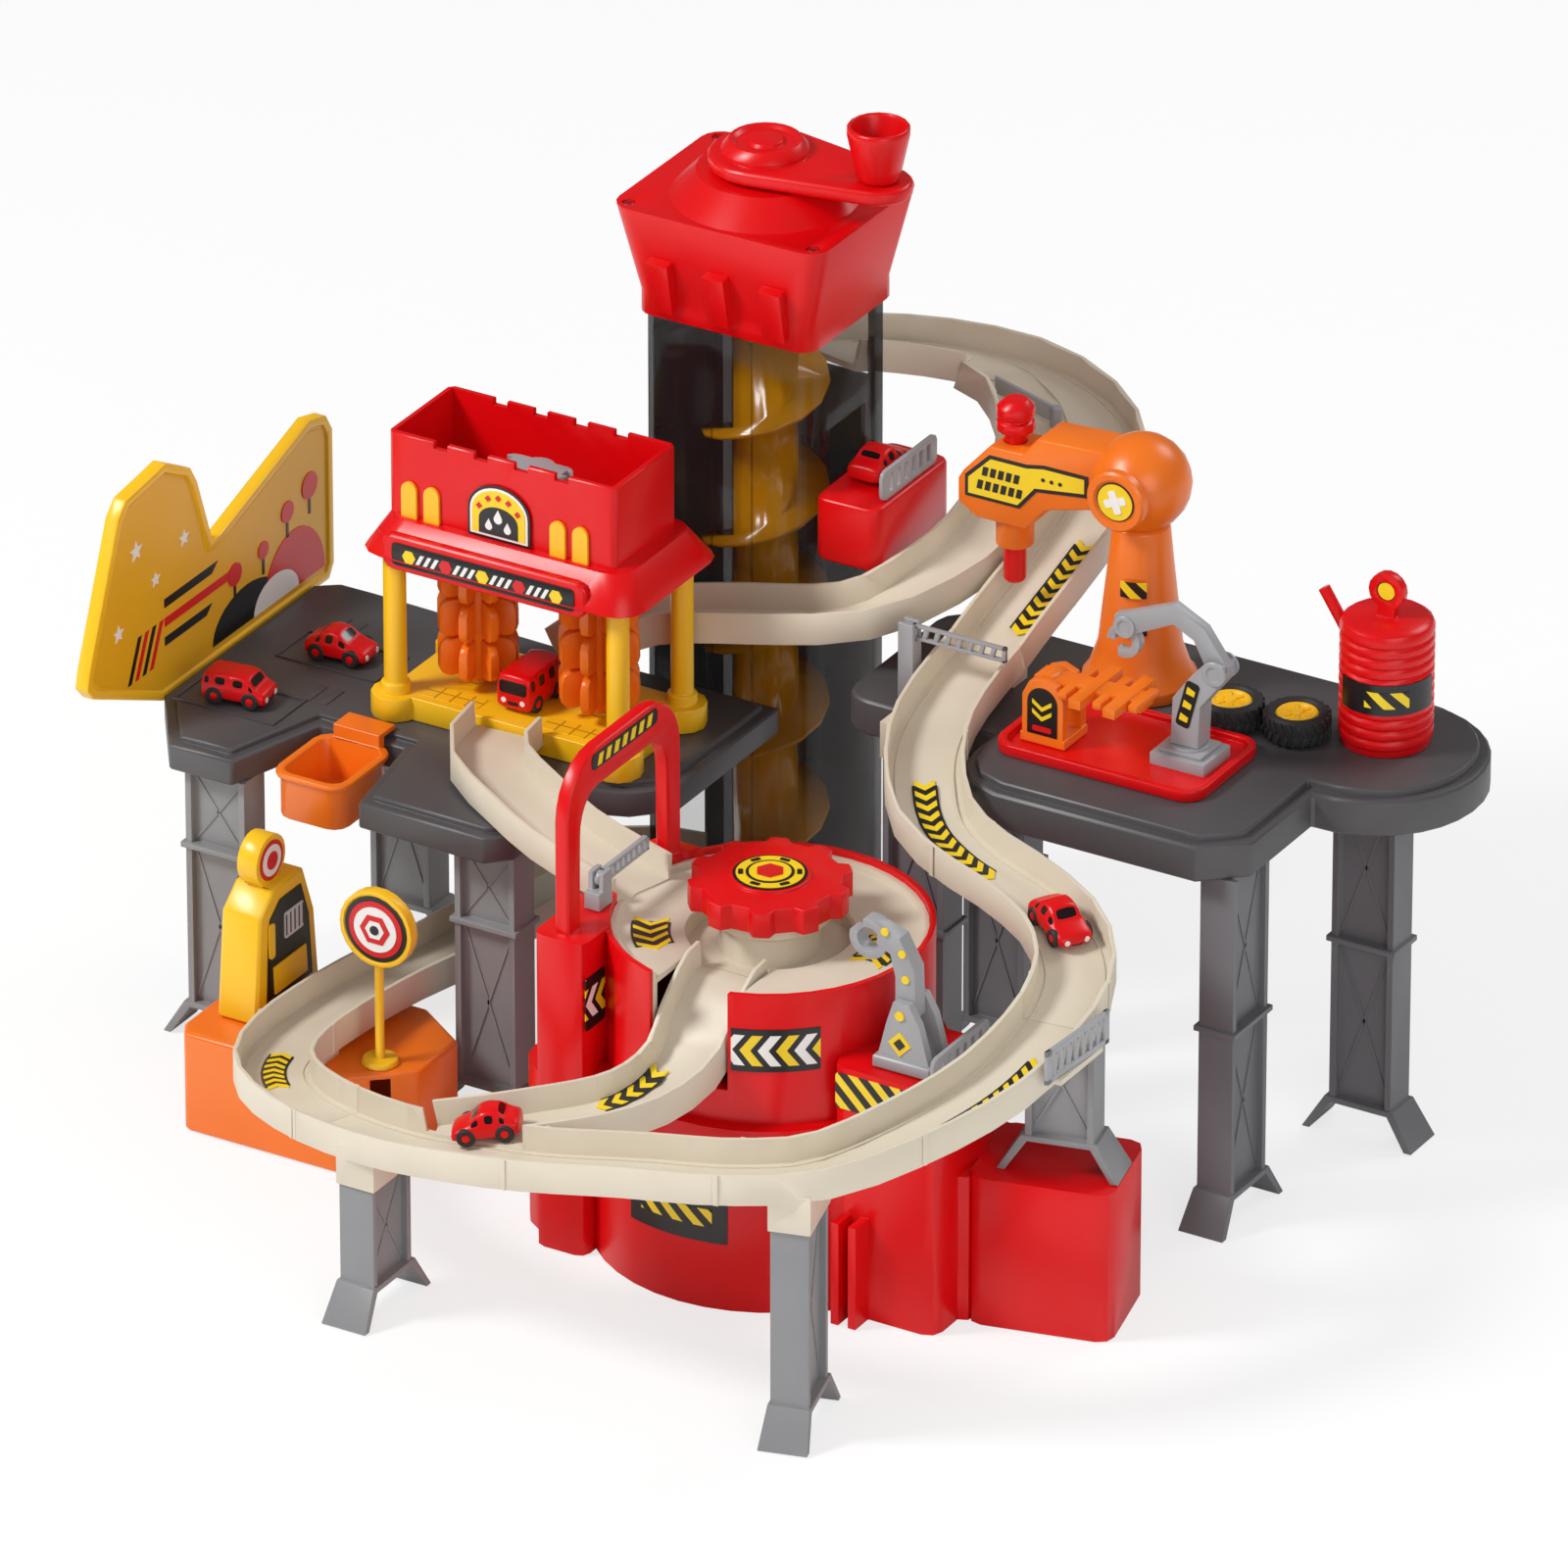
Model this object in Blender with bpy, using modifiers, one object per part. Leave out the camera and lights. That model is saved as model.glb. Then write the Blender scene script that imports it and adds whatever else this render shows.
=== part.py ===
# Toy parking garage with a crank lift, a spiral of car lanes, a wash station,
# a turning drum, a repair deck and loose mini cars.
# Lengths are in millimetres and are turned into metres where meshes are made.
# The origin is on the floor under the axis of the lift tower.
# +X runs to the right along the fronts, +Y to the back and +Z up.

import math

import bmesh
import bpy
from mathutils import Matrix, Vector

MM = 0.001
GAP = 0.3

# Lanes
LANE_WIDTH = 41.0
LANE_DEPTH = 14.0
LANE_FLOOR = 3.0
LANE_WALL = 2.0
LANE_STEP = 20.0
TRIM_REACH = 40.0

# Lift tower
TOWER_WIDTH = 98.0
TOWER_DEPTH = 82.0
TOWER_WALL = 2.5
TOWER_TOP = 388.0
TOWER_FLOOR = 4.0
CAP_BAND = 3.0
CAP_BOTTOM = 376.0
CAP_TOP = 438.0
CAP_FLARE = 1.2
CAP_CEILING = 5.0
CAP_RIB_WIDTH = 12.7
CAP_RIB_PITCH = 33.3
CONE_TOP = 452.0
CONE_BASE_RADIUS = 51.0
CONE_TOP_RADIUS = 36.0
SHAFT_RADIUS = 6.0
SCREW_RADIUS = 3.4
SCREW_INSET = 8.0
CRANK_CLEARANCE = 2.0
CRANK_HEIGHT = CONE_TOP + CRANK_CLEARANCE
CRANK_THICKNESS = 8.0
CRANK_HUB_RADIUS = 30.0
CRANK_END_RADIUS = 18.0
CRANK_REACH = 67.0
KNOB_TOP_RADIUS = 16.5
KNOB_FOOT_RADIUS = 11.5
KNOB_HEIGHT = 30.0
KNOB_WALL = 2.2
AUGER_CORE = 17.0
AUGER_RADIUS = 33.5
AUGER_PITCH = 62.0
AUGER_TURNS = 5.5
AUGER_BLADE = 2.4
GUIDE_RAIL = 3.2
GUIDE_SPACING = 27.0

# Decks
DECK_THICKNESS = 20.0
RIGHT_DECK_TOP = 220.0
LEFT_DECK_TOP = 171.0
LEFT_DECK_THICKNESS = 15.0
PLATEAU_RISE = 4.0
PLATEAU_INSET = 6.0

# Pillars
PILLAR_WIDTH = 36.0
PILLAR_DEPTH = 20.0
PILLAR_RECESS = 4.0
PILLAR_FLANGE = 3.6
PILLAR_COLLAR = 3.0
COLLAR_HEIGHT = 112.0
FOOT_LENGTH = 64.0
FOOT_WIDTH = 26.0
FOOT_HEIGHT = 20.0
FOOT_WALL = 3.0
SOCKET_MARGIN = 2.0

# Drum
DRUM_X = 155.6
DRUM_Y = -259.2
DRUM_RADIUS = 84.0
DRUM_BASE_RADIUS = 92.0
DRUM_BASE_TOP = 104.0
DRUM_TOP = 177.0
DRUM_WALL = 3.0
DRUM_FACETS = 40
TRAY_FLOOR = 162.0
TRAY_DECK = 170.5
TRAY_RECESS = 42.0
TRAY_SKIN = 3.0
HUB_RADIUS = 32.0
HUB_TOP = 187.0
GEAR_RADIUS = 42.0
GEAR_THICKNESS = 14.0
GEAR_TEETH = 10
GEAR_TOOTH = 5.0

# Wash station
WASH_X = -62.0
WASH_Y = -125.0
WASH_SPACING_X = 134.0
WASH_SPACING_Y = 64.0
WASH_BASE_HEIGHT = 13.0
COLUMN_RADIUS = 6.0
COLUMN_SOCKET = 8.0
WASH_ROOF_BOTTOM = 265.0
WASH_ROOF_TOP = 289.0
WASH_BOX_TOP = 335.0
WASH_BOX_WALL = 3.0
WASH_BOX_SHIFT = 3.0
EAVE_ROUND = 16.0
PANEL_SHIFT = 4.4
PANEL_HALF = 61.0
MERLON = 15.8
MERLON_GAP = 8.3
MERLON_DEPTH = 3.6
KEY_BULGE = 9.5
ROLLER_RADIUS = 22.0
ROLLER_CORE = 8.0
ROLLER_FINS = 8
ROLLER_OFFSET = 36.5
ROLLER_TIER = 20.0
ROLLER_TIERS = 3

COLUMN_TOP = WASH_ROOF_BOTTOM + 13
WASH_BASE_BOTTOM = LEFT_DECK_TOP + PLATEAU_RISE - 1 + GAP

# Gates, arms and tools
POST_SIZE = 9.0
BOOM_HEIGHT = 8.6
BOOM_THICKNESS = 3.0
BOOM_LEFT_LENGTH = 46.0
BOOM_RIGHT_LENGTH = 57.0
ROBOT_X = 233.0
ROBOT_Y = -18.0
ROBOT_HEAD_Z = 339.0
ROBOT_HEAD_RADIUS = 26.0
ROBOT_BASE_RADIUS = 30.0
ROBOT_NECK_RADIUS = 17.0
ROBOT_REACH = 74.0
PROBE_RADIUS = 6.0
SIREN_RADIUS = 10.0
PROBE_STROKE = 5.0
TYRE_RADIUS = 17.5
TYRE_HEIGHT = 15.0
OIL_RADIUS = 24.5
OIL_HEIGHT = 70.0
OIL_RIBS = 11

# Mini cars
CAR_LENGTH = 36.0
CAR_WIDTH = 22.0
CAR_HEIGHT = 17.0
WHEEL_RADIUS = 4.5
CAR_SEAT = 0.5

# Routes of the lanes, as places (x, y, rim height)
UPPER_START = [(17, 39, 348), (22, 61, 341), (38, 86, 333), (62, 107, 325)]
GATE_LANE_X = 165.0
WASH_LANE_X = GATE_LANE_X - LANE_WIDTH - 2 * GAP
UPPER_TO_GATE = UPPER_START + [(90, 118, 318), (118, 116, 310), (142, 102, 302), (158, 80, 294),
                               (GATE_LANE_X, 54, 285), (GATE_LANE_X, 10, 270), (GATE_LANE_X, -30, 259),
                               (GATE_LANE_X, -58, 250)]
UPPER_TO_WASH = [(68, 105, 322.4), (86, 105.5, 316.8), (104, 95, 308.5),
                 (118, 76, 299), (WASH_LANE_X, 54, 290), (WASH_LANE_X, 20, 279), (WASH_LANE_X - 2, -4, 272),
                 (113, -32, 266), (98, -55, 259), (74, -65, 252), (44, -65, 244), (6, -65, 235),
                 (-22, -65, 227), (-44, -71, 219), (-58, -83, 210),
                 (WASH_X, -96, WASH_BASE_BOTTOM + WASH_BASE_HEIGHT + GAP + LANE_DEPTH + LANE_FLOOR)]
GATE_ROUTE = [(GATE_LANE_X, -58, 250), (165, -81, 245), (167, -108, 239), (175, -135, 235),
              (188, -160, 230), (206, -182, 222), (232, -196, 216), (268, -204, 209), (299, -217, 203),
              (321, -239, 198), (333, -266, 194), (337, -300, 187), (331, -345, 177), (311, -390, 167),
              (279, -424.5, 155), (236, -439, 147), (182, -443, 138), (120, -443, 124.5),
              (60, -437, 113), (25, -430, 107.4), (-10, -419, 103), (-46, -399, 98), (-72, -370, 92),
              (-84, -330, 87), (-86.5, -280, 82), (-84, -235, 78), (-81, -185, 71), (-84, -130, 63),
              (-86, -80, 56), (-83, -40, 52), (-70, -12, 49), (-41, -2, 47)]
CHUTE_OVERLAP = 8.4
CHUTE_ROUTE = [(-58, -163.9, 197.5), (-58, -180, 196), (-45, -201, 194.5), (-17, -219, 192.5),
               (26, -241.5, 189), (DRUM_X - DRUM_RADIUS + CHUTE_OVERLAP, -258, 185.5)]
OUTLET_START = -297.0
OUTLET_RIM = 176.0
OUTLET_STEP = 11.0
NOTCH_CLEARANCE = 2.2
OUTLET_ROUTE = [(DRUM_X, OUTLET_START, OUTLET_RIM), (DRUM_X, -308, 175), (DRUM_X, -321, 167),
                (DRUM_X, -334, 155),
                (DRUM_X, -347, 144), (151, -361, 136.5), (142, -376, 131.5), (125, -391, 127),
                (92, -412, 121),
                (55, -428, 113)]

# Lift auger and side box
AUGER_FOOT = TOWER_FLOOR + 6 + GAP
AUGER_TOP = TOWER_TOP - 8
SIDE_BOX_TOP = 292.0
SIDE_BOX_BOTTOM = 256.0
SIDE_BOX_RIGHT = 88.0
SIDE_BOX_FRONT = -36.0
SIDE_BOX_BACK = 40.0

# Guard rails
RAIL_HEIGHT = 17.0
RAIL_THICKNESS = 2.4
RAIL_SHELF = (361.0, -307.0, 173.0)
SHELF_LENGTH = 42.0
RAIL_LENGTH = 56.0
RAIL_BARS = 6

# Edge that the parts bin hangs on
BIN_HOOK_EDGE = -184.0

# Outline of the right deck
LOBE_X = 369.0
LOBE_Y = -15.0
LOBE_RADIUS = 59.0
DECK_FRONT = -156.0
DECK_BACK = 40.0
DECK_LEFT = 193.0
DECK_RIGHT = 365.0
WING_LEFT = 103.0
WING_FRONT = -100.0
WING_BACK = 13.0
WING_ROUND = 16.0

# Pillar tops and places (x, y, top, turn)
SIDE_BASE_TOP = 84.0
LEFT_LEG_TOP = LEFT_DECK_TOP - LEFT_DECK_THICKNESS - GAP
RIGHT_LEG_TOP = RIGHT_DECK_TOP - DECK_THICKNESS - GAP
FRONT_PILLAR = (272.1, -428.4, 118.0, 105.0)
LOOP_PILLAR = (25.6, -430.5, 74.9, 90.0)
BOX_PILLAR = (329.0, -262.3, 164.0, 13.2)
GATE_PILLAR = (161.0, -115.0, 205.0, 0.0)
LIGHT_PILLARS = {
    "pillar_left_front": (-190.6, -226.0, LEFT_LEG_TOP, 0.0),
    "pillar_middle_front": (-28.0, -226.0, LEFT_LEG_TOP, 0.0),
    "pillar_left_back": (-172.0, -76.0, LEFT_LEG_TOP, 0.0),
    "pillar_lane_front": FRONT_PILLAR,
    "pillar_lane_loop": LOOP_PILLAR,
}
DARK_PILLARS = {
    "pillar_deck_front": (350.3, -127.2, RIGHT_LEG_TOP, 90.0),
    "pillar_deck_right": (369.2, -16.0, RIGHT_LEG_TOP, 0.0),
    "pillar_wing": (163.0, -35.0, RIGHT_LEG_TOP, 0.0),
    "pillar_gate": GATE_PILLAR,
}

# Diverter flap
FLAP_PIVOT = (117.0, 98.0)
FLAP_LENGTH = 34.0
FLAP_HEIGHT = 9.0
FLAP_THICKNESS = 2.4
FLAP_TURN = 8.0
FLAP_CLEARANCE = 1.6
FLAP_STEP = 4.0

# Where the lanes are joined
JOINT_BOX = (336, -284)
JOINT_LOOP = (-8, -420)

# Drum base, loader block and arch
ARCH_BASE_TOP = 179.0
LOADER_BASE_TOP = 140.0
LOADER_BLOCK_RIGHT = 287.0
TRAY_SKIRT = 30.0
ARCH_FRONT = -325.0
ARCH_BACK = -226.0
ARCH_X = 76.0
ARCH_TOP = 273.0
ARCH_PLATE = 22.0
ARCH_ROUND = 32.0
ARCH_HOLLOW = 16.0
ARCH_RISE = 21.0
ARCH_STEPS = 6

# Gate posts (x, y, foot)
GATE_LEFT = (ARCH_X, -293.0, 194.0)
GATE_RIGHT = (135.0, -84.0, 258.0)

# Loader
LOADER_X = 262.0
LOADER_Y = -298.0
LOADER_PIVOT_Z = LOADER_BASE_TOP + 34.0

# Orange base, pump and round sign
ORANGE_TOP = 58.0
PUMP_X = -136.0
PUMP_Y = -270.0
SIGN_X = -50.0
SIGN_Y = -303.0

# Parts bin and sign board
BIN_RIM = 170.0
BIN_DEPTH = 26.0
BIN_WALL = 2.4
BOARD_THICKNESS = 8.0
BOARD_X = -246.0 - GAP - BOARD_THICKNESS / 2

# Repair deck
REPAIR_TOP = RIGHT_DECK_TOP + PLATEAU_RISE
TRAY_LOW = REPAIR_TOP + GAP
TIPPER_X = 228.0
TIPPER_Y = -98.0
TIPPER_Z = TRAY_LOW + 36.0
CRANE_X = 300.0
CRANE_Y = -85.0
CRANE_FOOT_TOP = TRAY_LOW + 13.0
CRANE_ELBOW_Z = 283.0
CRANE_ELBOW_X = CRANE_X + 17.0
BOOM_TOP = ROBOT_HEAD_Z + 5.0
COLLAR_BOTTOM = ROBOT_HEAD_Z - 53.0

# Tyres and oil drum
TYRES = {"tyre_left": (295.0, -34.0), "tyre_right": (331.0, -29.0)}
OIL_X = 371.0
OIL_Y = -8.0


# Small shape helpers

def baked(obj):
    """Replace an object by a plain mesh of what its modifiers or curve make."""
    bpy.context.view_layer.update()
    graph = bpy.context.evaluated_depsgraph_get()
    mesh = bpy.data.meshes.new_from_object(obj.evaluated_get(graph))
    name = obj.name
    matrix = obj.matrix_world.copy()
    bpy.data.objects.remove(obj)
    work = bmesh.new()
    work.from_mesh(mesh)
    work.transform(matrix)
    bmesh.ops.remove_doubles(work, verts=work.verts, dist=2e-6)
    bmesh.ops.recalc_face_normals(work, faces=work.faces)
    work.to_mesh(mesh)
    work.free()
    result = bpy.data.objects.new(name, mesh)
    bpy.context.scene.collection.objects.link(result)
    return result


def from_primitive(size, centre, turn=0.0):
    """A box from the cube primitive, already at its size and place."""
    work = bmesh.new()
    bmesh.ops.create_cube(work, size=1.0)
    work.transform(Matrix.Diagonal((size[0] * MM, size[1] * MM, size[2] * MM, 1.0)))
    work.transform(Matrix.Rotation(math.radians(turn), 4, "Z"))
    work.transform(Matrix.Translation(Vector(centre) * MM))
    mesh = bpy.data.meshes.new("box")
    work.to_mesh(mesh)
    work.free()
    obj = bpy.data.objects.new("box", mesh)
    bpy.context.scene.collection.objects.link(obj)
    return obj


def block(x0, x1, y0, y1, z0, z1):
    """A box between two corners."""
    size = (x1 - x0, y1 - y0, z1 - z0)
    return from_primitive(size, ((x0 + x1) / 2, (y0 + y1) / 2, (z0 + z1) / 2))


def outline_curve(points, half_thickness):
    """A closed flat outline as a filled 2D curve."""
    curve = bpy.data.curves.new("outline", "CURVE")
    curve.dimensions = "2D"
    curve.fill_mode = "BOTH"
    curve.extrude = half_thickness * MM
    spline = curve.splines.new("POLY")
    spline.points.add(len(points) - 1)
    spline.use_cyclic_u = True
    for target, (x, y) in zip(spline.points, points):
        target.co = (x * MM, y * MM, 0.0, 1.0)
    obj = bpy.data.objects.new("outline", curve)
    bpy.context.scene.collection.objects.link(obj)
    return obj


def prism(points, z0, z1):
    """An upright prism of an outline between two heights."""
    obj = outline_curve(points, (z1 - z0) / 2)
    obj.location.z = (z0 + z1) / 2 * MM
    return baked(obj)


def plate(points, start, end, across):
    """A prism lying on its side: outline in (X, Z) pushed along Y, or in (Y, Z) along X."""
    obj = outline_curve(points, (end - start) / 2)
    middle = (start + end) / 2 * MM
    if across == "Y":
        obj.matrix_world = Matrix.Translation((0.0, middle, 0.0)) @ Matrix.Rotation(math.pi / 2, 4, "X")
    else:
        frame = Matrix(((0, 0, 1, middle), (1, 0, 0, 0), (0, 1, 0, 0), (0, 0, 0, 1)))
        obj.matrix_world = frame
    return baked(obj)


def circle(x, y, radius, steps=32, start=0.0):
    """Points of a circle."""
    turn = 2 * math.pi / steps
    return [
        (x + radius * math.cos(start + turn * i), y + radius * math.sin(start + turn * i))
        for i in range(steps)
    ]


def rounded(x0, x1, y0, y1, radius, steps=4):
    """Points of a rectangle with round corners."""
    points = []
    corners = ((x1 - radius, y1 - radius, 0), (x0 + radius, y1 - radius, 90),
               (x0 + radius, y0 + radius, 180), (x1 - radius, y0 + radius, 270))
    for cx, cy, first in corners:
        for i in range(steps + 1):
            angle = math.radians(first + 90 * i / steps)
            points.append((cx + radius * math.cos(angle), cy + radius * math.sin(angle)))
    return points


def link_outline(x0, y0, r0, x1, y1, r1, steps=10):
    """Outline of two discs joined by their outer tangents."""
    direction = math.atan2(y1 - y0, x1 - x0)
    reach = math.hypot(x1 - x0, y1 - y0)
    spread = math.acos((r0 - r1) / reach)
    points = []
    for i in range(steps + 1):
        angle = direction + spread + (2 * math.pi - 2 * spread) * i / steps
        points.append((x0 + r0 * math.cos(angle), y0 + r0 * math.sin(angle)))
    for i in range(steps + 1):
        angle = direction - spread + 2 * spread * i / steps
        points.append((x1 + r1 * math.cos(angle), y1 + r1 * math.sin(angle)))
    return points


def inset(points, distance):
    """Points of a convex or gently concave outline moved inwards."""
    count = len(points)
    area = sum(points[i][0] * points[(i + 1) % count][1] - points[(i + 1) % count][0] * points[i][1]
               for i in range(count))
    side = 1.0 if area > 0 else -1.0
    result = []
    for i in range(count):
        before = Vector(points[i - 1])
        here = Vector(points[i])
        after = Vector(points[(i + 1) % count])
        first = (here - before).normalized()
        second = (after - here).normalized()
        normal = (Vector((-first.y, first.x)) + Vector((-second.y, second.x))) * side
        normal.normalize()
        share = max(0.5, normal.dot(Vector((-first.y, first.x)) * side))
        moved = here + normal * (distance / share)
        result.append((moved.x, moved.y))
    return result


def turned(profile, x=0.0, y=0.0, steps=32):
    """A turned shape: (radius, height) points down the outer side, closed where it is a ring."""
    mesh = bpy.data.meshes.new("profile")
    points = [(r * MM, 0.0, z * MM) for r, z in profile]
    edges = [(i, i + 1) for i in range(len(points) - 1)]
    if profile[0][0] > 0:
        edges.append((len(points) - 1, 0))
    mesh.from_pydata(points, edges, [])
    obj = bpy.data.objects.new("turned", mesh)
    bpy.context.scene.collection.objects.link(obj)
    obj.location = (x * MM, y * MM, 0.0)
    screw = obj.modifiers.new("turn", "SCREW")
    screw.steps = steps
    screw.render_steps = steps
    screw.use_merge_vertices = True
    screw.merge_threshold = 0.00001
    return baked(obj)


def rod(x, y, radius, z0, z1, steps=20):
    """An upright round bar."""
    return turned([(0, z1), (radius, z1), (radius, z0), (0, z0)], x, y, steps)


def lying_rod(centre, radius, half, axis, steps=16):
    """A round bar along X or Y."""
    obj = turned([(0, half), (radius, half), (radius, -half), (0, -half)], 0, 0, steps)
    turn = Matrix.Rotation(math.pi / 2, 4, "Y" if axis == "X" else "X")
    obj.data.transform(Matrix.Translation(Vector(centre) * MM) @ turn)
    return obj


def ball(centre, radius, segments=20):
    """A ball from the sphere primitive."""
    work = bmesh.new()
    bmesh.ops.create_uvsphere(work, u_segments=segments, v_segments=segments // 2, radius=radius * MM)
    work.transform(Matrix.Translation(Vector(centre) * MM))
    mesh = bpy.data.meshes.new("ball")
    work.to_mesh(mesh)
    work.free()
    obj = bpy.data.objects.new("ball", mesh)
    bpy.context.scene.collection.objects.link(obj)
    return obj


def tube(points, radius, sides=2):
    """A round tube along points, with closed ends."""
    curve = bpy.data.curves.new("tube", "CURVE")
    curve.dimensions = "3D"
    curve.bevel_depth = radius * MM
    curve.bevel_resolution = sides
    curve.use_fill_caps = True
    spline = curve.splines.new("POLY")
    spline.points.add(len(points) - 1)
    for target, place in zip(spline.points, points):
        target.co = (place[0] * MM, place[1] * MM, place[2] * MM, 1.0)
    obj = bpy.data.objects.new("tube", curve)
    bpy.context.scene.collection.objects.link(obj)
    return baked(obj)


def closed(obj):
    """Fill the open ends of a swept shape."""
    work = bmesh.new()
    work.from_mesh(obj.data)
    rims = [edge for edge in work.edges if edge.is_boundary]
    bmesh.ops.holes_fill(work, edges=rims, sides=0)
    bmesh.ops.recalc_face_normals(work, faces=work.faces)
    work.to_mesh(obj.data)
    work.free()
    return obj


def bevelled(obj, width, segments=1, angle=40.0):
    """Round the edges of a shape that are sharper than an angle, with its flat sides merged first."""
    work = bmesh.new()
    work.from_mesh(obj.data)
    bmesh.ops.dissolve_limit(work, angle_limit=math.radians(0.5), verts=work.verts, edges=work.edges)
    work.to_mesh(obj.data)
    work.free()
    bevel = obj.modifiers.new("edge", "BEVEL")
    bevel.width = width * MM
    bevel.segments = segments
    bevel.limit_method = "ANGLE"
    bevel.angle_limit = math.radians(angle)
    return baked(obj)


def combined(kind, base, others):
    for other in others:
        step = base.modifiers.new(kind, "BOOLEAN")
        step.operation = kind
        step.solver = "EXACT"
        step.object = other
        base = baked(base)
        bpy.data.objects.remove(other)
    return base


def union(base, *others):
    """Join shapes into one body."""
    return combined("UNION", base, others)


def cut(base, *others):
    """Take shapes out of a body."""
    return combined("DIFFERENCE", base, others)


def moved(obj, x=0.0, y=0.0, z=0.0, turn=0.0, axis="Z", about=(0.0, 0.0, 0.0)):
    """Turn a shape about a point and shift it."""
    pivot = Matrix.Translation(Vector(about) * MM)
    spin = pivot @ Matrix.Rotation(math.radians(turn), 4, axis) @ pivot.inverted()
    obj.data.transform(Matrix.Translation(Vector((x, y, z)) * MM) @ spin)
    return obj


def tapered(points, z0, z1, x_scale, y_scale):
    """A prism whose top outline is scaled about the middle of its bottom one."""
    obj = prism(points, z0, z1)
    middle_x = sum(p[0] for p in points) / len(points) * MM
    middle_y = sum(p[1] for p in points) / len(points) * MM
    half = (z0 + z1) / 2 * MM
    for vertex in obj.data.vertices:
        if vertex.co.z > half:
            vertex.co.x = middle_x + (vertex.co.x - middle_x) * x_scale
            vertex.co.y = middle_y + (vertex.co.y - middle_y) * y_scale
    return obj


# Lane helpers

def smooth_route(points, step=LANE_STEP):
    """Even steps along a smooth curve through route points."""
    knots = [Vector(p) for p in points]
    knots = [knots[0] * 2 - knots[1]] + knots + [knots[-1] * 2 - knots[-2]]
    dense = []
    for i in range(1, len(knots) - 2):
        p0, p1, p2, p3 = knots[i - 1:i + 3]
        for k in range(24):
            t = k / 24
            dense.append(0.5 * ((2 * p1) + (p2 - p0) * t + (2 * p0 - 5 * p1 + 4 * p2 - p3) * t * t
                                + (3 * p1 - p0 - 3 * p2 + p3) * t ** 3))
    dense.append(knots[-2])
    lengths = [0.0]
    for first, second in zip(dense, dense[1:]):
        lengths.append(lengths[-1] + (second - first).length)
    count = max(2, round(lengths[-1] / step))
    route = []
    index = 0
    for i in range(count + 1):
        want = lengths[-1] * i / count
        while index < len(lengths) - 2 and lengths[index + 1] < want:
            index += 1
        share = (want - lengths[index]) / max(1e-9, lengths[index + 1] - lengths[index])
        route.append(dense[index].lerp(dense[index + 1], share))
    return route


def nearest(route, x, y):
    """Number of the route step nearest to a place on plan."""
    return min(range(len(route)), key=lambda i: (route[i].x - x) ** 2 + (route[i].y - y) ** 2)


def swept(route, section):
    """An upright section carried along a route."""
    outline = bpy.data.curves.new("section", "CURVE")
    outline.dimensions = "2D"
    outline.fill_mode = "NONE"
    spline = outline.splines.new("POLY")
    spline.points.add(len(section) - 1)
    spline.use_cyclic_u = True
    for target, (x, y) in zip(spline.points, section):
        target.co = (x * MM, y * MM, 0.0, 1.0)
    guide = bpy.data.objects.new("section", outline)
    bpy.context.scene.collection.objects.link(guide)
    curve = bpy.data.curves.new("route", "CURVE")
    curve.dimensions = "3D"
    curve.twist_mode = "Z_UP"
    curve.bevel_mode = "OBJECT"
    curve.bevel_object = guide
    curve.use_fill_caps = True
    spline = curve.splines.new("POLY")
    spline.points.add(len(route) - 1)
    for target, place in zip(spline.points, route):
        target.co = (place.x * MM, place.y * MM, place.z * MM, 1.0)
    obj = bpy.data.objects.new("route", curve)
    bpy.context.scene.collection.objects.link(obj)
    result = baked(obj)
    bpy.data.objects.remove(guide)
    return result


def lane_section():
    """The open channel of a lane, measured from the middle of its rim."""
    out = LANE_WIDTH / 2
    inner = out - LANE_WALL
    low = -LANE_DEPTH - LANE_FLOOR
    return [(-out, 0), (-out, low), (out, low), (out, 0), (inner, 0),
            (inner, -LANE_DEPTH), (-inner, -LANE_DEPTH), (-inner, 0)]


def solid_section(spare=0.0, above=0.0):
    """The outside of a lane, grown by a clearance."""
    out = LANE_WIDTH / 2 + spare
    low = -LANE_DEPTH - LANE_FLOOR - spare
    return [(-out, above), (-out, low), (out, low), (out, above)]


def hollow_section(above=30.0):
    """The room inside a lane."""
    inner = LANE_WIDTH / 2 - LANE_WALL
    return [(-inner, above), (-inner, -LANE_DEPTH), (inner, -LANE_DEPTH), (inner, above)]


def extended(route, start=0.0, end=0.0):
    """A route made longer at its ends."""
    part = [p.copy() for p in route]
    part[0] += (part[0] - part[1]).normalized() * start
    part[-1] += (part[-1] - part[-2]).normalized() * end
    return part


def lane(route, *blocks):
    """A lane, with any blocks under it that stand on pillars."""
    if not blocks:
        return swept(route, lane_section())
    body = union(swept(route, solid_section()), *blocks)
    return cut(body, swept(extended(route, 5, 5), hollow_section()))


def forked(routes, blocks=()):
    """Lanes that share a stretch, with their rooms open to one another."""
    body = swept(routes[0], solid_section())
    for route in routes[1:]:
        body = union(body, swept(route, solid_section()))
    body = union(body, *blocks)
    return cut(body, *[swept(extended(route, 5, 5), hollow_section()) for route in routes])


def envelope(route, beyond=GAP, above=40.0):
    """What a neighbour keeps clear of a lane and of the cars on it."""
    return swept(extended(route, GAP, beyond), solid_section(GAP, above))


def trimmed(shape, route, place, side):
    """Cut a lane square at a joint; side is 1 to drop what lies ahead and -1 what lies behind."""
    index = nearest(route, *place)
    ahead = (route[index + 1] - route[index - 1]).to_2d().normalized()
    middle = route[index] + ahead.to_3d() * side * (TRIM_REACH - GAP) / 2
    turn = math.degrees(math.atan2(ahead.y, ahead.x))
    return cut(shape, from_primitive((TRIM_REACH, 2 * LANE_WIDTH, 2 * LANE_WIDTH), middle, turn))


def rim_at(route, x, y):
    """Rim height of a lane nearest to a place."""
    return route[nearest(route, x, y)].z


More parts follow.
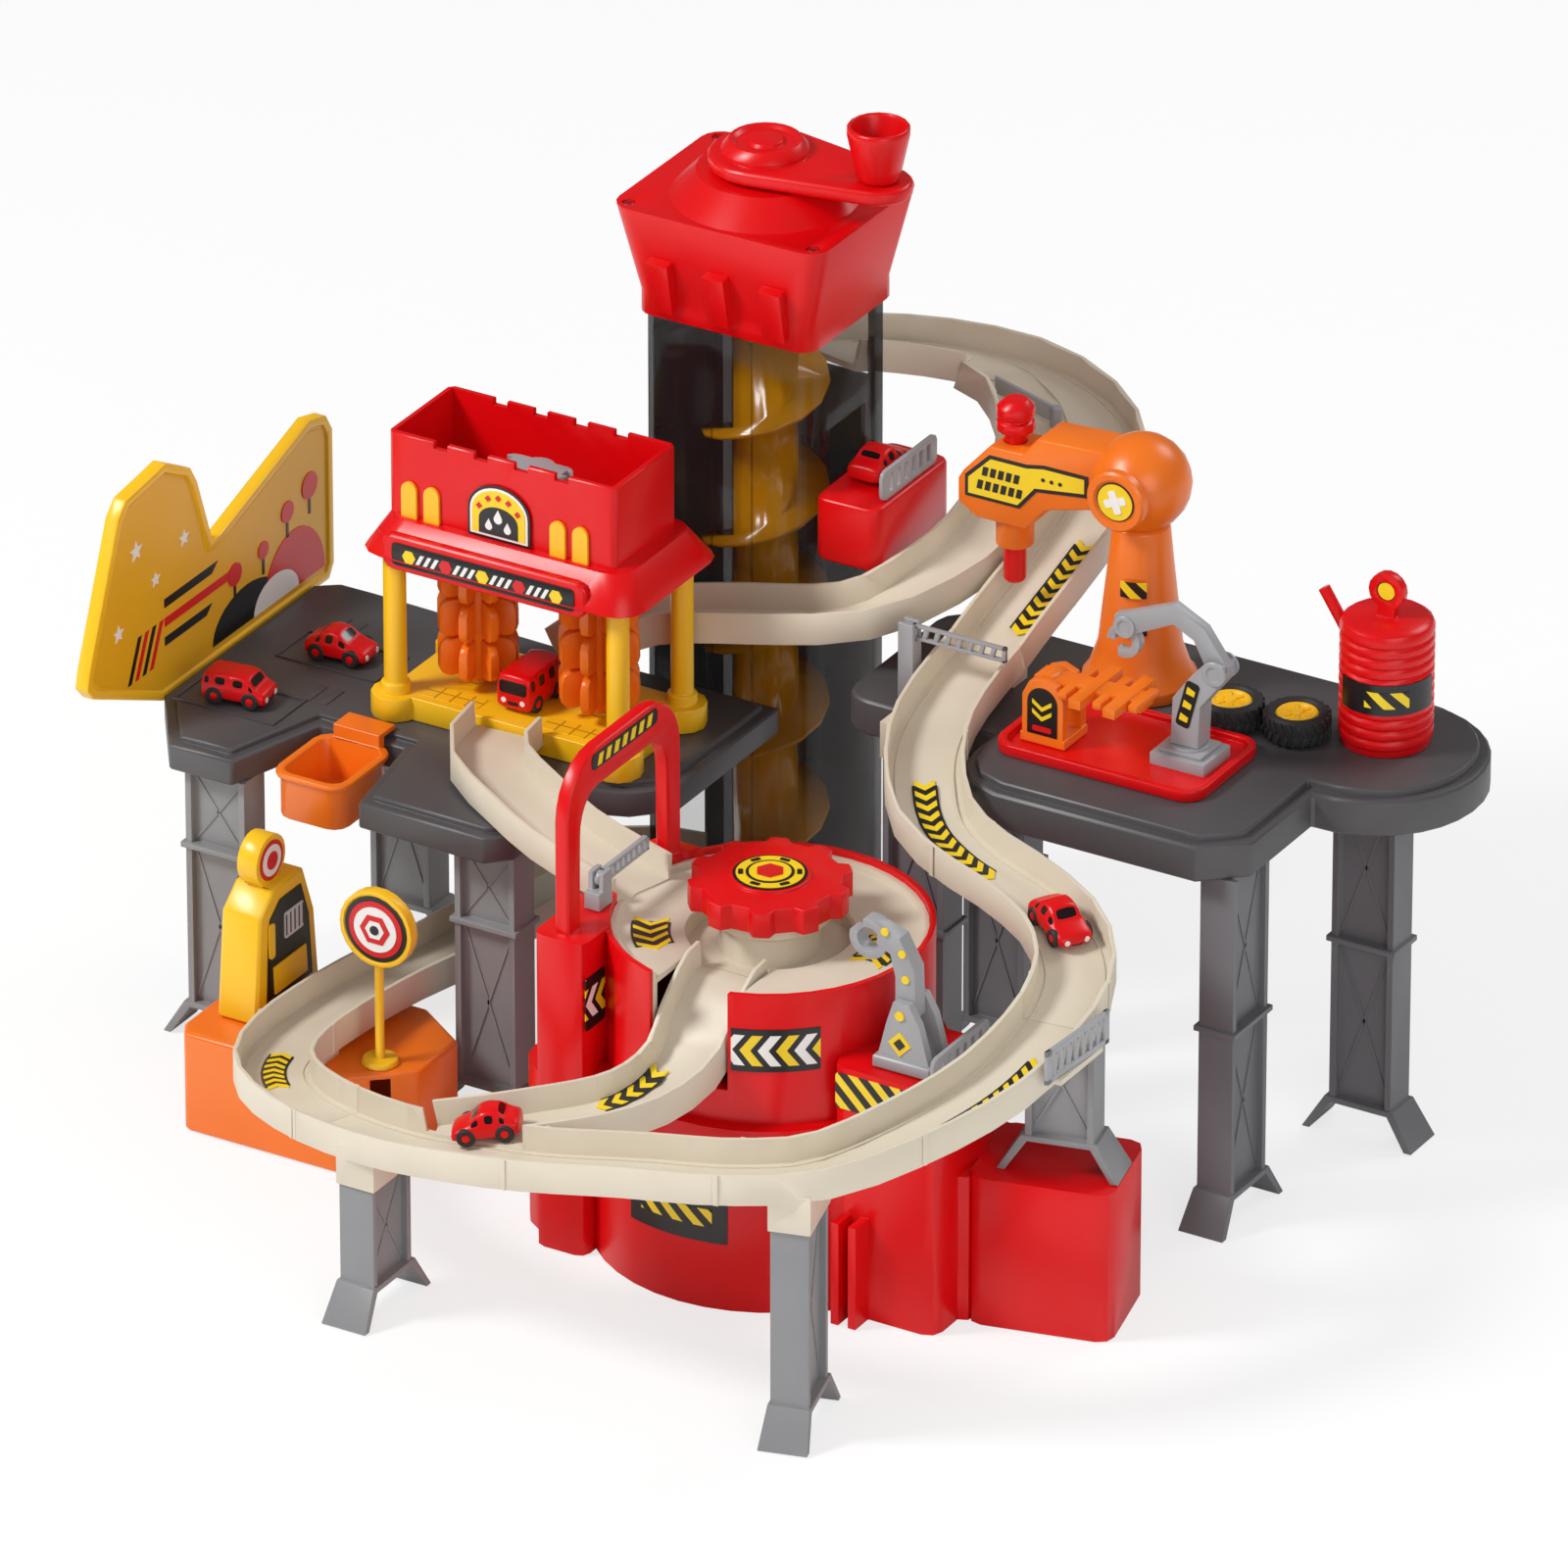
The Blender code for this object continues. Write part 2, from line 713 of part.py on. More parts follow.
def socket(route, place):
    """The block under a lane that stands on a pillar."""
    x, y, top, turn = place
    low = top + GAP
    high = rim_at(route, x, y) - LANE_DEPTH + SOCKET_MARGIN
    size = (PILLAR_WIDTH + SOCKET_MARGIN, PILLAR_DEPTH + SOCKET_MARGIN, high - low)
    return from_primitive(size, (x, y, (low + high) / 2), turn)


# Lift tower

def make_tower_shell():
    half_x = TOWER_WIDTH / 2
    half_y = TOWER_DEPTH / 2
    shell = prism(rounded(-half_x, half_x, -half_y, half_y, 6, 2), 0, TOWER_TOP)
    inner = prism(rounded(-half_x + TOWER_WALL, half_x - TOWER_WALL, -half_y + TOWER_WALL,
                          half_y - TOWER_WALL, 4, 2), TOWER_FLOOR, TOWER_TOP + 10)
    shell = cut(shell, inner)
    upper = UPPER_START[0]
    low = GATE_ROUTE[-1]
    out = LANE_WIDTH / 2 + 3 * GAP
    under = LANE_DEPTH + LANE_FLOOR + 14 * GAP
    shell = cut(
        shell,
        block(upper[0] - out, upper[0] + out, half_y - 6, half_y + 6, upper[2] - under, CAP_BOTTOM - 6),
        block(-half_x - 6, -half_x + 6, low[1] - out - 3, low[1] + out, low[2] - under, low[2] + 26),
        block(half_x - 6, half_x + 6, -18, 18, SIDE_BOX_TOP + 1, SIDE_BOX_TOP + 30),
    )
    shell = union(shell, rod(0, 0, SHAFT_RADIUS, TOWER_FLOOR - 2, TOWER_FLOOR + 6, 16))
    back = -half_y + TOWER_WALL
    for side in (-1, 1):
        x = side * (GUIDE_SPACING / 2 - 1.5)
        shell = union(shell, block(x - 1.5, x + 1.5, back - 1, back + GUIDE_RAIL, TOWER_FLOOR - 1,
                                   AUGER_TOP - 10))
    return shell


def make_tower_cap():
    in_x = TOWER_WIDTH / 2 + GAP
    in_y = TOWER_DEPTH / 2 + GAP
    band_x = in_x + CAP_BAND
    band_y = in_y + CAP_BAND
    foot = rounded(-band_x, band_x, -band_y, band_y, 10, 4)
    seat = TOWER_TOP + GAP
    cap = prism(foot, CAP_BOTTOM, seat + 1)
    cap = union(cap, tapered(foot, seat, CAP_TOP, CAP_FLARE, CAP_FLARE))
    cap = union(cap, turned([(0, CONE_TOP), (CONE_TOP_RADIUS, CONE_TOP),
                             (CONE_TOP_RADIUS + 3, CONE_TOP - 3),
                             (CONE_BASE_RADIUS, CAP_TOP - 1), (CONE_BASE_RADIUS, CAP_TOP - 3),
                             (0, CAP_TOP - 3)],
                            steps=28))
    for side in (-1, 1):
        for index in (-1, 0, 1):
            rib = from_primitive((CAP_RIB_WIDTH, 7, 30),
                                 (index * CAP_RIB_PITCH, side * (band_y + 0.8), CAP_BOTTOM + 21))
            cap = union(cap, moved(rib, turn=side * -12, axis="X",
                                   about=(0, side * band_y, CAP_BOTTOM + 8)))
    room = prism(rounded(-in_x, in_x, -in_y, in_y, 6, 2), CAP_BOTTOM - 1, seat)
    loft = prism(rounded(-in_x + 5, in_x - 5, -in_y + 5, in_y - 5, 6, 2), seat - 1, CAP_TOP - CAP_CEILING)
    cap = cut(cap, room, loft, rod(0, 0, SHAFT_RADIUS + GAP, CAP_TOP - 12, CONE_TOP + 5, 20))
    for x, y in screw_places():
        cap = cut(cap, rod(x, y, SCREW_RADIUS + GAP, CAP_TOP - 2.2, CAP_TOP + 5, 14))
    return cap


def screw_places():
    """Screws near the four corners of the cap."""
    x = (TOWER_WIDTH / 2 + GAP + CAP_BAND) * CAP_FLARE - SCREW_INSET
    y = (TOWER_DEPTH / 2 + GAP + CAP_BAND) * CAP_FLARE - SCREW_INSET
    return [(-x, -y), (x, -y), (x, y), (-x, y)]


def make_crank_arm():
    top = CRANK_HEIGHT + CRANK_THICKNESS
    outline = link_outline(0, 0, CRANK_HUB_RADIUS, CRANK_REACH, 0, CRANK_END_RADIUS)
    arm = bevelled(prism(outline, CRANK_HEIGHT, top), 1.6, 1)
    hub = turned([(0, top + 7), (9, top + 7), (10, top + 5), (15, top + 5), (17, top + 7), (19, top + 7),
                  (23, top + 2), (23, CONE_TOP + GAP), (SHAFT_RADIUS, CONE_TOP + GAP),
                  (SHAFT_RADIUS, AUGER_TOP + GAP), (0, AUGER_TOP + GAP)], steps=24)
    arm = union(arm, hub)
    return cut(arm, rod(CRANK_REACH, 0, 4 + GAP, top - 5, top + 5, 16))


def make_crank_knob():
    foot = CRANK_HEIGHT + CRANK_THICKNESS + GAP
    top = foot + KNOB_HEIGHT
    rim = KNOB_TOP_RADIUS
    inside = rim - KNOB_WALL - 0.6
    return turned([(0, foot + 5), (KNOB_FOOT_RADIUS - KNOB_WALL - 1, foot + 5), (inside, top - 2),
                   (inside + 0.8, top), (rim - 0.8, top), (rim, top - 1.2), (rim, top - 4),
                   (KNOB_FOOT_RADIUS, foot + 2), (KNOB_FOOT_RADIUS - 1, foot), (4, foot), (4, foot - 4.5),
                   (0, foot - 4.5)], CRANK_REACH, 0, 18)


def make_lift_auger():
    """The amber spiral: a helical blade round a core."""
    start = AUGER_FOOT + 8
    steps = round(AUGER_TURNS * 14)
    blade = bpy.data.meshes.new("blade")
    inner = AUGER_CORE - 2
    points = [(inner * MM, 0, start * MM), (AUGER_RADIUS * MM, 0, start * MM),
              (AUGER_RADIUS * MM, 0, (start - AUGER_BLADE) * MM),
              (inner * MM, 0, (start - AUGER_BLADE) * MM)]
    blade.from_pydata(points, [(0, 1), (1, 2), (2, 3), (3, 0)], [])
    obj = bpy.data.objects.new("blade", blade)
    bpy.context.scene.collection.objects.link(obj)
    screw = obj.modifiers.new("spiral", "SCREW")
    screw.angle = AUGER_TURNS * 2 * math.pi
    screw.screw_offset = AUGER_TURNS * AUGER_PITCH * MM
    screw.steps = steps
    screw.render_steps = steps
    blade = closed(baked(obj))
    core = turned([(0, AUGER_TOP), (AUGER_CORE, AUGER_TOP), (AUGER_CORE, AUGER_FOOT), (0, AUGER_FOOT)],
                  steps=28)
    return union(core, blade)


def make_side_box():
    """The red landing on the right of the tower."""
    left = TOWER_WIDTH / 2 + GAP
    solid = prism(rounded(left, SIDE_BOX_RIGHT, SIDE_BOX_FRONT, SIDE_BOX_BACK, 7, 3),
                  SIDE_BOX_BOTTOM, SIDE_BOX_TOP)
    solid = bevelled(solid, 1.5, 1)
    room = prism(rounded(left + 3, SIDE_BOX_RIGHT - 3, SIDE_BOX_FRONT + 3, SIDE_BOX_BACK - 3, 5, 2),
                 SIDE_BOX_BOTTOM - 2, SIDE_BOX_TOP - 4)
    return cut(solid, room)


def guard_rail(length, bars):
    """A flat guard rail in (X, Z), with upright slots, standing on Z 0 and centred in X."""
    half = length / 2
    points = rounded(-half, half, 0, RAIL_HEIGHT, 4, 2)
    rail = plate(points, -RAIL_THICKNESS / 2, RAIL_THICKNESS / 2, "Y")
    pitch = (length - 10) / bars
    for index in range(bars):
        x = -half + 5 + pitch * (index + 0.5)
        rail = cut(rail, from_primitive((pitch * 0.45, 10, RAIL_HEIGHT - 7), (x, 0, RAIL_HEIGHT / 2)))
    return rail


def make_side_rail():
    """The grey guard rail on the landing."""
    rail = moved(guard_rail(RAIL_LENGTH, RAIL_BARS), turn=90)
    return moved(rail, SIDE_BOX_RIGHT - 4, 2, SIDE_BOX_TOP + GAP)


# Decks and pillars

def left_deck_outline():
    """Outer edge of the left deck, with the notch that the bin hangs in."""
    notch_back = BIN_HOOK_EDGE
    return [(-246, -50), (-246, -196), (-214, -242), (-176, -242), (-158, notch_back),
            (-108, notch_back), (-96, -248), (-20, -250), (-8, -238), (-8, -178), (18, -168),
            (36, -150), (36, -47), (-60, -47), (-214, -41), (-234, -41)]


def make_left_deck():
    points = left_deck_outline()
    low = LEFT_DECK_TOP - LEFT_DECK_THICKNESS
    deck = bevelled(prism(points, low, LEFT_DECK_TOP), 1.2, 1)
    top = LEFT_DECK_TOP + PLATEAU_RISE - 1
    plateau = bevelled(prism(inset(points, PLATEAU_INSET), LEFT_DECK_TOP - 2, top), 1.0, 1)
    return union(deck, plateau)


def right_deck_outline(wing):
    """Edge of the right deck, with or without the low wing under the gate."""
    points = [(DECK_LEFT, WING_FRONT), (DECK_LEFT, DECK_FRONT + 36), (DECK_LEFT + 4, DECK_FRONT + 20),
              (DECK_LEFT + 15, DECK_FRONT + 7), (DECK_LEFT + 33, DECK_FRONT), (DECK_RIGHT - 22, DECK_FRONT),
              (DECK_RIGHT, DECK_FRONT + 20)]
    first = -math.acos((DECK_RIGHT - LOBE_X) / LOBE_RADIUS)
    last = math.pi - math.asin((DECK_BACK - LOBE_Y) / LOBE_RADIUS)
    steps = 18
    for i in range(steps + 1):
        angle = first + (last - first) * i / steps
        points.append((LOBE_X + LOBE_RADIUS * math.cos(angle), LOBE_Y + LOBE_RADIUS * math.sin(angle)))
    points.append((DECK_LEFT, DECK_BACK))
    if wing:
        points.append((DECK_LEFT, WING_BACK))
        for cy, first in ((WING_BACK - WING_ROUND, 90), (WING_FRONT + WING_ROUND, 180)):
            for i in range(4):
                angle = math.radians(first + 30 * i)
                points.append((WING_LEFT + WING_ROUND + WING_ROUND * math.cos(angle),
                               cy + WING_ROUND * math.sin(angle)))
    return points


def make_right_deck():
    low = RIGHT_DECK_TOP - DECK_THICKNESS
    top = RIGHT_DECK_TOP + PLATEAU_RISE
    deck = bevelled(prism(right_deck_outline(True), low, RIGHT_DECK_TOP), 1.5, 1)
    raised = bevelled(prism(inset(right_deck_outline(False), PLATEAU_INSET), RIGHT_DECK_TOP - 3, top),
                      1.0, 1)
    return cut(union(deck, raised), envelope(smooth_route(GATE_ROUTE[:11])))


def pillar(x, y, top, turn=0.0, bottom=0.0, collar=True):
    """One leg: recessed column, flared hollow foot and a collar half way up."""
    half_w = PILLAR_WIDTH / 2
    half_d = PILLAR_DEPTH / 2
    web = half_d - PILLAR_RECESS
    edge = half_w - PILLAR_FLANGE
    points = [(-half_w, -half_d), (-edge, -half_d), (-edge, -web), (edge, -web), (edge, -half_d),
              (half_w, -half_d), (half_w, half_d), (edge, half_d), (edge, web), (-edge, web),
              (-edge, half_d), (-half_w, half_d)]
    foot_top = bottom + FOOT_HEIGHT
    column = prism(points, foot_top - 1.5, top)
    long = FOOT_LENGTH / 2
    wide = FOOT_WIDTH / 2
    flare = [(-long, -wide), (long, -wide), (long, wide), (-long, wide)]
    shrink_x = (PILLAR_WIDTH + 4) / FOOT_LENGTH
    shrink_y = (PILLAR_DEPTH + 2) / FOOT_WIDTH
    foot = tapered(flare, bottom, foot_top, shrink_x, shrink_y)
    low = long - FOOT_WALL
    high = PILLAR_WIDTH / 2 - 1.5
    tunnel = plate([(-low, bottom - 2), (low, bottom - 2), (high, foot_top - FOOT_WALL),
                    (-high, foot_top - FOOT_WALL)], -FOOT_WIDTH, FOOT_WIDTH, "Y")
    leg = union(column, cut(foot, tunnel))
    if collar and top > COLLAR_HEIGHT + 30:
        ring = from_primitive((PILLAR_WIDTH + 4, PILLAR_DEPTH + 4, PILLAR_COLLAR), (0, 0, COLLAR_HEIGHT))
        leg = union(leg, ring)
    return moved(moved(leg, turn=turn), x, y)


def make_box_pillar():
    """The short leg that stands on the side base."""
    x, y, top, turn = BOX_PILLAR
    return pillar(x, y, top, turn, SIDE_BASE_TOP + GAP, collar=False)


# Lanes

def make_track_upper():
    """The lane out of the tower, its fork, the gate branch and the wash branch."""
    gate = stretched(smooth_route(UPPER_TO_GATE), False, True)
    wash = smooth_route(UPPER_TO_WASH)
    x, y = GATE_LANE_X, -43.0
    post = block(x - 12, x + 12, y - 7, y + 7, RIGHT_DECK_TOP + GAP, rim_at(gate, x, y) - LANE_DEPTH + 2)
    return forked([gate, wash], [post])


def make_track_diverter():
    """The grey blade that sends a car to the wash or to the gate."""
    route = smooth_route(UPPER_TO_WASH, FLAP_STEP)
    here = nearest(route, *FLAP_PIVOT)
    rise = route[here - round(FLAP_LENGTH / FLAP_STEP)].z - route[here].z
    floor = route[here].z - LANE_DEPTH
    low = floor + FLAP_CLEARANCE
    far = low + rise
    points = [(0, low), (0, low + FLAP_HEIGHT), (-FLAP_LENGTH, far + FLAP_HEIGHT), (-FLAP_LENGTH, far)]
    blade = plate(points, -FLAP_THICKNESS / 2, FLAP_THICKNESS / 2, "Y")
    blade = union(blade, rod(0, 0, 3.2, floor + GAP, low + FLAP_HEIGHT, 12))
    x, y = FLAP_PIVOT
    return moved(moved(blade, turn=FLAP_TURN), x, y)


def stretched(route, at_start, at_end):
    """A route drawn in by half a joint gap where it meets a neighbour."""
    part = [p.copy() for p in route]
    if at_start:
        part[0] += (part[1] - part[0]).normalized() * GAP / 2
    if at_end:
        part[-1] += (part[-2] - part[-1]).normalized() * GAP / 2
    return part


def gate_route():
    return smooth_route(GATE_ROUTE)


def gate_part(from_place, to_place):
    """The lower lane between two joints, with one step more past each."""
    route = gate_route()
    first = 0 if from_place is None else nearest(route, *from_place) - 1
    last = len(route) - 1 if to_place is None else nearest(route, *to_place) + 1
    return stretched(route[first:last + 1], from_place is None, False)


def make_track_s():
    route = gate_route()
    part = lane(gate_part(None, JOINT_BOX), socket(route, GATE_PILLAR), socket(route, BOX_PILLAR))
    return trimmed(part, route, JOINT_BOX, 1)


def make_track_front():
    """The corner and the long front lane, which the drum's outlet joins."""
    x, y, z = RAIL_SHELF
    half = SHELF_LENGTH / 2
    route = gate_route()
    shelf = block(x - 6, x + 3, y - half, y + half, z - 3, z)
    blocks = [socket(route, FRONT_PILLAR), socket(route, LOOP_PILLAR), shelf]
    part = forked([gate_part(JOINT_BOX, JOINT_LOOP), outlet_route()], blocks)
    return trimmed(trimmed(part, route, JOINT_BOX, -1), route, JOINT_LOOP, 1)


def outlet_route():
    return smooth_route(OUTLET_ROUTE, OUTLET_STEP)


def outlet_notch():
    """The room that the drum and its tray leave for the outlet lane."""
    out = LANE_WIDTH / 2 + NOTCH_CLEARANCE
    low = rim_at(outlet_route(), DRUM_X, DRUM_Y - DRUM_RADIUS) - 1.5 * (LANE_DEPTH + LANE_FLOOR)
    front = DRUM_Y - DRUM_BASE_RADIUS - 8
    return block(DRUM_X - out, DRUM_X + out, front, OUTLET_START + NOTCH_CLEARANCE, low, DRUM_TOP + 40)


def make_track_loop():
    """The left loop, which runs back under the deck to the tower's left door."""
    rest = block(-97, -73, -322, -306, ORANGE_TOP + GAP, rim_at(gate_route(), -85, -314) - LANE_DEPTH + 1)
    return trimmed(lane(gate_part(JOINT_LOOP, None), rest), gate_route(), JOINT_LOOP, -1)


# Wash station

def wash_columns_at():
    half_x = WASH_SPACING_X / 2
    half_y = WASH_SPACING_Y / 2
    return [(WASH_X + sx * half_x, WASH_Y + sy * half_y) for sx in (-1, 1) for sy in (-1, 1)]


def make_wash_base():
    low = WASH_BASE_BOTTOM
    top = low + WASH_BASE_HEIGHT
    half_x = WASH_SPACING_X / 2 + 4
    half_y = WASH_SPACING_Y / 2 + 4
    base = prism(rounded(WASH_X - half_x, WASH_X + half_x, WASH_Y - half_y, WASH_Y + half_y, 4, 1), low,
                 top)
    for x, y in wash_columns_at():
        base = union(base, prism(circle(x, y, 13, 12), low, top))
        base = union(base, turned([(0, COLUMN_TOP), (COLUMN_RADIUS, COLUMN_TOP), (COLUMN_RADIUS, top + 6),
                                   (COLUMN_SOCKET, top + 5), (COLUMN_SOCKET, top - 1), (0, top - 1)], x,
                                   y, 12))
    for side in (-1, 1):
        x = WASH_X + side * ROLLER_OFFSET
        base = union(base, rod(x, WASH_Y, ROLLER_CORE - 3, top - 1, top + 3, 12))
    return base


def make_wash_roof():
    """The skirt over the columns, with the sign panel and the box that holds cars."""
    half_x = WASH_SPACING_X / 2
    half_y = WASH_SPACING_Y / 2
    foot = rounded(WASH_X - half_x - 15, WASH_X + half_x + 17, WASH_Y - half_y - 16, WASH_Y + half_y + 16,
                   EAVE_ROUND, 3)
    skirt = tapered(foot, WASH_ROOF_BOTTOM + 6, WASH_ROOF_TOP, 0.87, 0.76)
    inner = rounded(WASH_X - half_x - 11, WASH_X + half_x + 13, WASH_Y - half_y - 12,
                    WASH_Y + half_y + 12, EAVE_ROUND - 3, 3)
    skirt = cut(skirt, tapered(inner, WASH_ROOF_BOTTOM + 4, WASH_ROOF_TOP - 3, 0.86, 0.74))
    for x, y in wash_columns_at():
        boss = rod(x, y, COLUMN_RADIUS + 2, WASH_ROOF_BOTTOM + 6, COLUMN_TOP + 3, 12)
        skirt = cut(union(skirt, boss), rod(x, y, COLUMN_RADIUS + GAP, WASH_ROOF_BOTTOM, COLUMN_TOP + GAP,
                                            12))
    front = WASH_Y - half_y - 11
    left = WASH_X - PANEL_SHIFT - PANEL_HALF
    right = WASH_X - PANEL_SHIFT + PANEL_HALF
    panel = plate(rounded(left, right, WASH_ROOF_BOTTOM, WASH_ROOF_TOP - 4, 6, 3), front - 4, front + 2, "Y")
    skirt = union(skirt, bevelled(panel, 1.2, 1))
    for side in (-1, 1):
        x = WASH_X + side * ROLLER_OFFSET
        skirt = cut(skirt, rod(x, WASH_Y, 3 + GAP, WASH_ROOF_BOTTOM, WASH_ROOF_TOP - GAP, 12))
    skirt = union(skirt, make_wash_box())
    return cut(skirt, rod(WASH_X, WASH_Y, 4 + GAP, WASH_ROOF_TOP - 10, WASH_ROOF_TOP + 10, 16))


def make_wash_box():
    """The open box with a notched rim."""
    low = WASH_ROOF_TOP - 1
    x0 = WASH_X - WASH_SPACING_X / 2 - 1 - WASH_BOX_SHIFT
    x1 = WASH_X + WASH_SPACING_X / 2 + 1 - WASH_BOX_SHIFT
    y0 = WASH_Y - WASH_SPACING_Y / 2 + 1
    y1 = WASH_Y + WASH_SPACING_Y / 2 - 1
    box = bevelled(prism(rounded(x0, x1, y0, y1, 3, 1), low, WASH_BOX_TOP), 0.6, 1)
    box = cut(box, block(x0 + WASH_BOX_WALL, x1 - WASH_BOX_WALL, y0 + WASH_BOX_WALL, y1 - WASH_BOX_WALL,
                         low + 3, WASH_BOX_TOP + 5))
    pitch = MERLON + MERLON_GAP
    count = int((x1 - x0 - MERLON) // pitch)
    first = (x0 + x1) / 2 - (count - 1) * pitch / 2
    for index in range(count):
        x = first + index * pitch
        box = cut(box, block(x - MERLON_GAP / 2, x + MERLON_GAP / 2, y0 - 5, y1 + 5,
                             WASH_BOX_TOP - MERLON_DEPTH, WASH_BOX_TOP + 5))
    for x in (x0 + 13.5, x0 + 27, x1 - 33.5, x1 - 20):
        window = plate([(x - 4.4, low + 1), (x + 4.4, low + 1), (x + 4.4, low + 16), (x + 3, low + 19.5),
                        (x, low + 21), (x - 3, low + 19.5), (x - 4.4, low + 16)], y0 - 1.2, y0 + 1, "Y")
        box = union(box, window)
    emblem = plate([(x + (x0 + x1) / 2, z + low + 6) for x, z in circle(0, 10, 14, 18) if z > 0.5],
                   y0 - 1.0, y0 + 1, "Y")
    return union(box, emblem)


def make_wash_handle():
    """The wrench-shaped key that turns the rollers."""
    low = WASH_ROOF_TOP + 3 + 2 * GAP
    y = WASH_Y
    stem = rod(WASH_X, y, 4, WASH_ROOF_TOP + GAP * 2, low + 24, 16)
    top = low + 22
    key = prism(link_outline(WASH_X - 14, y, 6.5, WASH_X + 14, y, 6.4, 6), top, top + 5)
    key = union(key, prism(circle(WASH_X, y, KEY_BULGE, 20), top, top + 5))
    for side in (-1, 1):
        key = cut(key, from_primitive((6, 5.4, 12), (WASH_X + side * 19, y, top + 2), 0))
    return union(key, stem)


def make_roller(side):
    """A washing roller: three tiers of soft fins on a core, on a pin at each end."""
    x = WASH_X + side * ROLLER_OFFSET
    low = WASH_BASE_BOTTOM + WASH_BASE_HEIGHT + 3 + GAP
    height = WASH_ROOF_BOTTOM + 2
    roller = rod(x, WASH_Y, ROLLER_CORE, low, height, 12)
    for tier in range(ROLLER_TIERS):
        z = low + 3 + tier * (ROLLER_TIER + 2.5)
        star = []
        count = ROLLER_FINS * 3
        for i in range(count):
            angle = 2 * math.pi * i / count
            radius = ROLLER_RADIUS if i % 3 < 2 else ROLLER_CORE + 5
            star.append((x + radius * math.cos(angle), WASH_Y + radius * math.sin(angle)))
        roller = union(roller, prism(star, z, z + ROLLER_TIER))
    return union(roller, rod(x, WASH_Y, 3, height - 1, WASH_ROOF_TOP - 2, 10))


# Drum

def make_drum_base():
    """The red base: drum, side base, arch block and loader block in one moulding."""
    base = prism(circle(DRUM_X, DRUM_Y, DRUM_BASE_RADIUS, DRUM_FACETS), 0, DRUM_BASE_TOP)
    base = union(base, prism(circle(DRUM_X, DRUM_Y, DRUM_RADIUS, DRUM_FACETS), DRUM_BASE_TOP - 2, DRUM_TOP))
    base = union(base, prism(rounded(62, 92, -337, -214, 6, 2), 0, ARCH_BASE_TOP))
    base = union(base, prism(rounded(226, LOADER_BLOCK_RIGHT, -319, -256, 8, 2), 0, LOADER_BASE_TOP))
    side = moved(moved(prism(rounded(-38, 38, -31, 31, 8, 2), 0, SIDE_BASE_TOP), turn=13.2), 322, -258)
    base = union(base, side)
    base = union(base, prism([(200, -330), (236, -318), (292, -294), (300, -236), (220, -226)], 0,
                             SIDE_BASE_TOP - 2))
    base = union(base, prism(circle(66, -300, 25, 16), 0, 92))
    for x in (236, 246):
        base = union(base, from_primitive((4.5, 16, 58), (x, -324, 29)))
    seat = TRAY_FLOOR - TRAY_SKIN - TRAY_SKIRT - GAP
    base = cut(base, prism(circle(DRUM_X, DRUM_Y, DRUM_RADIUS - DRUM_WALL, DRUM_FACETS), seat, DRUM_TOP + 5))
    base = cut(base, prism(circle(DRUM_X, DRUM_Y, DRUM_RADIUS - 12, 24), -2, seat + 1))
    base = cut(base, prism(rounded(294, 350, -280, -236, 6, 1), -2, SIDE_BASE_TOP - 5),
               prism(rounded(240, LOADER_BLOCK_RIGHT - 5, -312, -262, 6, 1), -2, LOADER_BASE_TOP - 5))
    base = cut(base, outlet_notch(), envelope(smooth_route(CHUTE_ROUTE), 10))
    return union(base, make_arch())


def make_drum_tray():
    """The beige tray with its ring lane and hub."""
    out = DRUM_RADIUS - DRUM_WALL - GAP
    rim = DRUM_TOP - 3
    low = TRAY_FLOOR - TRAY_SKIN
    tray = turned([(0, HUB_TOP), (HUB_RADIUS, HUB_TOP), (HUB_RADIUS, HUB_TOP - 6),
                   (HUB_RADIUS - 6, HUB_TOP - 10),
                   (HUB_RADIUS - 6, TRAY_FLOOR), (TRAY_RECESS, TRAY_FLOOR), (TRAY_RECESS, TRAY_DECK - 1.5),
                   (TRAY_RECESS + 1.5, TRAY_DECK), (out - 3, TRAY_DECK), (out - 3, rim), (out, rim),
                   (out, low - TRAY_SKIRT), (out - 4, low - TRAY_SKIRT), (out - 4, TRAY_DECK - TRAY_SKIN),
                   (TRAY_RECESS + TRAY_SKIN, TRAY_DECK - TRAY_SKIN), (TRAY_RECESS + TRAY_SKIN, low), (0, low)],
                   DRUM_X, DRUM_Y, DRUM_FACETS)
    pin = rod(DRUM_X, DRUM_Y, 5, HUB_TOP - 2, HUB_TOP + 8, 16)
    tray = union(tray, pin)
    chute = smooth_route(CHUTE_ROUTE)
    tray = union(cut(tray, outlet_notch()), swept(chute, solid_section()))
    return cut(tray, swept(extended(chute, 5, 12), hollow_section()))


def make_gear_knob():
    """The gear-shaped knob on top of the drum."""
    low = HUB_TOP + GAP
    top = low + GEAR_THICKNESS
    tooth = 2 * math.pi / GEAR_TEETH
    points = []
    for i in range(GEAR_TEETH):
        for share, radius in ((0.0, GEAR_RADIUS), (0.17, GEAR_RADIUS), (0.34, GEAR_RADIUS),
                              (0.46, GEAR_RADIUS - GEAR_TOOTH), (0.88, GEAR_RADIUS - GEAR_TOOTH)):
            angle = tooth * (i + share)
            points.append((DRUM_X + radius * math.cos(angle), DRUM_Y + radius * math.sin(angle)))
    knob = union(prism(points, low, top), rod(DRUM_X, DRUM_Y, 21, top - 2, top + 1.4, 24))
    return cut(knob, rod(DRUM_X, DRUM_Y, 5 + GAP, low - 2, HUB_TOP + 8 + GAP, 16))


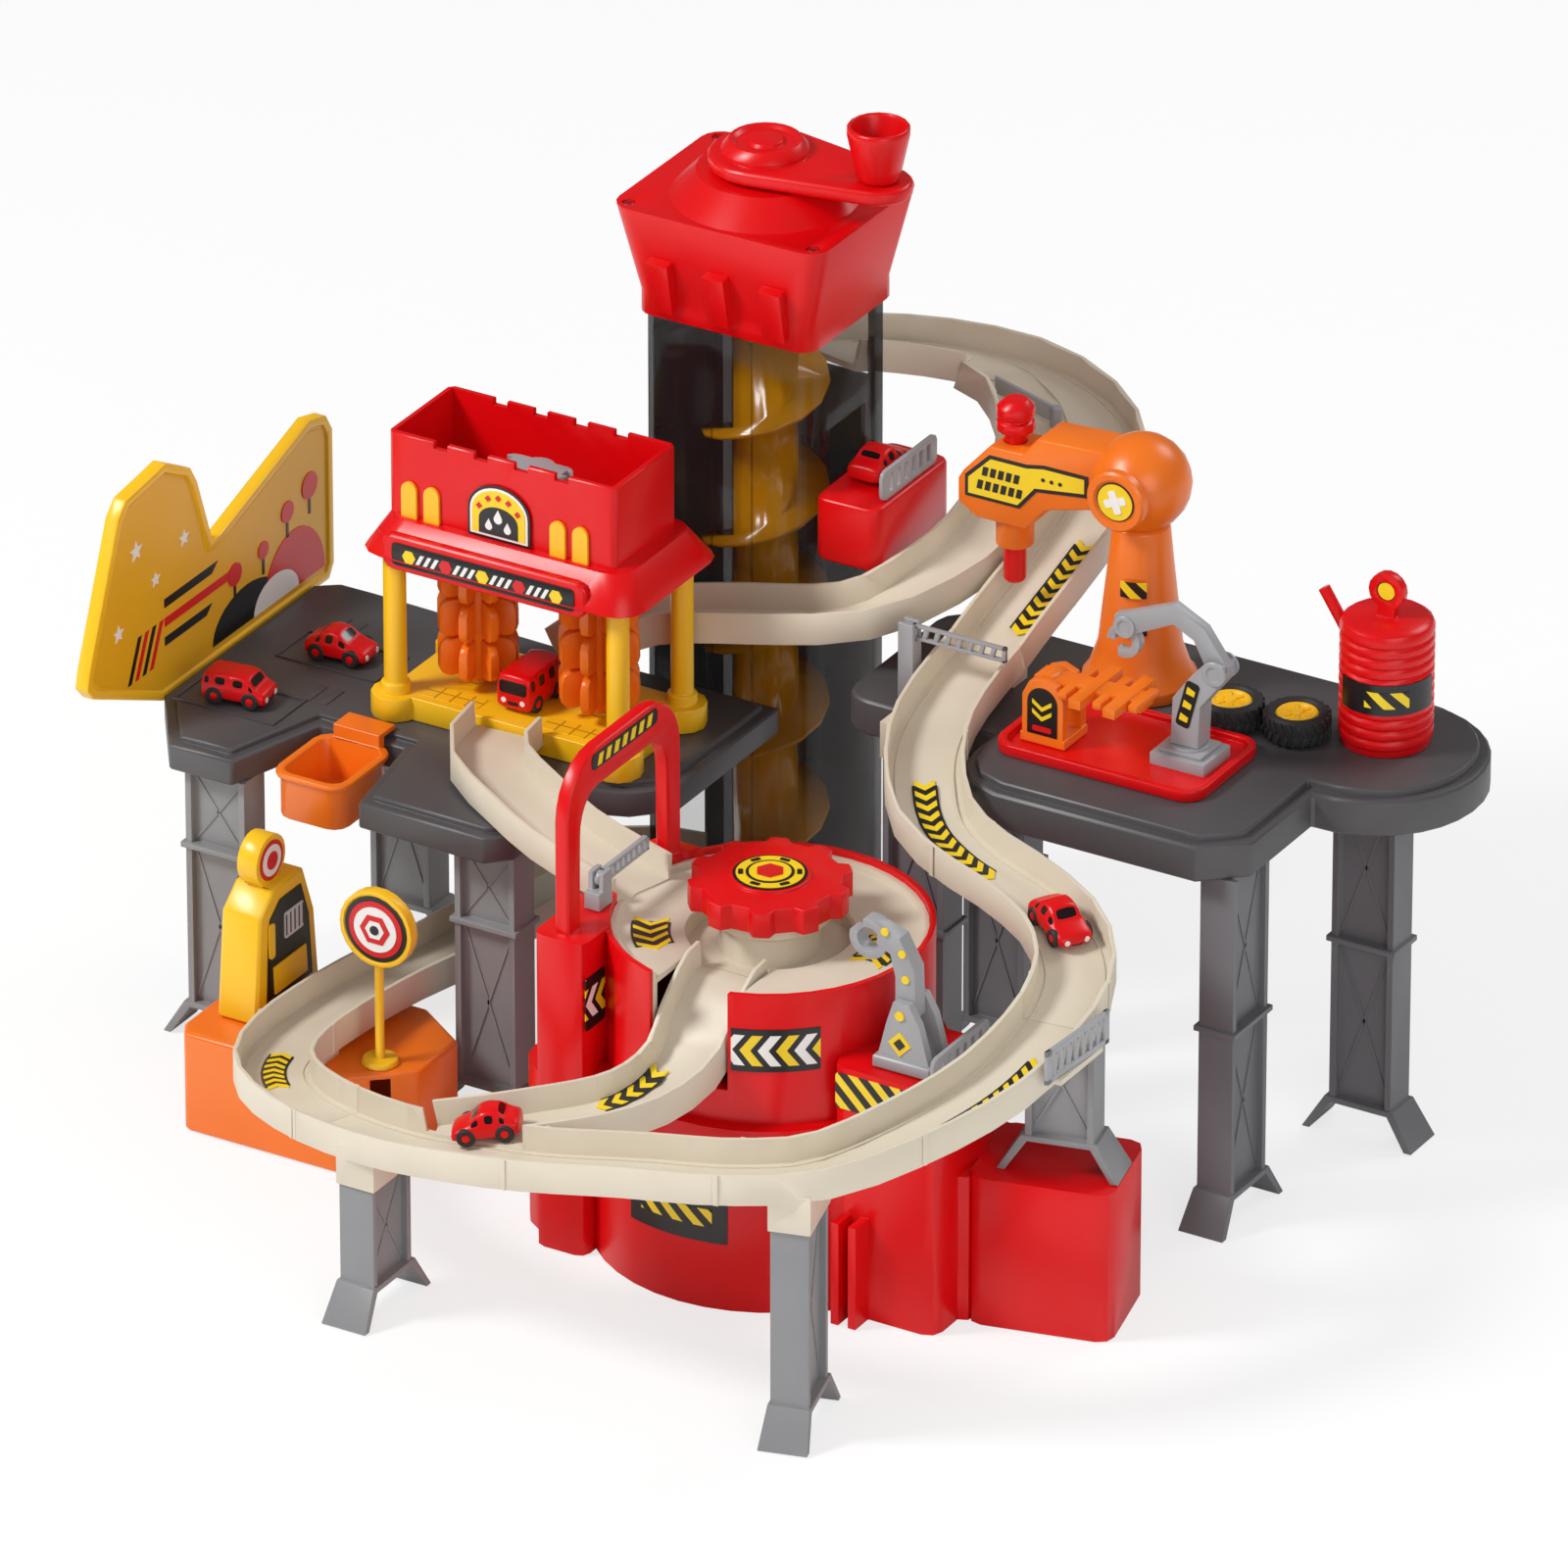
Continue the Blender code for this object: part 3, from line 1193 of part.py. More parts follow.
def make_arch():
    """The red arch over the lane into the drum."""
    low = ARCH_BASE_TOP - 6
    outer = []
    inner = []
    for side, edge in ((1, ARCH_FRONT), (-1, ARCH_BACK)):
        out = [(edge - side * 6, low)]
        hole = [(edge + side * 6, low - 5)]
        for step in range(ARCH_STEPS + 1):
            angle = math.pi / 2 * step / ARCH_STEPS
            out.append((edge + side * (ARCH_ROUND - 6 - ARCH_ROUND * math.cos(angle)),
                        ARCH_TOP - ARCH_ROUND * (1 - math.sin(angle))))
            hole.append((edge + side * (7 + ARCH_HOLLOW * (1 - math.cos(angle))),
                         ARCH_TOP - ARCH_PLATE - ARCH_RISE * (1 - math.sin(angle))))
        outer += out[::side]
        inner += hole[::side]
    arch = plate(outer, ARCH_X - 4, ARCH_X + 4, "X")
    arch = cut(arch, plate(inner, ARCH_X - 10, ARCH_X + 10, "X"))
    return bevelled(arch, 1.0, 1)


# Gates


def make_gate_post_left():
    """The grey post by the arch, with a fork for its boom."""
    x, y, z = GATE_LEFT
    half = POST_SIZE / 2
    low = ARCH_BASE_TOP + GAP
    left = block(x - half, x + half, y - half - 4, y + half, low, z - 5)
    return union(left, block(x - half, x - BOOM_THICKNESS / 2 - GAP, y - half, y + half, z - 6, z + 5),
                 block(x + BOOM_THICKNESS / 2 + GAP, x + half, y - half, y + half, z - 6, z + 5))


def make_gate_post_right():
    """The grey post on the deck, with a fork for its boom."""
    half = POST_SIZE / 2
    x, y, z = GATE_RIGHT
    low = RIGHT_DECK_TOP + GAP
    right = block(x - half, x + half, y - half, y + half, low, z - 5)
    return union(right, block(x - half, x + half, y - half, y - BOOM_THICKNESS / 2 - GAP, z - 6, z + 5),
                 block(x - half, x + half, y + BOOM_THICKNESS / 2 + GAP, y + half, z - 6, z + 5))


def make_boom_left():
    x, y, z = GATE_LEFT
    bar = plate(rounded(y - 4, y + BOOM_LEFT_LENGTH, z - BOOM_HEIGHT / 2, z + BOOM_HEIGHT / 2, 3.6, 3),
                x - BOOM_THICKNESS / 2, x + BOOM_THICKNESS / 2, "X")
    return bar


def make_boom_right():
    x, y, z = GATE_RIGHT
    bar = plate(rounded(x - 4, x + BOOM_RIGHT_LENGTH, z - BOOM_HEIGHT / 2, z + BOOM_HEIGHT / 2, 3.6, 3),
                y - BOOM_THICKNESS / 2, y + BOOM_THICKNESS / 2, "Y")
    return bar


# Loader beside the drum


def make_loader_base():
    low = LOADER_BASE_TOP + GAP
    foot = bevelled(block(LOADER_X - 17, LOADER_X + 17, LOADER_Y - 13, LOADER_Y + 13, low, low + 7), 1.0, 1)
    ear = [(LOADER_X - 15, low + 6), (LOADER_X + 15, low + 6), (LOADER_X + 9, low + 28),
           (LOADER_X + 3, LOADER_PIVOT_Z + 5),
           (LOADER_X - 6, LOADER_PIVOT_Z + 5), (LOADER_X - 10, low + 26)]
    for side in (-1, 1):
        centre = LOADER_Y + side * 8
        foot = union(foot, plate(ear, centre - 2.5, centre + 2.5, "Y"))
    rail_x = LOADER_BLOCK_RIGHT - 3
    foot = union(foot, block(LOADER_X + 15, rail_x + 1, LOADER_Y - 10, LOADER_Y + 10, low, low + 3))
    return union(foot, moved(moved(guard_rail(RAIL_LENGTH, RAIL_BARS), turn=90), rail_x, LOADER_Y + 8, low))


def make_loader_arm():
    """The bent arm with a round claw, hinged between the ears."""
    x, y, z = LOADER_X - 2, LOADER_Y, LOADER_PIVOT_Z
    arm = plate([(x - 6, z - 5), (x + 6, z - 5), (x + 5, z + 22), (x - 4, z + 38), (x - 16, z + 42),
                 (x - 17, z + 32), (x - 9, z + 28), (x - 6, z + 16)], y - 4.8, y + 4.8, "Y")
    claw = turned([(11, 4.5), (11, -4.5), (6.5, -4.5), (6.5, 4.5)], 0, 0, 20)
    claw = cut(claw, from_primitive((12, 12, 20), (-9, 9, 0)))
    claw = moved(claw, turn=90, axis="X")
    claw = moved(claw, x - 22, y, z + 33)
    return union(arm, claw, lying_rod((x, y, z), 4, 5.2, "Y", 14))


# Orange corner with the pump and the round sign


def make_orange_base():
    base = prism([(-154, -326), (-60, -326), (-28, -300), (-28, -262), (-60, -240), (-150, -240),
                  (-160, -250), (-160, -316)], 0, ORANGE_TOP)
    base = bevelled(base, 2.0, 1)
    base = cut(base, block(-152, -40, -316, -250, -2, ORANGE_TOP - 4))
    return base


def make_fuel_pump():
    low = ORANGE_TOP + GAP
    body = plate([(PUMP_Y - 34, low), (PUMP_Y + 28, low), (PUMP_Y + 24, low + 44), (PUMP_Y + 14, low + 72),
                  (PUMP_Y - 14, low + 72), (PUMP_Y - 28, low + 60), (PUMP_Y - 30, low + 40)],
                 PUMP_X - 12, PUMP_X + 12, "X")
    body = bevelled(body, 1.6, 1)
    body = union(body, lying_rod((PUMP_X, PUMP_Y - 8, low + 84), 14, 6, "X", 22))
    return union(body, block(PUMP_X - 5, PUMP_X + 5, PUMP_Y - 15, PUMP_Y - 1, low + 68, low + 74))


def make_round_sign():
    low = ORANGE_TOP + GAP
    sign = turned([(0, low + 3), (9, low + 3), (10, low), (0, low)], SIGN_X, SIGN_Y, 16)
    sign = union(sign, rod(SIGN_X, SIGN_Y, 2.4, low + 2, low + 62, 12))
    disc = turned([(0, 2.4), (19, 2.4), (19, 3.4), (21.5, 3.4), (21.5, -3.4), (0, -3.4)], 0, 0, 22)
    disc = moved(moved(disc, turn=90, axis="X"), SIGN_X, SIGN_Y, low + 78)
    return union(sign, disc)


# Bin and sign board on the left deck


def make_parts_bin():
    """The orange bin that hooks over the notch of the deck."""
    x0, x1, y0, y1 = -153.0, -113.0, -238.0, BIN_HOOK_EDGE - GAP - 4
    bin_shape = prism(rounded(x0, x1, y0, y1, 9, 3), BIN_RIM - BIN_DEPTH, BIN_RIM)
    bin_shape = union(bin_shape, prism(rounded(x0 - 2, x1 + 2, y0 - 2, y1 + 2, 10, 3), BIN_RIM - 3,
                                       BIN_RIM))
    bin_shape = cut(bin_shape, prism(rounded(x0 + BIN_WALL, x1 - BIN_WALL, y0 + BIN_WALL, y1 - BIN_WALL,
                                             7, 3),
                                     BIN_RIM - BIN_DEPTH + BIN_WALL, BIN_RIM + 5))
    high = LEFT_DECK_TOP + PLATEAU_RISE - 1 + GAP
    hook = block(-147, -119, y1 - 1.5, BIN_HOOK_EDGE - GAP, BIN_RIM - 12, high + 2)
    hook = union(hook, block(-147, -119, y1 - 1.5, BIN_HOOK_EDGE + 10, high, high + 3))
    return union(bin_shape, hook)


def make_sign_board():
    """The yellow board that stands along the left edge."""
    low = LEFT_DECK_TOP - 4
    points = [(-33, low), (-196, low), (-262, low + 30), (-268, low + 37), (-266, low + 46),
              (-236, low + 122),
              (-228, low + 130), (-204, low + 133), (-190, low + 135), (-166, low + 122), (-160, low + 112),
              (-146, low + 72), (-138, low + 72), (-50, low + 100), (-34, low + 96), (-28, low + 86),
              (-28, low + 8)]
    board = plate(points, BOARD_X - BOARD_THICKNESS / 2, BOARD_X + BOARD_THICKNESS / 2, "X")
    recess = plate(inset(points, 5), BOARD_X + BOARD_THICKNESS / 2 - 1.6, BOARD_X + BOARD_THICKNESS, "X")
    return cut(board, recess)


# Repair deck


def make_repair_tray():
    tray = prism(rounded(205, 325, -124, -52, 12, 4), TRAY_LOW, TRAY_LOW + 6)
    tray = cut(tray, prism(rounded(209, 321, -120, -56, 9, 3), TRAY_LOW + 3, TRAY_LOW + 10))
    low = TRAY_LOW + 2
    foot = block(CRANE_X - 15, CRANE_X + 15, CRANE_Y - 13, CRANE_Y + 13, low, low + 7)
    return union(tray, foot, rod(CRANE_X, CRANE_Y, 9, low + 6, CRANE_FOOT_TOP, 20))


def make_tipper_stand():
    low = TRAY_LOW + 3 + GAP
    stand = block(TIPPER_X - 13, TIPPER_X + 13, TIPPER_Y - 12, TIPPER_Y + 12, low, low + 5)
    points = [(TIPPER_X - 12, low + 4), (TIPPER_X + 12, low + 4), (TIPPER_X + 12, TIPPER_Z - 6),
              (TIPPER_X + 8, TIPPER_Z + 2),
              (TIPPER_X, TIPPER_Z + 5), (TIPPER_X - 8, TIPPER_Z + 2), (TIPPER_X - 12, TIPPER_Z - 6)]
    for y in (TIPPER_Y - 9.5, TIPPER_Y + 9.5):
        stand = union(stand, plate(points, y - 2.5, y + 2.5, "Y"))
    return stand


def make_tipper_beam():
    """The orange rocking lift: a beam with cross bars."""
    half = 29.0
    beam = block(TIPPER_X - 8, TIPPER_X + half * 2 - 4, TIPPER_Y - 6.5, TIPPER_Y + 6.5, TIPPER_Z - 3,
                 TIPPER_Z + 3)
    beam = union(beam, lying_rod((TIPPER_X, TIPPER_Y, TIPPER_Z), 5, 6.6, "Y", 14))
    for x in (TIPPER_X + 24, TIPPER_X + 44):
        bar = from_primitive((7, 44, 5), (x, TIPPER_Y, TIPPER_Z + 1))
        beam = union(beam, bar)
    return beam


def make_crane_post():
    """The post that swivels on its base and carries the arm."""
    low = CRANE_FOOT_TOP + GAP
    z = CRANE_ELBOW_Z
    post = plate([(CRANE_X - 8, low), (CRANE_X + 8, low), (CRANE_X + 9, low + 24), (CRANE_X + 22, z - 4),
                  (CRANE_X + 22, z + 5), (CRANE_X + 12, z + 5), (CRANE_X + 4, z - 4),
                  (CRANE_X - 7, low + 26)],
                 CRANE_Y - 6.5, CRANE_Y + 6.5, "Y")
    slot = block(CRANE_X + 6, CRANE_X + 30, CRANE_Y - 3 - GAP, CRANE_Y + 3 + GAP, z - 9, z + 10)
    return cut(post, slot)


def make_crane_arm():
    """The bent arm with the open hook."""
    x, z = CRANE_ELBOW_X, CRANE_ELBOW_Z
    arm = plate([(x - 4, z - 5), (x + 4, z - 5), (x + 6, z + 3), (x - 8, z + 22), (x - 26, z + 31),
                 (x - 52, z + 20),
                 (x - 60, z + 17), (x - 60, z + 9), (x - 48, z + 9), (x - 26, z + 20), (x - 14, z + 14)],
                CRANE_Y - 3, CRANE_Y + 3, "Y")
    hook = turned([(9.5, 2.6), (9.5, -2.6), (5, -2.6), (5, 2.6)], 0, 0, 20)
    hook = cut(hook, from_primitive((10, 9, 20), (-8, -5, 0)))
    hook = moved(moved(hook, turn=90, axis="X"), x - 55, CRANE_Y, z + 3)
    return union(arm, hook)


def make_robot_body():
    """Flared base, neck and the ball of the robot."""
    low = REPAIR_TOP + GAP
    body = turned([(0, ROBOT_HEAD_Z - 22), (13, ROBOT_HEAD_Z - 22), (15, ROBOT_HEAD_Z - 24),
                   (ROBOT_NECK_RADIUS, low + 70),
                   (ROBOT_NECK_RADIUS + 5, low + 24), (ROBOT_BASE_RADIUS - 3, low + 9),
                   (ROBOT_BASE_RADIUS, low + 6),
                   (ROBOT_BASE_RADIUS, low), (0, low)], ROBOT_X, ROBOT_Y, 22)
    return body


def make_robot_arm():
    """Ball head and boom, which swivel on the neck."""
    x, y, z = ROBOT_X, ROBOT_Y, ROBOT_HEAD_Z
    head = cut(ball((x, y, z), ROBOT_HEAD_RADIUS, 24), block(x - 30, x + 30, y - 30, y + 30, z - 30,
                                                             z - 22 + GAP))
    tip = x - ROBOT_REACH
    boom = plate([(x - 14, z + 18), (x - 54, z + 16), (tip + 11, BOOM_TOP), (tip - 8, BOOM_TOP),
                  (tip - 24, z - 13),
                  (tip - 27, z - 18), (tip - 27, z - 31), (tip - 16, z - 38), (tip + 13, z - 38),
                  (tip + 25, z - 24),
                  (x - 33, z - 20), (x - 14, z - 15)], y - 13, y + 13, "Y")
    head = union(head, bevelled(boom, 2.0, 2))
    head = union(head, lying_rod((x, y - ROBOT_HEAD_RADIUS + 2, z), 14, 3.0, "Y", 20))
    head = union(head, rod(tip, y, SIREN_RADIUS, COLLAR_BOTTOM, z - 36, 16))
    return cut(head, rod(tip, y, PROBE_RADIUS + GAP, COLLAR_BOTTOM - 5, z + 60, 14))


def make_robot_probe():
    """The siren button and the bit under it, one sliding piece."""
    low = BOOM_TOP + 2 * GAP + PROBE_STROKE
    tip = ROBOT_HEAD_Z - 75
    return turned([(0, low + 18), (6, low + 18), (SIREN_RADIUS, low + 14), (SIREN_RADIUS, low + 9),
                   (8, low + 8),
                   (8, low + 7), (SIREN_RADIUS, low + 6), (SIREN_RADIUS, low + 1), (PROBE_RADIUS, low),
                   (PROBE_RADIUS, tip + 2), (PROBE_RADIUS - 1.5, tip), (0, tip)], ROBOT_X - ROBOT_REACH,
                   ROBOT_Y, 14)


def make_tyre(x, y):
    low = REPAIR_TOP + GAP
    top = low + TYRE_HEIGHT
    return turned([(0, top - 2), (11, top - 2), (12, top), (TYRE_RADIUS - 2, top), (TYRE_RADIUS, top - 3),
                   (TYRE_RADIUS, low + 2), (TYRE_RADIUS - 2, low), (0, low)], x, y, 18)


def make_oil_drum():
    low = REPAIR_TOP + GAP
    top = low + OIL_HEIGHT
    profile = [(0, top), (OIL_RADIUS - 4, top), (OIL_RADIUS - 1, top - 2)]
    pitch = (OIL_HEIGHT - 12) / (OIL_RIBS - 1)
    for index in range(OIL_RIBS):
        z = top - 6 - index * pitch
        profile += [(OIL_RADIUS, z + pitch / 4), (OIL_RADIUS, z - pitch / 4), (OIL_RADIUS - 1.2, z - pitch / 2)]
    profile += [(OIL_RADIUS - 1, low), (0, low)]
    drum = turned(profile, OIL_X, OIL_Y, 22)
    drum = union(drum, tube([(OIL_X - 12, OIL_Y, top - 24), (OIL_X - 24, OIL_Y, top - 14),
                             (OIL_X - 37, OIL_Y, top + 6)], 3.2, 2))
    ring = turned([(10, 2.6), (10, -2.6), (5.5, -2.6), (5.5, 2.6)], 0, 0, 16)
    ring = moved(moved(ring, turn=90, axis="X"), OIL_X, OIL_Y, top + 14)
    return union(drum, ring, block(OIL_X - 5, OIL_X + 5, OIL_Y - 2.6, OIL_Y + 2.6, top - 1, top + 6))


# Mini cars

def car(kind):
    """A one-piece mini car pointing along +X and standing on Z 0."""
    half = CAR_LENGTH / 2
    wide = CAR_WIDTH / 2
    low = 2.2
    if kind == "van":
        side = [(-half, low), (half, low), (half, 8), (half - 3, 10), (half - 7, CAR_HEIGHT),
                (-half + 1.5, CAR_HEIGHT), (-half, 13)]
    elif kind == "bus":
        side = [(-half, low), (half, low), (half, CAR_HEIGHT + 3), (half - 2, CAR_HEIGHT + 5),
                (-half + 2, CAR_HEIGHT + 5), (-half, CAR_HEIGHT + 3)]
    else:
        side = [(-half, low), (half, low), (half, 7), (half - 4, 10), (7, 11.5), (3, CAR_HEIGHT - 1),
                (-6, CAR_HEIGHT), (-12, 12.5), (-half, 9.5)]
    body = plate(side, -wide + 1.5, wide - 1.5, "Y")
    for x in (-half + 8, half - 8):
        for side_y in (-1, 1):
            body = union(body, lying_rod((x, side_y * (wide - 3), WHEEL_RADIUS), WHEEL_RADIUS, 3, "Y", 8))
    return body


def placed_car(kind, x, y, z, heading, pitch=0.0):
    shape = moved(car(kind), turn=pitch, axis="Y")
    return moved(moved(shape, turn=heading), x, y, z)


def lane_car(kind, route, x, y):
    """A car on a lane, turned and tilted with it."""
    index = nearest(route, x, y)
    here = route[index]
    ahead = route[index + 1] - route[index - 1]
    heading = math.degrees(math.atan2(ahead.y, ahead.x))
    pitch = -math.degrees(math.atan2(ahead.z, math.hypot(ahead.x, ahead.y)))
    return placed_car(kind, here.x, here.y, here.z - LANE_DEPTH + CAR_SEAT, heading, pitch)


def make_cars():
    """Every loose car, by name."""
    deck = LEFT_DECK_TOP + PLATEAU_RISE - 1 + GAP
    station = WASH_BASE_BOTTOM + WASH_BASE_HEIGHT + GAP
    return {
        "deck_van": placed_car("van", -206, -186, deck, 8),
        "deck_car": placed_car("car", -186, -118, deck, 4),
        "wash_bus": placed_car("bus", WASH_X, WASH_Y - 8, station, -90),
        "roof_car": placed_car("car", 66, 4, SIDE_BOX_TOP + GAP, 90),
        "slope_car": lane_car("car", gate_route(), 299, -217),
        "front_car": lane_car("car", outlet_route(), 84, -416),
    }


# Materials and assembly

COLOURS = {
    "red": ((0.70, 0.006, 0.012, 1), 0.32, 0.0),
    "smoke": ((0.02, 0.018, 0.018, 1), 0.08, 0.0),
    "amber": ((0.42, 0.16, 0.005, 1), 0.15, 0.0),
    "clear": ((0.35, 0.33, 0.33, 1), 0.08, 0.0),
    "cream": ((0.72, 0.65, 0.53, 1), 0.38, 0.0),
    "deck": ((0.068, 0.064, 0.066, 1), 0.45, 0.0),
    "grey": ((0.30, 0.30, 0.31, 1), 0.42, 0.0),
    "light": ((0.40, 0.41, 0.43, 1), 0.42, 0.0),
    "yellow": ((0.93, 0.55, 0.02, 1), 0.35, 0.0),
    "orange": ((0.92, 0.24, 0.01, 1), 0.35, 0.0),
    "steel": ((0.55, 0.55, 0.56, 1), 0.3, 1.0),
    "tyre": ((0.03, 0.03, 0.03, 1), 0.8, 0.0),
}


def material(name):
    found = bpy.data.materials.get(name)
    if found:
        return found
    colour, roughness, metallic = COLOURS[name]
    made = bpy.data.materials.new(name)
    made.use_nodes = True
    shader = made.node_tree.nodes["Principled BSDF"]
    shader.inputs["Base Color"].default_value = colour
    shader.inputs["Roughness"].default_value = roughness
    shader.inputs["Metallic"].default_value = metallic
    made.diffuse_color = colour
    return made


def finish(name, obj, colour, group, origin=None):
    """Name a piece, give it its material and put its origin on its joint."""
    if origin is not None:
        point = Vector(origin) * MM
        obj.data.transform(Matrix.Translation(-point))
        obj.location = point
    obj.name = name
    obj.data.name = name
    obj.data.materials.clear()
    obj.data.materials.append(material(colour))
    obj.data.shade_smooth()
    obj.data.set_sharp_from_angle(angle=math.radians(32))
    for holder in list(obj.users_collection):
        holder.objects.unlink(obj)
    group.objects.link(obj)


def main():
    for obj in list(bpy.data.objects):
        bpy.data.objects.remove(obj)
    group = bpy.data.collections.new("parking_garage")
    bpy.context.scene.collection.children.link(group)
    left_roller = (WASH_X - ROLLER_OFFSET, WASH_Y, WASH_BASE_BOTTOM)
    right_roller = (WASH_X + ROLLER_OFFSET, WASH_Y, WASH_BASE_BOTTOM)
    pieces = [
        ("tower_shell", make_tower_shell(), "smoke", None),
        ("tower_cap", make_tower_cap(), "red", None),
        ("crank_arm", make_crank_arm(), "red", (0, 0, CRANK_HEIGHT)),
        ("crank_knob", make_crank_knob(), "red", (CRANK_REACH, 0, CRANK_HEIGHT + CRANK_THICKNESS)),
        ("lift_auger", make_lift_auger(), "amber", (0, 0, AUGER_FOOT)),
        ("side_box", make_side_box(), "red", None),
        ("side_rail", make_side_rail(), "light", None),
        ("track_upper", make_track_upper(), "cream", None),
        ("track_diverter", make_track_diverter(), "grey", (FLAP_PIVOT[0], FLAP_PIVOT[1], 300)),
        ("track_s", make_track_s(), "cream", None),
        ("track_front", make_track_front(), "cream", None),
        ("track_loop", make_track_loop(), "cream", None),
        ("left_deck", make_left_deck(), "deck", None),
        ("right_deck", make_right_deck(), "deck", None),
        ("sign_board", make_sign_board(), "yellow", None),
        ("parts_bin", make_parts_bin(), "orange", None),
        ("wash_base", make_wash_base(), "yellow", None),
        ("wash_roof", make_wash_roof(), "red", None),
        ("wash_handle", make_wash_handle(), "grey", (WASH_X, WASH_Y, WASH_ROOF_TOP)),
        ("roller_left", make_roller(-1), "orange", left_roller),
        ("roller_right", make_roller(1), "orange", right_roller),
        ("drum_base", make_drum_base(), "red", None),
        ("drum_tray", make_drum_tray(), "cream", None),
        ("gear_knob", make_gear_knob(), "red", (DRUM_X, DRUM_Y, HUB_TOP)),
        ("gate_post_left", make_gate_post_left(), "light", None),
        ("gate_post_right", make_gate_post_right(), "light", None),
        ("boom_left", make_boom_left(), "grey", GATE_LEFT),
        ("boom_right", make_boom_right(), "grey", GATE_RIGHT),
        ("loader_base", make_loader_base(), "light", None),
        ("loader_arm", make_loader_arm(), "light", (LOADER_X - 2, LOADER_Y, LOADER_PIVOT_Z)),
        ("orange_base", make_orange_base(), "orange", None),
        ("fuel_pump", make_fuel_pump(), "yellow", None),
        ("round_sign", make_round_sign(), "yellow", None),
        ("repair_tray", make_repair_tray(), "red", None),
        ("tipper_stand", make_tipper_stand(), "orange", None),
        ("tipper_beam", make_tipper_beam(), "orange", (TIPPER_X, TIPPER_Y, TIPPER_Z)),
        ("crane_post", make_crane_post(), "light", (CRANE_X, CRANE_Y, TRAY_LOW)),
        ("crane_arm", make_crane_arm(), "light", (CRANE_ELBOW_X, CRANE_Y, CRANE_ELBOW_Z)),
        ("robot_body", make_robot_body(), "orange", None),
        ("robot_arm", make_robot_arm(), "orange", (ROBOT_X, ROBOT_Y, ROBOT_HEAD_Z)),
        ("robot_probe", make_robot_probe(), "red", (ROBOT_X - ROBOT_REACH, ROBOT_Y, ROBOT_HEAD_Z)),
        ("oil_drum", make_oil_drum(), "red", None),
        ("pillar_box", make_box_pillar(), "light", None),
    ]
    pieces += [(name, pillar(*place), "light", None) for name, place in LIGHT_PILLARS.items()]
    pieces += [(name, pillar(*place), "grey", None) for name, place in DARK_PILLARS.items()]
    pieces += [(name, make_tyre(*place), "tyre", None) for name, place in TYRES.items()]
    pieces += [(name, shape, "red", None) for name, shape in make_cars().items()]
    for name, obj, colour, origin in pieces:
        finish(name, obj, colour, group, origin)
    print("pieces", len(pieces))


main()
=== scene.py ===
"""Looks of a toy parking garage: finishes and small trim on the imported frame."""

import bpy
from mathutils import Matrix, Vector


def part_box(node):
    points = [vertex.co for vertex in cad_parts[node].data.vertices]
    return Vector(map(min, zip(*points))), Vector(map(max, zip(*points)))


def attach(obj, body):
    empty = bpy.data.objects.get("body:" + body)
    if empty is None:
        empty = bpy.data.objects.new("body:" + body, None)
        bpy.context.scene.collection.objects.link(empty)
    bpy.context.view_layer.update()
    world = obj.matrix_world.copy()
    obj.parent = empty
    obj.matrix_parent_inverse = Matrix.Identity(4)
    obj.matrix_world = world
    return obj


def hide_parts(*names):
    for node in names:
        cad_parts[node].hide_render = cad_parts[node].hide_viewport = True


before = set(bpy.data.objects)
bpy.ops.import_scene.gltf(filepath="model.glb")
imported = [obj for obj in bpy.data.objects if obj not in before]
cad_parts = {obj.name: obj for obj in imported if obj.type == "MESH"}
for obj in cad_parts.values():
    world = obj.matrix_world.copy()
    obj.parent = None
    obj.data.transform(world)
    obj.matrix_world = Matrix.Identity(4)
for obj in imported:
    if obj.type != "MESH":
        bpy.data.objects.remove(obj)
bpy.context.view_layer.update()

import logging
import math
from dataclasses import dataclass, field
from enum import Enum
from typing import Any, ClassVar, Sequence

import bmesh
import bpy
from mathutils import Matrix, Vector

LOG = logging.getLogger("parking_garage")
MM = 0.001
PRINT_FILM = 0.35  # thickness of a plain sticker
SUNK = -0.05  # height of a film's back, just inside what it lies on
SHARP_EDGE = 32.0  # degrees beyond which an edge stays hard
CORNER_STEPS = 5  # steps round a corner of a sticker or panel
SLAT_LEAN = 14.0  # degrees that the slats of the slotted rails lean
WELD_GAP = 0.01  # distance in millimetres under which two corners of a CAD mesh are one
FLAT_ANGLE = 0.6  # degrees under which two faces of a CAD mesh are one plane
MOULD_ANGLE = 34.0  # degrees beyond which a mould leaves an edge radius
FLOW_SIZE = 45.0  # size in millimetres of the faint shade that the flow of the plastic leaves
FILM_GRAIN = 2.5  # size in millimetres of a vinyl film's fine unevenness
COAT_ROUGHNESS = 0.08  # roughness of the clear layer on glossy plastic
ROUTE_SAMPLES = 24  # samples between two points of a lane's route
LANE_FILM = 0.25  # height of a strip's middle over its floor
DIFFUSE_SKY, GLOSSY_SKY = 0.40, 0.12  # sky strength for the light it gives and for what mirrors in the plastic
PAPER_GLOW = 0.72  # share of plain white in the floor as the camera sees it

Point = Sequence[float]
Outline = list[tuple[float, float]]
Layer = tuple[Outline, float, float, int]


# Materials

def linear(code: str) -> tuple[float, float, float, float]:
    """Turns an sRGB hex colour into linear values.

    Args:
        code: Colour as "#rrggbb".

    Returns:
        Red, green, blue and full opacity.
    """
    parts = [int(code[i:i + 2], 16) / 255 for i in (1, 3, 5)]
    red, green, blue = (p / 12.92 if p <= 0.04045 else ((p + 0.055) / 1.055) ** 2.4 for p in parts)
    return (red, green, blue, 1.0)


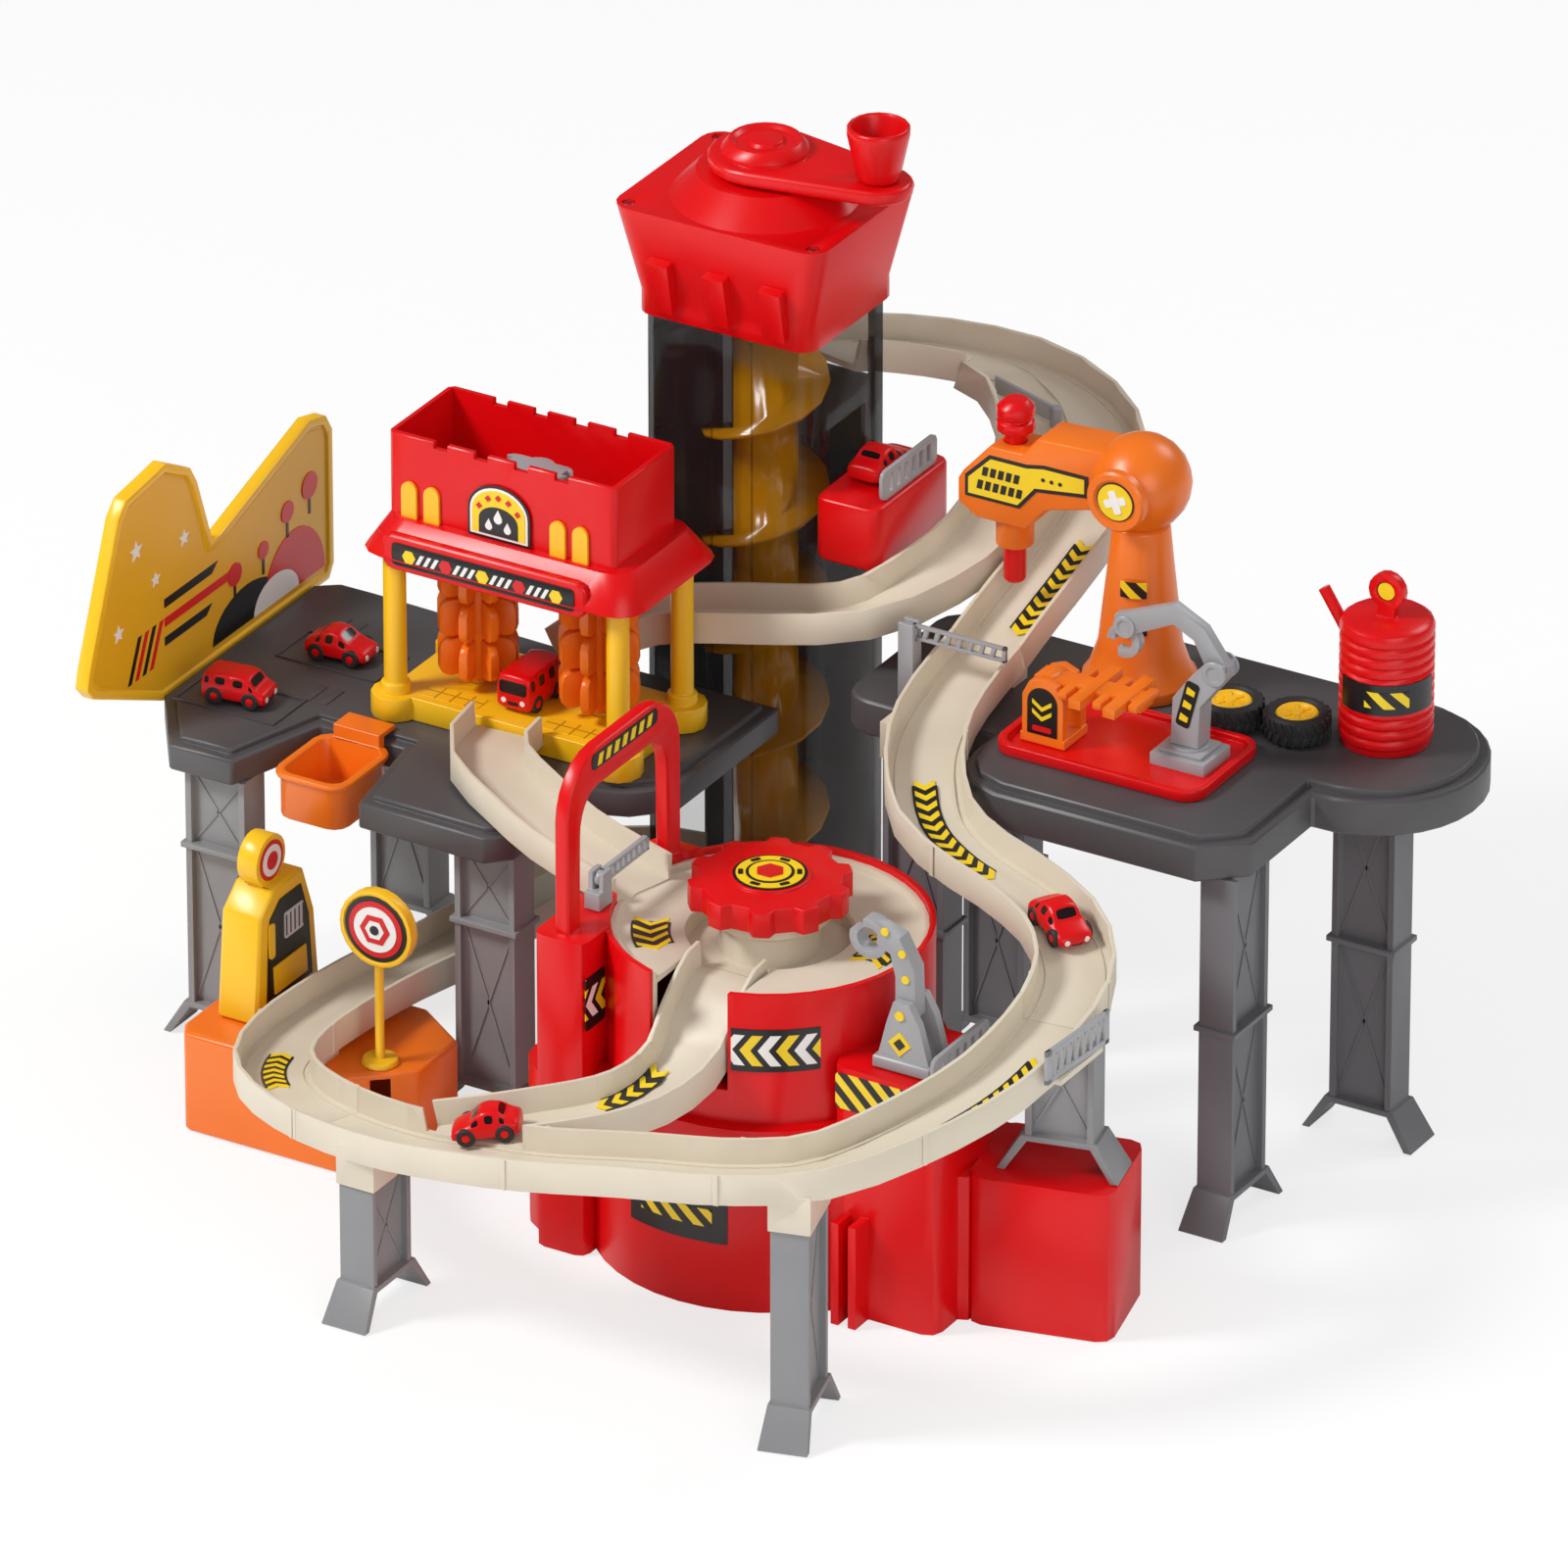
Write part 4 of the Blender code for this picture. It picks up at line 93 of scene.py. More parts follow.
def add(tree: bpy.types.NodeTree, kind: str, settings: dict[Any, Any] | None = None,
        links: dict[Any, bpy.types.NodeSocket] | None = None) -> bpy.types.Node:
    """Adds a node with its settings and links.

    Args:
        tree: Node tree that takes it.
        kind: Blender's name of the node type.
        settings: Attributes of the node, or values of its input sockets.
        links: Input socket to the output socket that feeds it.

    Returns:
        The node.
    """
    node = tree.nodes.new(kind)
    for key, value in (settings or {}).items():
        if isinstance(key, str) and hasattr(node, key):
            setattr(node, key, value)
        else:
            node.inputs[key].default_value = value
    for key, source in (links or {}).items():
        tree.links.new(source, node.inputs[key])
    return node


def fresh_material(name: str) -> tuple[bpy.types.Material, bpy.types.NodeTree, bpy.types.Node]:
    """Makes an empty node material with its Principled shader.

    Args:
        name: Name of the material.

    Returns:
        The material, its tree and the shader node.
    """
    material = bpy.data.materials.new(name)
    material.use_nodes = True
    tree = material.node_tree
    tree.nodes.clear()
    shader = add(tree, "ShaderNodeBsdfPrincipled")
    add(tree, "ShaderNodeOutputMaterial", links={"Surface": shader.outputs["BSDF"]})
    return material, tree, shader


def surface(tree: bpy.types.NodeTree, shader: bpy.types.Node, grain: Any, height: Any, roughness: float,
            strength: float, depth_mm: float) -> None:
    """Gives a shader its varied gloss and its fine bump.

    Args:
        tree: The material's tree.
        shader: Its Principled shader.
        grain: Socket that varies the gloss.
        height: Socket with the fine texture's height.
        roughness: Middle roughness.
        strength: Strength of the bump.
        depth_mm: Depth of the texture.
    """
    gloss = add(tree, "ShaderNodeMapRange", {"To Min": roughness - 0.04, "To Max": roughness + 0.06},
                {"Value": grain})
    bump = add(tree, "ShaderNodeBump", {"Strength": strength, "Distance": depth_mm * MM}, {"Height": height})
    tree.links.new(gloss.outputs["Result"], shader.inputs["Roughness"])
    tree.links.new(bump.outputs["Normal"], shader.inputs["Normal"])


def seen_directly(tree: bpy.types.NodeTree) -> tuple[bpy.types.NodeSocket, Any]:
    """Tells apart what the camera sees, also through clear plastic.

    Args:
        tree: Node tree that takes the nodes.

    Returns:
        The 0 to 1 mask, and the outputs of the Light Path node.
    """
    rays = add(tree, "ShaderNodeLightPath").outputs
    seen = add(tree, "ShaderNodeMath", {"operation": "MAXIMUM"},
               {0: rays["Is Camera Ray"], 1: rays["Is Transmission Ray"]})
    return seen.outputs[0], rays


@dataclass(frozen=True)
class Plastic:
    """A moulded plastic: one body colour with a faint flow shade and the mould's fine texture.

    The last field holds the X below which and the Y above which a wall is tinted darker, and its opacity; this
    darker tint is painted shade of the dark inside seen through the far walls.
    """

    name: str
    colour: str
    flow: str
    roughness: float
    grain_mm: float = 0.9
    grain_depth: float = 0.05
    ior: float = 1.53
    coat: float = 0.0
    alpha: float = 1.0
    shine: float = 0.5
    painted_shade_walls: tuple[float, float, float] | None = None

    def make(self) -> bpy.types.Material:
        """Returns the material, made once."""
        found = bpy.data.materials.get(self.name)
        if found:
            return found
        material, tree, shader = fresh_material(self.name)
        place = add(tree, "ShaderNodeTexCoord").outputs["Object"]
        flow = add(tree, "ShaderNodeTexNoise", {"Scale": 1 / (FLOW_SIZE * MM), "Detail": 2.0}, {"Vector": place})
        tint = add(tree, "ShaderNodeMix", {"data_type": "RGBA", 6: linear(self.colour), 7: linear(self.flow)},
                   {0: flow.outputs["Fac"]})
        grain = add(tree, "ShaderNodeTexNoise", {"Scale": 1 / (self.grain_mm * MM), "Detail": 3.0},
                    {"Vector": place})
        tree.links.new(tint.outputs[2], shader.inputs["Base Color"])
        surface(tree, shader, flow.outputs["Fac"], grain.outputs["Fac"], self.roughness, 0.35, self.grain_depth)
        for socket, value in (("IOR", self.ior), ("Coat Weight", self.coat), ("Coat Roughness", COAT_ROUGHNESS),
                              ("Specular IOR Level", self.shine), ("Alpha", self.alpha)):
            shader.inputs[socket].default_value = value
        # painted shade: the far walls of the clear shell are made more opaque to stand for its dark inside
        if self.painted_shade_walls:
            self.paint_inner_shade(tree, shader, place)
        return material

    def paint_inner_shade(self, tree: bpy.types.NodeTree, shader: bpy.types.Node, place: bpy.types.NodeSocket) -> None:
        """Makes the left and the back wall more opaque than the others, as painted shade of the tower's dark
        inside seen through them.

        Args:
            tree: The material's tree.
            shader: Its Principled shader.
            place: Socket with the Object coordinates.
        """
        left, back, dark = self.painted_shade_walls
        sides = add(tree, "ShaderNodeSeparateXYZ", links={0: place}).outputs
        at_left = add(tree, "ShaderNodeMath", {"operation": "LESS_THAN", 1: left * MM}, {0: sides["X"]})
        at_back = add(tree, "ShaderNodeMath", {"operation": "GREATER_THAN", 1: back * MM}, {0: sides["Y"]})
        either = add(tree, "ShaderNodeMath", {"operation": "MAXIMUM"},
                     {0: at_left.outputs[0], 1: at_back.outputs[0]})
        veil = add(tree, "ShaderNodeMapRange", {"To Min": self.alpha, "To Max": dark},
                   {"Value": either.outputs[0]})
        tree.links.new(veil.outputs["Result"], shader.inputs["Alpha"])


class Pattern(Enum):
    """Generic printed patterns, drawn on a piece's own UV map in millimetres."""

    CHEVRONS = "chevrons"
    STRIPES = "stripes"
    TILES = "tiles"
    DASHES = "dashes"


@dataclass(frozen=True)
class Print:
    """Printed vinyl film: flat inks under a satin clear layer, with a faint edge to the ink."""

    name: str
    pattern: Pattern
    base: str
    mark: str
    pitch: float
    share: float = 0.5
    half_width: float = 100.0
    lean: float = 1.0
    second: str = ""
    roughness: float = 0.32

    def _masks(self, tree: bpy.types.NodeTree) -> tuple[bpy.types.NodeSocket, bpy.types.NodeSocket]:
        """Returns the 0 to 1 mask of the marks, and of every other mark."""
        place = add(tree, "ShaderNodeUVMap", {"uv_map": "UVMap"}).outputs["UV"]
        split = add(tree, "ShaderNodeSeparateXYZ", links={"Vector": place}).outputs

        def maths(operation: str, first: Any, second: Any = 0.0) -> bpy.types.NodeSocket:
            """Returns the result of one Math node on two numbers or sockets."""
            values = {i: v for i, v in enumerate((first, second)) if isinstance(v, (int, float))}
            links = {i: v for i, v in enumerate((first, second)) if not isinstance(v, (int, float))}
            return add(tree, "ShaderNodeMath", {"operation": operation, **values}, links).outputs[0]

        along, across = split["X"], split["Y"]
        side = maths("ABSOLUTE", across)
        inside = maths("LESS_THAN", side, self.half_width)
        if self.pattern is Pattern.CHEVRONS:
            place_on = maths("ADD", along, maths("MULTIPLY", side, self.lean))
        elif self.pattern is Pattern.STRIPES:
            place_on = maths("ADD", along, maths("MULTIPLY", across, self.lean))
        else:
            place_on = along
        wave = maths("FRACT", maths("DIVIDE", place_on, self.pitch))
        ink = maths("LESS_THAN", wave, self.share)
        if self.pattern is Pattern.TILES:
            rows = maths("FRACT", maths("DIVIDE", across, self.pitch))
            ink = maths("MAXIMUM", ink, maths("LESS_THAN", rows, self.share))
        other = maths("LESS_THAN", maths("FRACT", maths("DIVIDE", place_on, 2 * self.pitch)), 0.5)
        return maths("MULTIPLY", ink, inside), other

    def make(self) -> bpy.types.Material:
        """Returns the material, made once."""
        found = bpy.data.materials.get(self.name)
        if found:
            return found
        material, tree, shader = fresh_material(self.name)
        place = add(tree, "ShaderNodeTexCoord").outputs["Object"]
        film = add(tree, "ShaderNodeTexNoise", {"Scale": 1 / (FILM_GRAIN * MM), "Detail": 2.0},
                   {"Vector": place})
        mask, other = self._masks(tree)
        marks = add(tree, "ShaderNodeMix", {"data_type": "RGBA", 6: linear(self.mark),
                                            7: linear(self.second or self.mark)}, {0: other})
        inks = add(tree, "ShaderNodeMix", {"data_type": "RGBA", 6: linear(self.base)},
                   {0: mask, 7: marks.outputs[2]})
        tree.links.new(inks.outputs[2], shader.inputs["Base Color"])
        surface(tree, shader, film.outputs["Fac"], film.outputs["Fac"], self.roughness, 0.2, 0.03)
        return material


# ABS moulded in a polished tool: deep colour and sharp highlights
RED = Plastic("red_abs", "#e2060d", "#d4040a", 0.30, 1.1, 0.04, 1.54, 0.0, 1.0, 0.34)
YELLOW = Plastic("yellow_abs", "#f8c51c", "#f2ba12", 0.32, 1.0, 0.05, 1.54)
ORANGE = Plastic("orange_abs", "#f47b18", "#ea6d10", 0.32, 1.0, 0.05, 1.54)
# Polypropylene from a spark-eroded tool: satin and even
CREAM = Plastic("cream_polypropylene", "#ddd3c0", "#d4c9b4", 0.42, 0.8, 0.05, 1.49)
GREY = Plastic("grey_polypropylene", "#8e8e90", "#828385", 0.40, 0.8, 0.06, 1.49)
LIGHT_GREY = Plastic("light_grey_abs", "#a6a7aa", "#999a9d", 0.36, 0.8, 0.05, 1.54)
DARK_GREY = Plastic("dark_grey_pillar_polypropylene", "#757578", "#6a6a6e", 0.42, 0.8, 0.06, 1.49)
# High-impact polystyrene with a fine leather-like texture: soft broad highlights
DECK = Plastic("deck_polystyrene", "#504e50", "#474547", 0.44, 0.7, 0.09, 1.59)
# Clear polystyrene tinted in the mass: what lies behind shows darkened; the far walls are tinted darker still as
# painted shade of the tower's dark inside
SMOKE = Plastic("smoked_clear_polystyrene", "#1c1517", "#161113", 0.07, 3.0, 0.01, 1.59, 0.0, 0.24,
                painted_shade_walls=(-46.3, 38.3, 0.91))
AMBER = Plastic("amber_polystyrene", "#ffb400", "#ee9c00", 0.16, 3.0, 0.01, 1.59, 0.3)
# Soft PVC for the tyres: matt, with a coarse grain
RUBBER = Plastic("black_pvc", "#2b2b2c", "#232324", 0.62, 0.6, 0.10, 1.52)
# Black trim and the dark ink of the stickers
BLACK = Plastic("black_abs", "#171718", "#111112", 0.30, 0.9, 0.04, 1.54)
# Vinyl films cut from the sheet: flat colour under a satin clear layer
WHITE = Plastic("white_film", "#f2f1ee", "#eae9e5", 0.34, 1.2, 0.02, 1.5)
YELLOW_FILM = Plastic("yellow_film", "#f6d51f", "#f0cd18", 0.34, 1.2, 0.02, 1.5)
RED_FILM = Plastic("red_film", "#d8161b", "#cf1318", 0.34, 1.2, 0.02, 1.5)
AMBER_FILM = Plastic("amber_film", "#eab41c", "#e3aa14", 0.36, 1.2, 0.02, 1.5)
# Pad-printed windows of the cars: dark and glossier than the body
WINDOW = Plastic("car_window_paint", "#1d0d10", "#16090c", 0.16, 1.2, 0.02, 1.5, 0.4)
# Painted screws: the cap's red, a little darker
SCREW = Plastic("zinc_screw_paint", "#b3141a", "#a01016", 0.30, 0.8, 0.05, 1.54)

# Screen-printed films: two or three inks on one base, measured in millimetres on the piece's UV map
HAZARD = Print("hazard_stripe_film", Pattern.STRIPES, "#f6d51f", "#161617", 12.0, 0.5)
LANE_BLACK = Print("lane_strip_film", Pattern.DASHES, "#1a1a1b", "#242425", 6.0, 0.5)
DRUM_CHEVRONS = Print("drum_chevron_film", Pattern.CHEVRONS, "#161617", "#f4f2ee", 9.2, 0.6, 8.6, -0.75,
                      "#f6d51f")
TILE = Print("tile_film", Pattern.TILES, "#f3bd1a", "#b98208", 9.0, 0.12)
DISPLAY = Print("display_film", Pattern.DASHES, "#c9ccd0", "#24262a", 4.0, 0.35, 6.0)


# Mesh helpers; places are in millimetres in the CAD's own frame

def at(x: float = 0.0, y: float = 0.0, z: float = 0.0) -> Matrix:
    """Returns a move to a place."""
    return Matrix.Translation((x, y, z))


def turned(degrees: float, axis: str = "Z") -> Matrix:
    """Returns a turn about one axis."""
    return Matrix.Rotation(math.radians(degrees), 4, axis)


def settle(name: str, data: bpy.types.Mesh, body: str) -> bpy.types.Object:
    """Turns mesh data into a shaded piece that rides on a body.

    Args:
        name: Name of the piece.
        data: Its mesh, in metres.
        body: CAD body it rides on.

    Returns:
        The piece.
    """
    data.shade_smooth()
    data.set_sharp_from_angle(angle=math.radians(SHARP_EDGE))
    piece = bpy.data.objects.new(name, data)
    bpy.context.scene.collection.objects.link(piece)
    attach(piece, body)
    LOG.info("%s on %s, %d faces", name, body, len(data.polygons))
    return piece


def finish_mesh(name: str, mesh: bmesh.types.BMesh, finishes: Sequence[Any], body: str) -> bpy.types.Object:
    """Turns a bmesh in millimetres into a piece that rides on a body.

    Args:
        name: Name of the piece.
        mesh: The shape, freed here.
        finishes: Finishes of its material slots.
        body: CAD body it rides on.

    Returns:
        The piece.
    """
    data = plain_data(name, mesh)
    for finish in finishes:
        data.materials.append(finish.make())
    return settle(name, data, body)


def plain_data(name: str, mesh: bmesh.types.BMesh) -> bpy.types.Mesh:
    """Turns a bmesh in millimetres, freed here, into mesh data in metres.

    Args:
        name: Name of the data.
        mesh: The shape.

    Returns:
        The data.
    """
    bmesh.ops.recalc_face_normals(mesh, faces=mesh.faces)
    mesh.transform(Matrix.Scale(MM, 4))
    data = bpy.data.meshes.new(name)
    mesh.to_mesh(data)
    mesh.free()
    return data


def facing(origin: Point, normal: Point) -> Matrix:
    """Returns the placing matrix of an upright flat piece whose front looks along the normal.

    Args:
        origin: Where the piece's own origin goes.
        normal: Direction its front faces.
    """
    front = Vector(normal).normalized()
    right = Vector((0, 0, 1)).cross(front).normalized()
    top = front.cross(right)
    turn = Matrix((right, top, front)).transposed().to_4x4()
    return Matrix.Translation(Vector(origin)) @ turn


def rounded(width: float, height: float, radius: float) -> Outline:
    """Returns a centred rectangle with round corners.

    Args:
        width: Size in X.
        height: Size in Y.
        radius: Corner radius.
    """
    points = []
    for corner, (sx, sy) in enumerate(((1, 1), (-1, 1), (-1, -1), (1, -1))):
        for step in range(CORNER_STEPS + 1):
            angle = math.pi / 2 * (corner + step / CORNER_STEPS)
            points.append((sx * (width / 2 - radius) + radius * math.cos(angle),
                           sy * (height / 2 - radius) + radius * math.sin(angle)))
    return points


def disc(radius: float, steps: int = 48, centre: Point = (0, 0)) -> Outline:
    """Returns a circle as an outline."""
    return [(centre[0] + radius * math.cos(2 * math.pi * i / steps),
             centre[1] + radius * math.sin(2 * math.pi * i / steps)) for i in range(steps)]


def arc(wide: float, tall: float, angles: range, centre: Point = (0, 0)) -> Outline:
    """Returns points on an ellipse.

    Args:
        wide: Its half width.
        tall: Its half height.
        angles: The points' angles in degrees.
        centre: Its middle.
    """
    return [(centre[0] + wide * math.cos(math.radians(angle)), centre[1] + tall * math.sin(math.radians(angle)))
            for angle in angles]


def add_plate(mesh: bmesh.types.BMesh, outline: Outline, place: Matrix, low: float, high: float,
              slot: int = 0) -> None:
    """Adds a flat plate, with its outline in millimetres as its UV map.

    Args:
        mesh: Takes the plate.
        outline: Its edge, in its own X and Y.
        place: Where it stands.
        low: Height of its back.
        high: Height of its front.
        slot: Material slot.
    """
    layer = mesh.loops.layers.uv.get("UVMap") or mesh.loops.layers.uv.new("UVMap")
    back = [mesh.verts.new(place @ Vector((x, y, low))) for x, y in outline]
    front = [mesh.verts.new(place @ Vector((x, y, high))) for x, y in outline]
    count = len(outline)
    faces = [(mesh.faces.new(front), list(range(count))),
             (mesh.faces.new(back[::-1]), list(range(count))[::-1])]
    for i in range(count):
        j = (i + 1) % count
        faces.append((mesh.faces.new((back[i], back[j], front[j], front[i])), [i, j, j, i]))
    for face, indexes in faces:
        face.material_index = slot
        for loop, index in zip(face.loops, indexes):
            loop[layer].uv = outline[index]


def layered(name: str, place: Matrix, layers: Sequence[Layer], finishes: Sequence[Any],
            body: str) -> bpy.types.Object:
    """Makes one piece of thin plates that lie on each other.

    Args:
        name: Name of the piece.
        place: Where they stand.
        layers: Outline, back, front and material slot of each plate.
        finishes: Finishes of its material slots.
        body: CAD body it rides on.

    Returns:
        The piece.
    """
    mesh = bmesh.new()
    for outline, low, high, slot in layers:
        add_plate(mesh, outline, place, low, high, slot)
    return finish_mesh(name, mesh, finishes, body)


def plate(name: str, outline: Outline, place: Matrix, finish: Any, body: str,
          thickness: float = PRINT_FILM, edge: float = 0.0) -> bpy.types.Object:
    """Makes one flat plate as a piece.

    Args:
        name: Name of the piece.
        outline: Its edge in its own X and Y.
        place: Where it stands.
        finish: Its finish.
        body: CAD body it rides on.
        thickness: How far its front stands off its place.
        edge: Rounding of its front edge.

    Returns:
        The piece.
    """
    mesh = bmesh.new()
    add_plate(mesh, outline, place, SUNK, thickness)
    if edge:
        rim = [e for e in mesh.edges if any(len(f.verts) > 4 or len(outline) == 4 for f in e.link_faces)]
        bmesh.ops.bevel(mesh, geom=rim, offset=edge, segments=2, affect="EDGES", profile=0.5)
    return finish_mesh(name, mesh, [finish], body)


def curved_patch(name: str, centre: Point, radius: float, angles: tuple[float, float],
                 heights: tuple[float, float], finish: Any, body: str,
                 film: float = PRINT_FILM) -> bpy.types.Object:
    """Makes a sticker that lies on an upright cylinder.

    Args:
        name: Name of the piece.
        centre: Axis of the cylinder.
        radius: Radius of the cylinder.
        angles: First and last angle in degrees.
        heights: Lowest and highest Z.
        finish: Its finish.
        body: CAD body it rides on.
        film: Thickness of the film.

    Returns:
        The piece.
    """
    mesh = bmesh.new()
    layer = mesh.loops.layers.uv.new("UVMap")
    steps = max(4, round(abs(angles[1] - angles[0]) / 3))
    low, high = heights
    middle = (low + high) / 2
    rings = []
    for i in range(steps + 1):
        angle = math.radians(angles[0] + (angles[1] - angles[0]) * i / steps)
        along = radius * math.radians((angles[1] - angles[0]) * (i / steps - 0.5))
        ring = []
        for out, z in ((SUNK, low), (film, low), (film, high), (SUNK, high)):
            point = Vector((centre[0] + (radius + out) * math.cos(angle),
                            centre[1] + (radius + out) * math.sin(angle), z))
            ring.append((mesh.verts.new(point), (along, z - middle)))
        rings.append(ring)
    groups = [[a[k], b[k], b[(k + 1) % 4], a[(k + 1) % 4]] for a, b in zip(rings, rings[1:]) for k in range(4)]
    for group in groups + [rings[0], rings[-1][::-1]]:
        face = mesh.faces.new([corner[0] for corner in group])
        for loop, corner in zip(face.loops, group):
            loop[layer].uv = corner[1]
    return finish_mesh(name, mesh, [finish], body)


def add_lathe(mesh: bmesh.types.BMesh, profile: Outline, place: Matrix, steps: int = 40,
              slot: int = 0) -> None:
    """Adds a turned shape about its own Z.

    Args:
        mesh: Takes the shape.
        profile: (radius, height) pairs from the axis at one end to the axis at the other.
        place: Where it stands.
        steps: Facets around.
        slot: Material slot.
    """
    rings = []
    for radius, height in profile:
        if radius < 1e-6:
            rings.append([mesh.verts.new(place @ Vector((0, 0, height)))])
        else:
            rings.append([mesh.verts.new(place @ Vector((radius * math.cos(2 * math.pi * i / steps),
                                                         radius * math.sin(2 * math.pi * i / steps), height)))
                          for i in range(steps)])
    for first, second in zip(rings, rings[1:]):
        for i in range(steps):
            j = (i + 1) % steps
            corners = [first[i % len(first)], first[j % len(first)], second[j % len(second)],
                       second[i % len(second)]]
            corners = [c for k, c in enumerate(corners) if c not in corners[:k]]
            if len(corners) > 2:
                mesh.faces.new(corners).material_index = slot


def add_block(mesh: bmesh.types.BMesh, size: Point, place: Matrix, edge: float = 0.0) -> None:
    """Adds a block with rounded edges, centred on its place.

    Args:
        mesh: Takes the block.
        size: Its three sizes.
        place: Where it stands.
        edge: Rounding of its edges.
    """
    made = bmesh.ops.create_cube(mesh, size=1.0, matrix=place @ Matrix.Diagonal((*size, 1)))
    if edge:
        edges = {e for v in made["verts"] for e in v.link_edges}
        bmesh.ops.bevel(mesh, geom=list(edges), offset=edge, segments=2, affect="EDGES", profile=0.5, material=0)


def add_slotted(mesh: bmesh.types.BMesh, size: Point, place: Matrix, slots: int) -> None:
    """Adds a flat rail with leaning slots, standing on its place and centred along X.

    Args:
        mesh: Takes the rail.
        size: Length, thickness and height.
        place: Middle of its lower edge.
        slots: Number of slots.
    """
    length, thick, height = size
    bar = height * 0.19
    for low in (bar / 2, height - bar / 2):
        add_block(mesh, (length, thick, bar), place @ at(0, 0, low), bar * 0.2)
    for side in (-1, 1):
        add_block(mesh, (bar * 1.3, thick, height),
                  place @ at(side * (length - bar * 1.3) / 2, 0, height / 2), bar * 0.2)
    pitch = (length - bar * 1.3) / slots
    turn = turned(SLAT_LEAN, "Y")
    for index in range(1, slots):
        add_block(mesh, (pitch * 0.36, thick * 0.8, height - bar),
                  place @ at((index - slots / 2) * pitch, 0, height / 2) @ turn, bar * 0.12)


def smooth_route(points: Sequence[Point], step: float = 4.0) -> list[Vector]:
    """Returns even steps along a smooth curve through the route's points.

    Args:
        points: Places on the route.
        step: Length of one step.
    """
    knots = [Vector(p) for p in points]
    knots = [knots[0] * 2 - knots[1]] + knots + [knots[-1] * 2 - knots[-2]]
    dense = []
    for i in range(1, len(knots) - 2):
        before, first, second, after = knots[i - 1:i + 3]
        for k in range(ROUTE_SAMPLES):
            t = k / ROUTE_SAMPLES
            dense.append(0.5 * ((2 * first) + (second - before) * t
                                + (2 * before - 5 * first + 4 * second - after) * t * t
                                + (3 * first - before - 3 * second + after) * t ** 3))
    dense.append(knots[-2])
    route = [dense[0]]
    for point in dense[1:]:
        if (point - route[-1]).length >= step:
            route.append(point)
    return route


# Geometry Nodes

class NodeTool:
    """A Geometry Nodes tree with named inputs, and what turns its result into a plain piece."""

    def __init__(self, name: str, kinds: dict[str, str]) -> None:
        """Makes the tree with its sockets.

        Args:
            name: Name of the tree.
            kinds: Name and socket kind of each input beside the geometry.
        """
        self.tree = bpy.data.node_groups.new(name, "GeometryNodeTree")
        sockets = self.tree.interface
        sockets.new_socket("Geometry", in_out="INPUT", socket_type="NodeSocketGeometry")
        self.inputs = {key: sockets.new_socket(key, in_out="INPUT", socket_type="NodeSocket" + kind).identifier
                       for key, kind in kinds.items()}
        sockets.new_socket("Geometry", in_out="OUTPUT", socket_type="NodeSocketGeometry")
        self.given = add(self.tree, "NodeGroupInput").outputs

    def bake(self, name: str, data: bpy.types.ID, values: dict[str, Any], body: str) -> bpy.types.Object:
        """Runs the tree on a mesh or curve and keeps the result as a plain piece.

        Args:
            name: Name of the piece.
            data: Points or path that the tree works on.
            values: Value of each named input; None leaves it empty.
            body: CAD body the piece rides on.

        Returns:
            The piece.
        """
        holder = bpy.data.objects.new(name + "_holder", data)
        bpy.context.scene.collection.objects.link(holder)
        modifier = holder.modifiers.new("nodes", "NODES")
        modifier.node_group = self.tree
        for key, value in values.items():
            if value is not None:
                modifier[self.inputs[key]] = value
        graph = bpy.context.evaluated_depsgraph_get()
        result = bpy.data.meshes.new_from_object(holder.evaluated_get(graph))
        bpy.data.objects.remove(holder)
        result.name = name
        if "UVMap" not in result.uv_layers:
            result.uv_layers.new(name="UVMap")
        return settle(name, result, body)


class RepeatOnPoints(NodeTool):
    """Puts one small shape on every point, with the point's own turn and stretch, as one mesh."""

    def __init__(self) -> None:
        """Builds the tree once."""
        super().__init__("repeat_on_points", {"Piece": "Object", "Finish": "Material"})
        tree, given = self.tree, self.given
        shape = add(tree, "GeometryNodeObjectInfo", links={"Object": given["Piece"]})
        turn = add(tree, "GeometryNodeInputNamedAttribute", {"data_type": "FLOAT_VECTOR", "Name": "turn"})
        stretch = add(tree, "GeometryNodeInputNamedAttribute", {"data_type": "FLOAT_VECTOR", "Name": "stretch"})
        turning = add(tree, "FunctionNodeEulerToRotation", links={0: turn.outputs["Attribute"]})
        placed = add(tree, "GeometryNodeInstanceOnPoints",
                     links={"Points": given["Geometry"], "Instance": shape.outputs["Geometry"],
                            "Rotation": turning.outputs[0], "Scale": stretch.outputs["Attribute"]})
        real = add(tree, "GeometryNodeRealizeInstances", links={"Geometry": placed.outputs["Instances"]})
        done = add(tree, "GeometryNodeSetMaterial",
                   links={"Geometry": real.outputs["Geometry"], "Material": given["Finish"]})
        add(tree, "NodeGroupOutput", links={0: done.outputs["Geometry"]})

    def build(self, name: str, shape: bmesh.types.BMesh, places: Sequence[tuple[Matrix, Point]], finish: Any,
              body: str) -> bpy.types.Object:
        """Repeats a shape and returns the plain piece.

        Args:
            name: Name of the piece.
            shape: The small shape, in millimetres about its own origin, freed here.
            places: For each repeat its placing matrix in millimetres, and its stretch.
            finish: Finish of the whole piece.
            body: CAD body it rides on.

        Returns:
            The piece.
        """
        source = bpy.data.objects.new(name + "_shape", plain_data(name + "_shape", shape))
        points = bpy.data.meshes.new(name + "_points")
        points.from_pydata([place.translation * MM for place, _ in places], [], [])
        turns = points.attributes.new("turn", "FLOAT_VECTOR", "POINT")
        stretches = points.attributes.new("stretch", "FLOAT_VECTOR", "POINT")
        for index, (place, stretch) in enumerate(places):
            turns.data[index].vector = Vector(place.to_euler())
            stretches.data[index].vector = Vector(stretch)
        return self.bake(name, points, {"Piece": source, "Finish": finish.make()}, body)


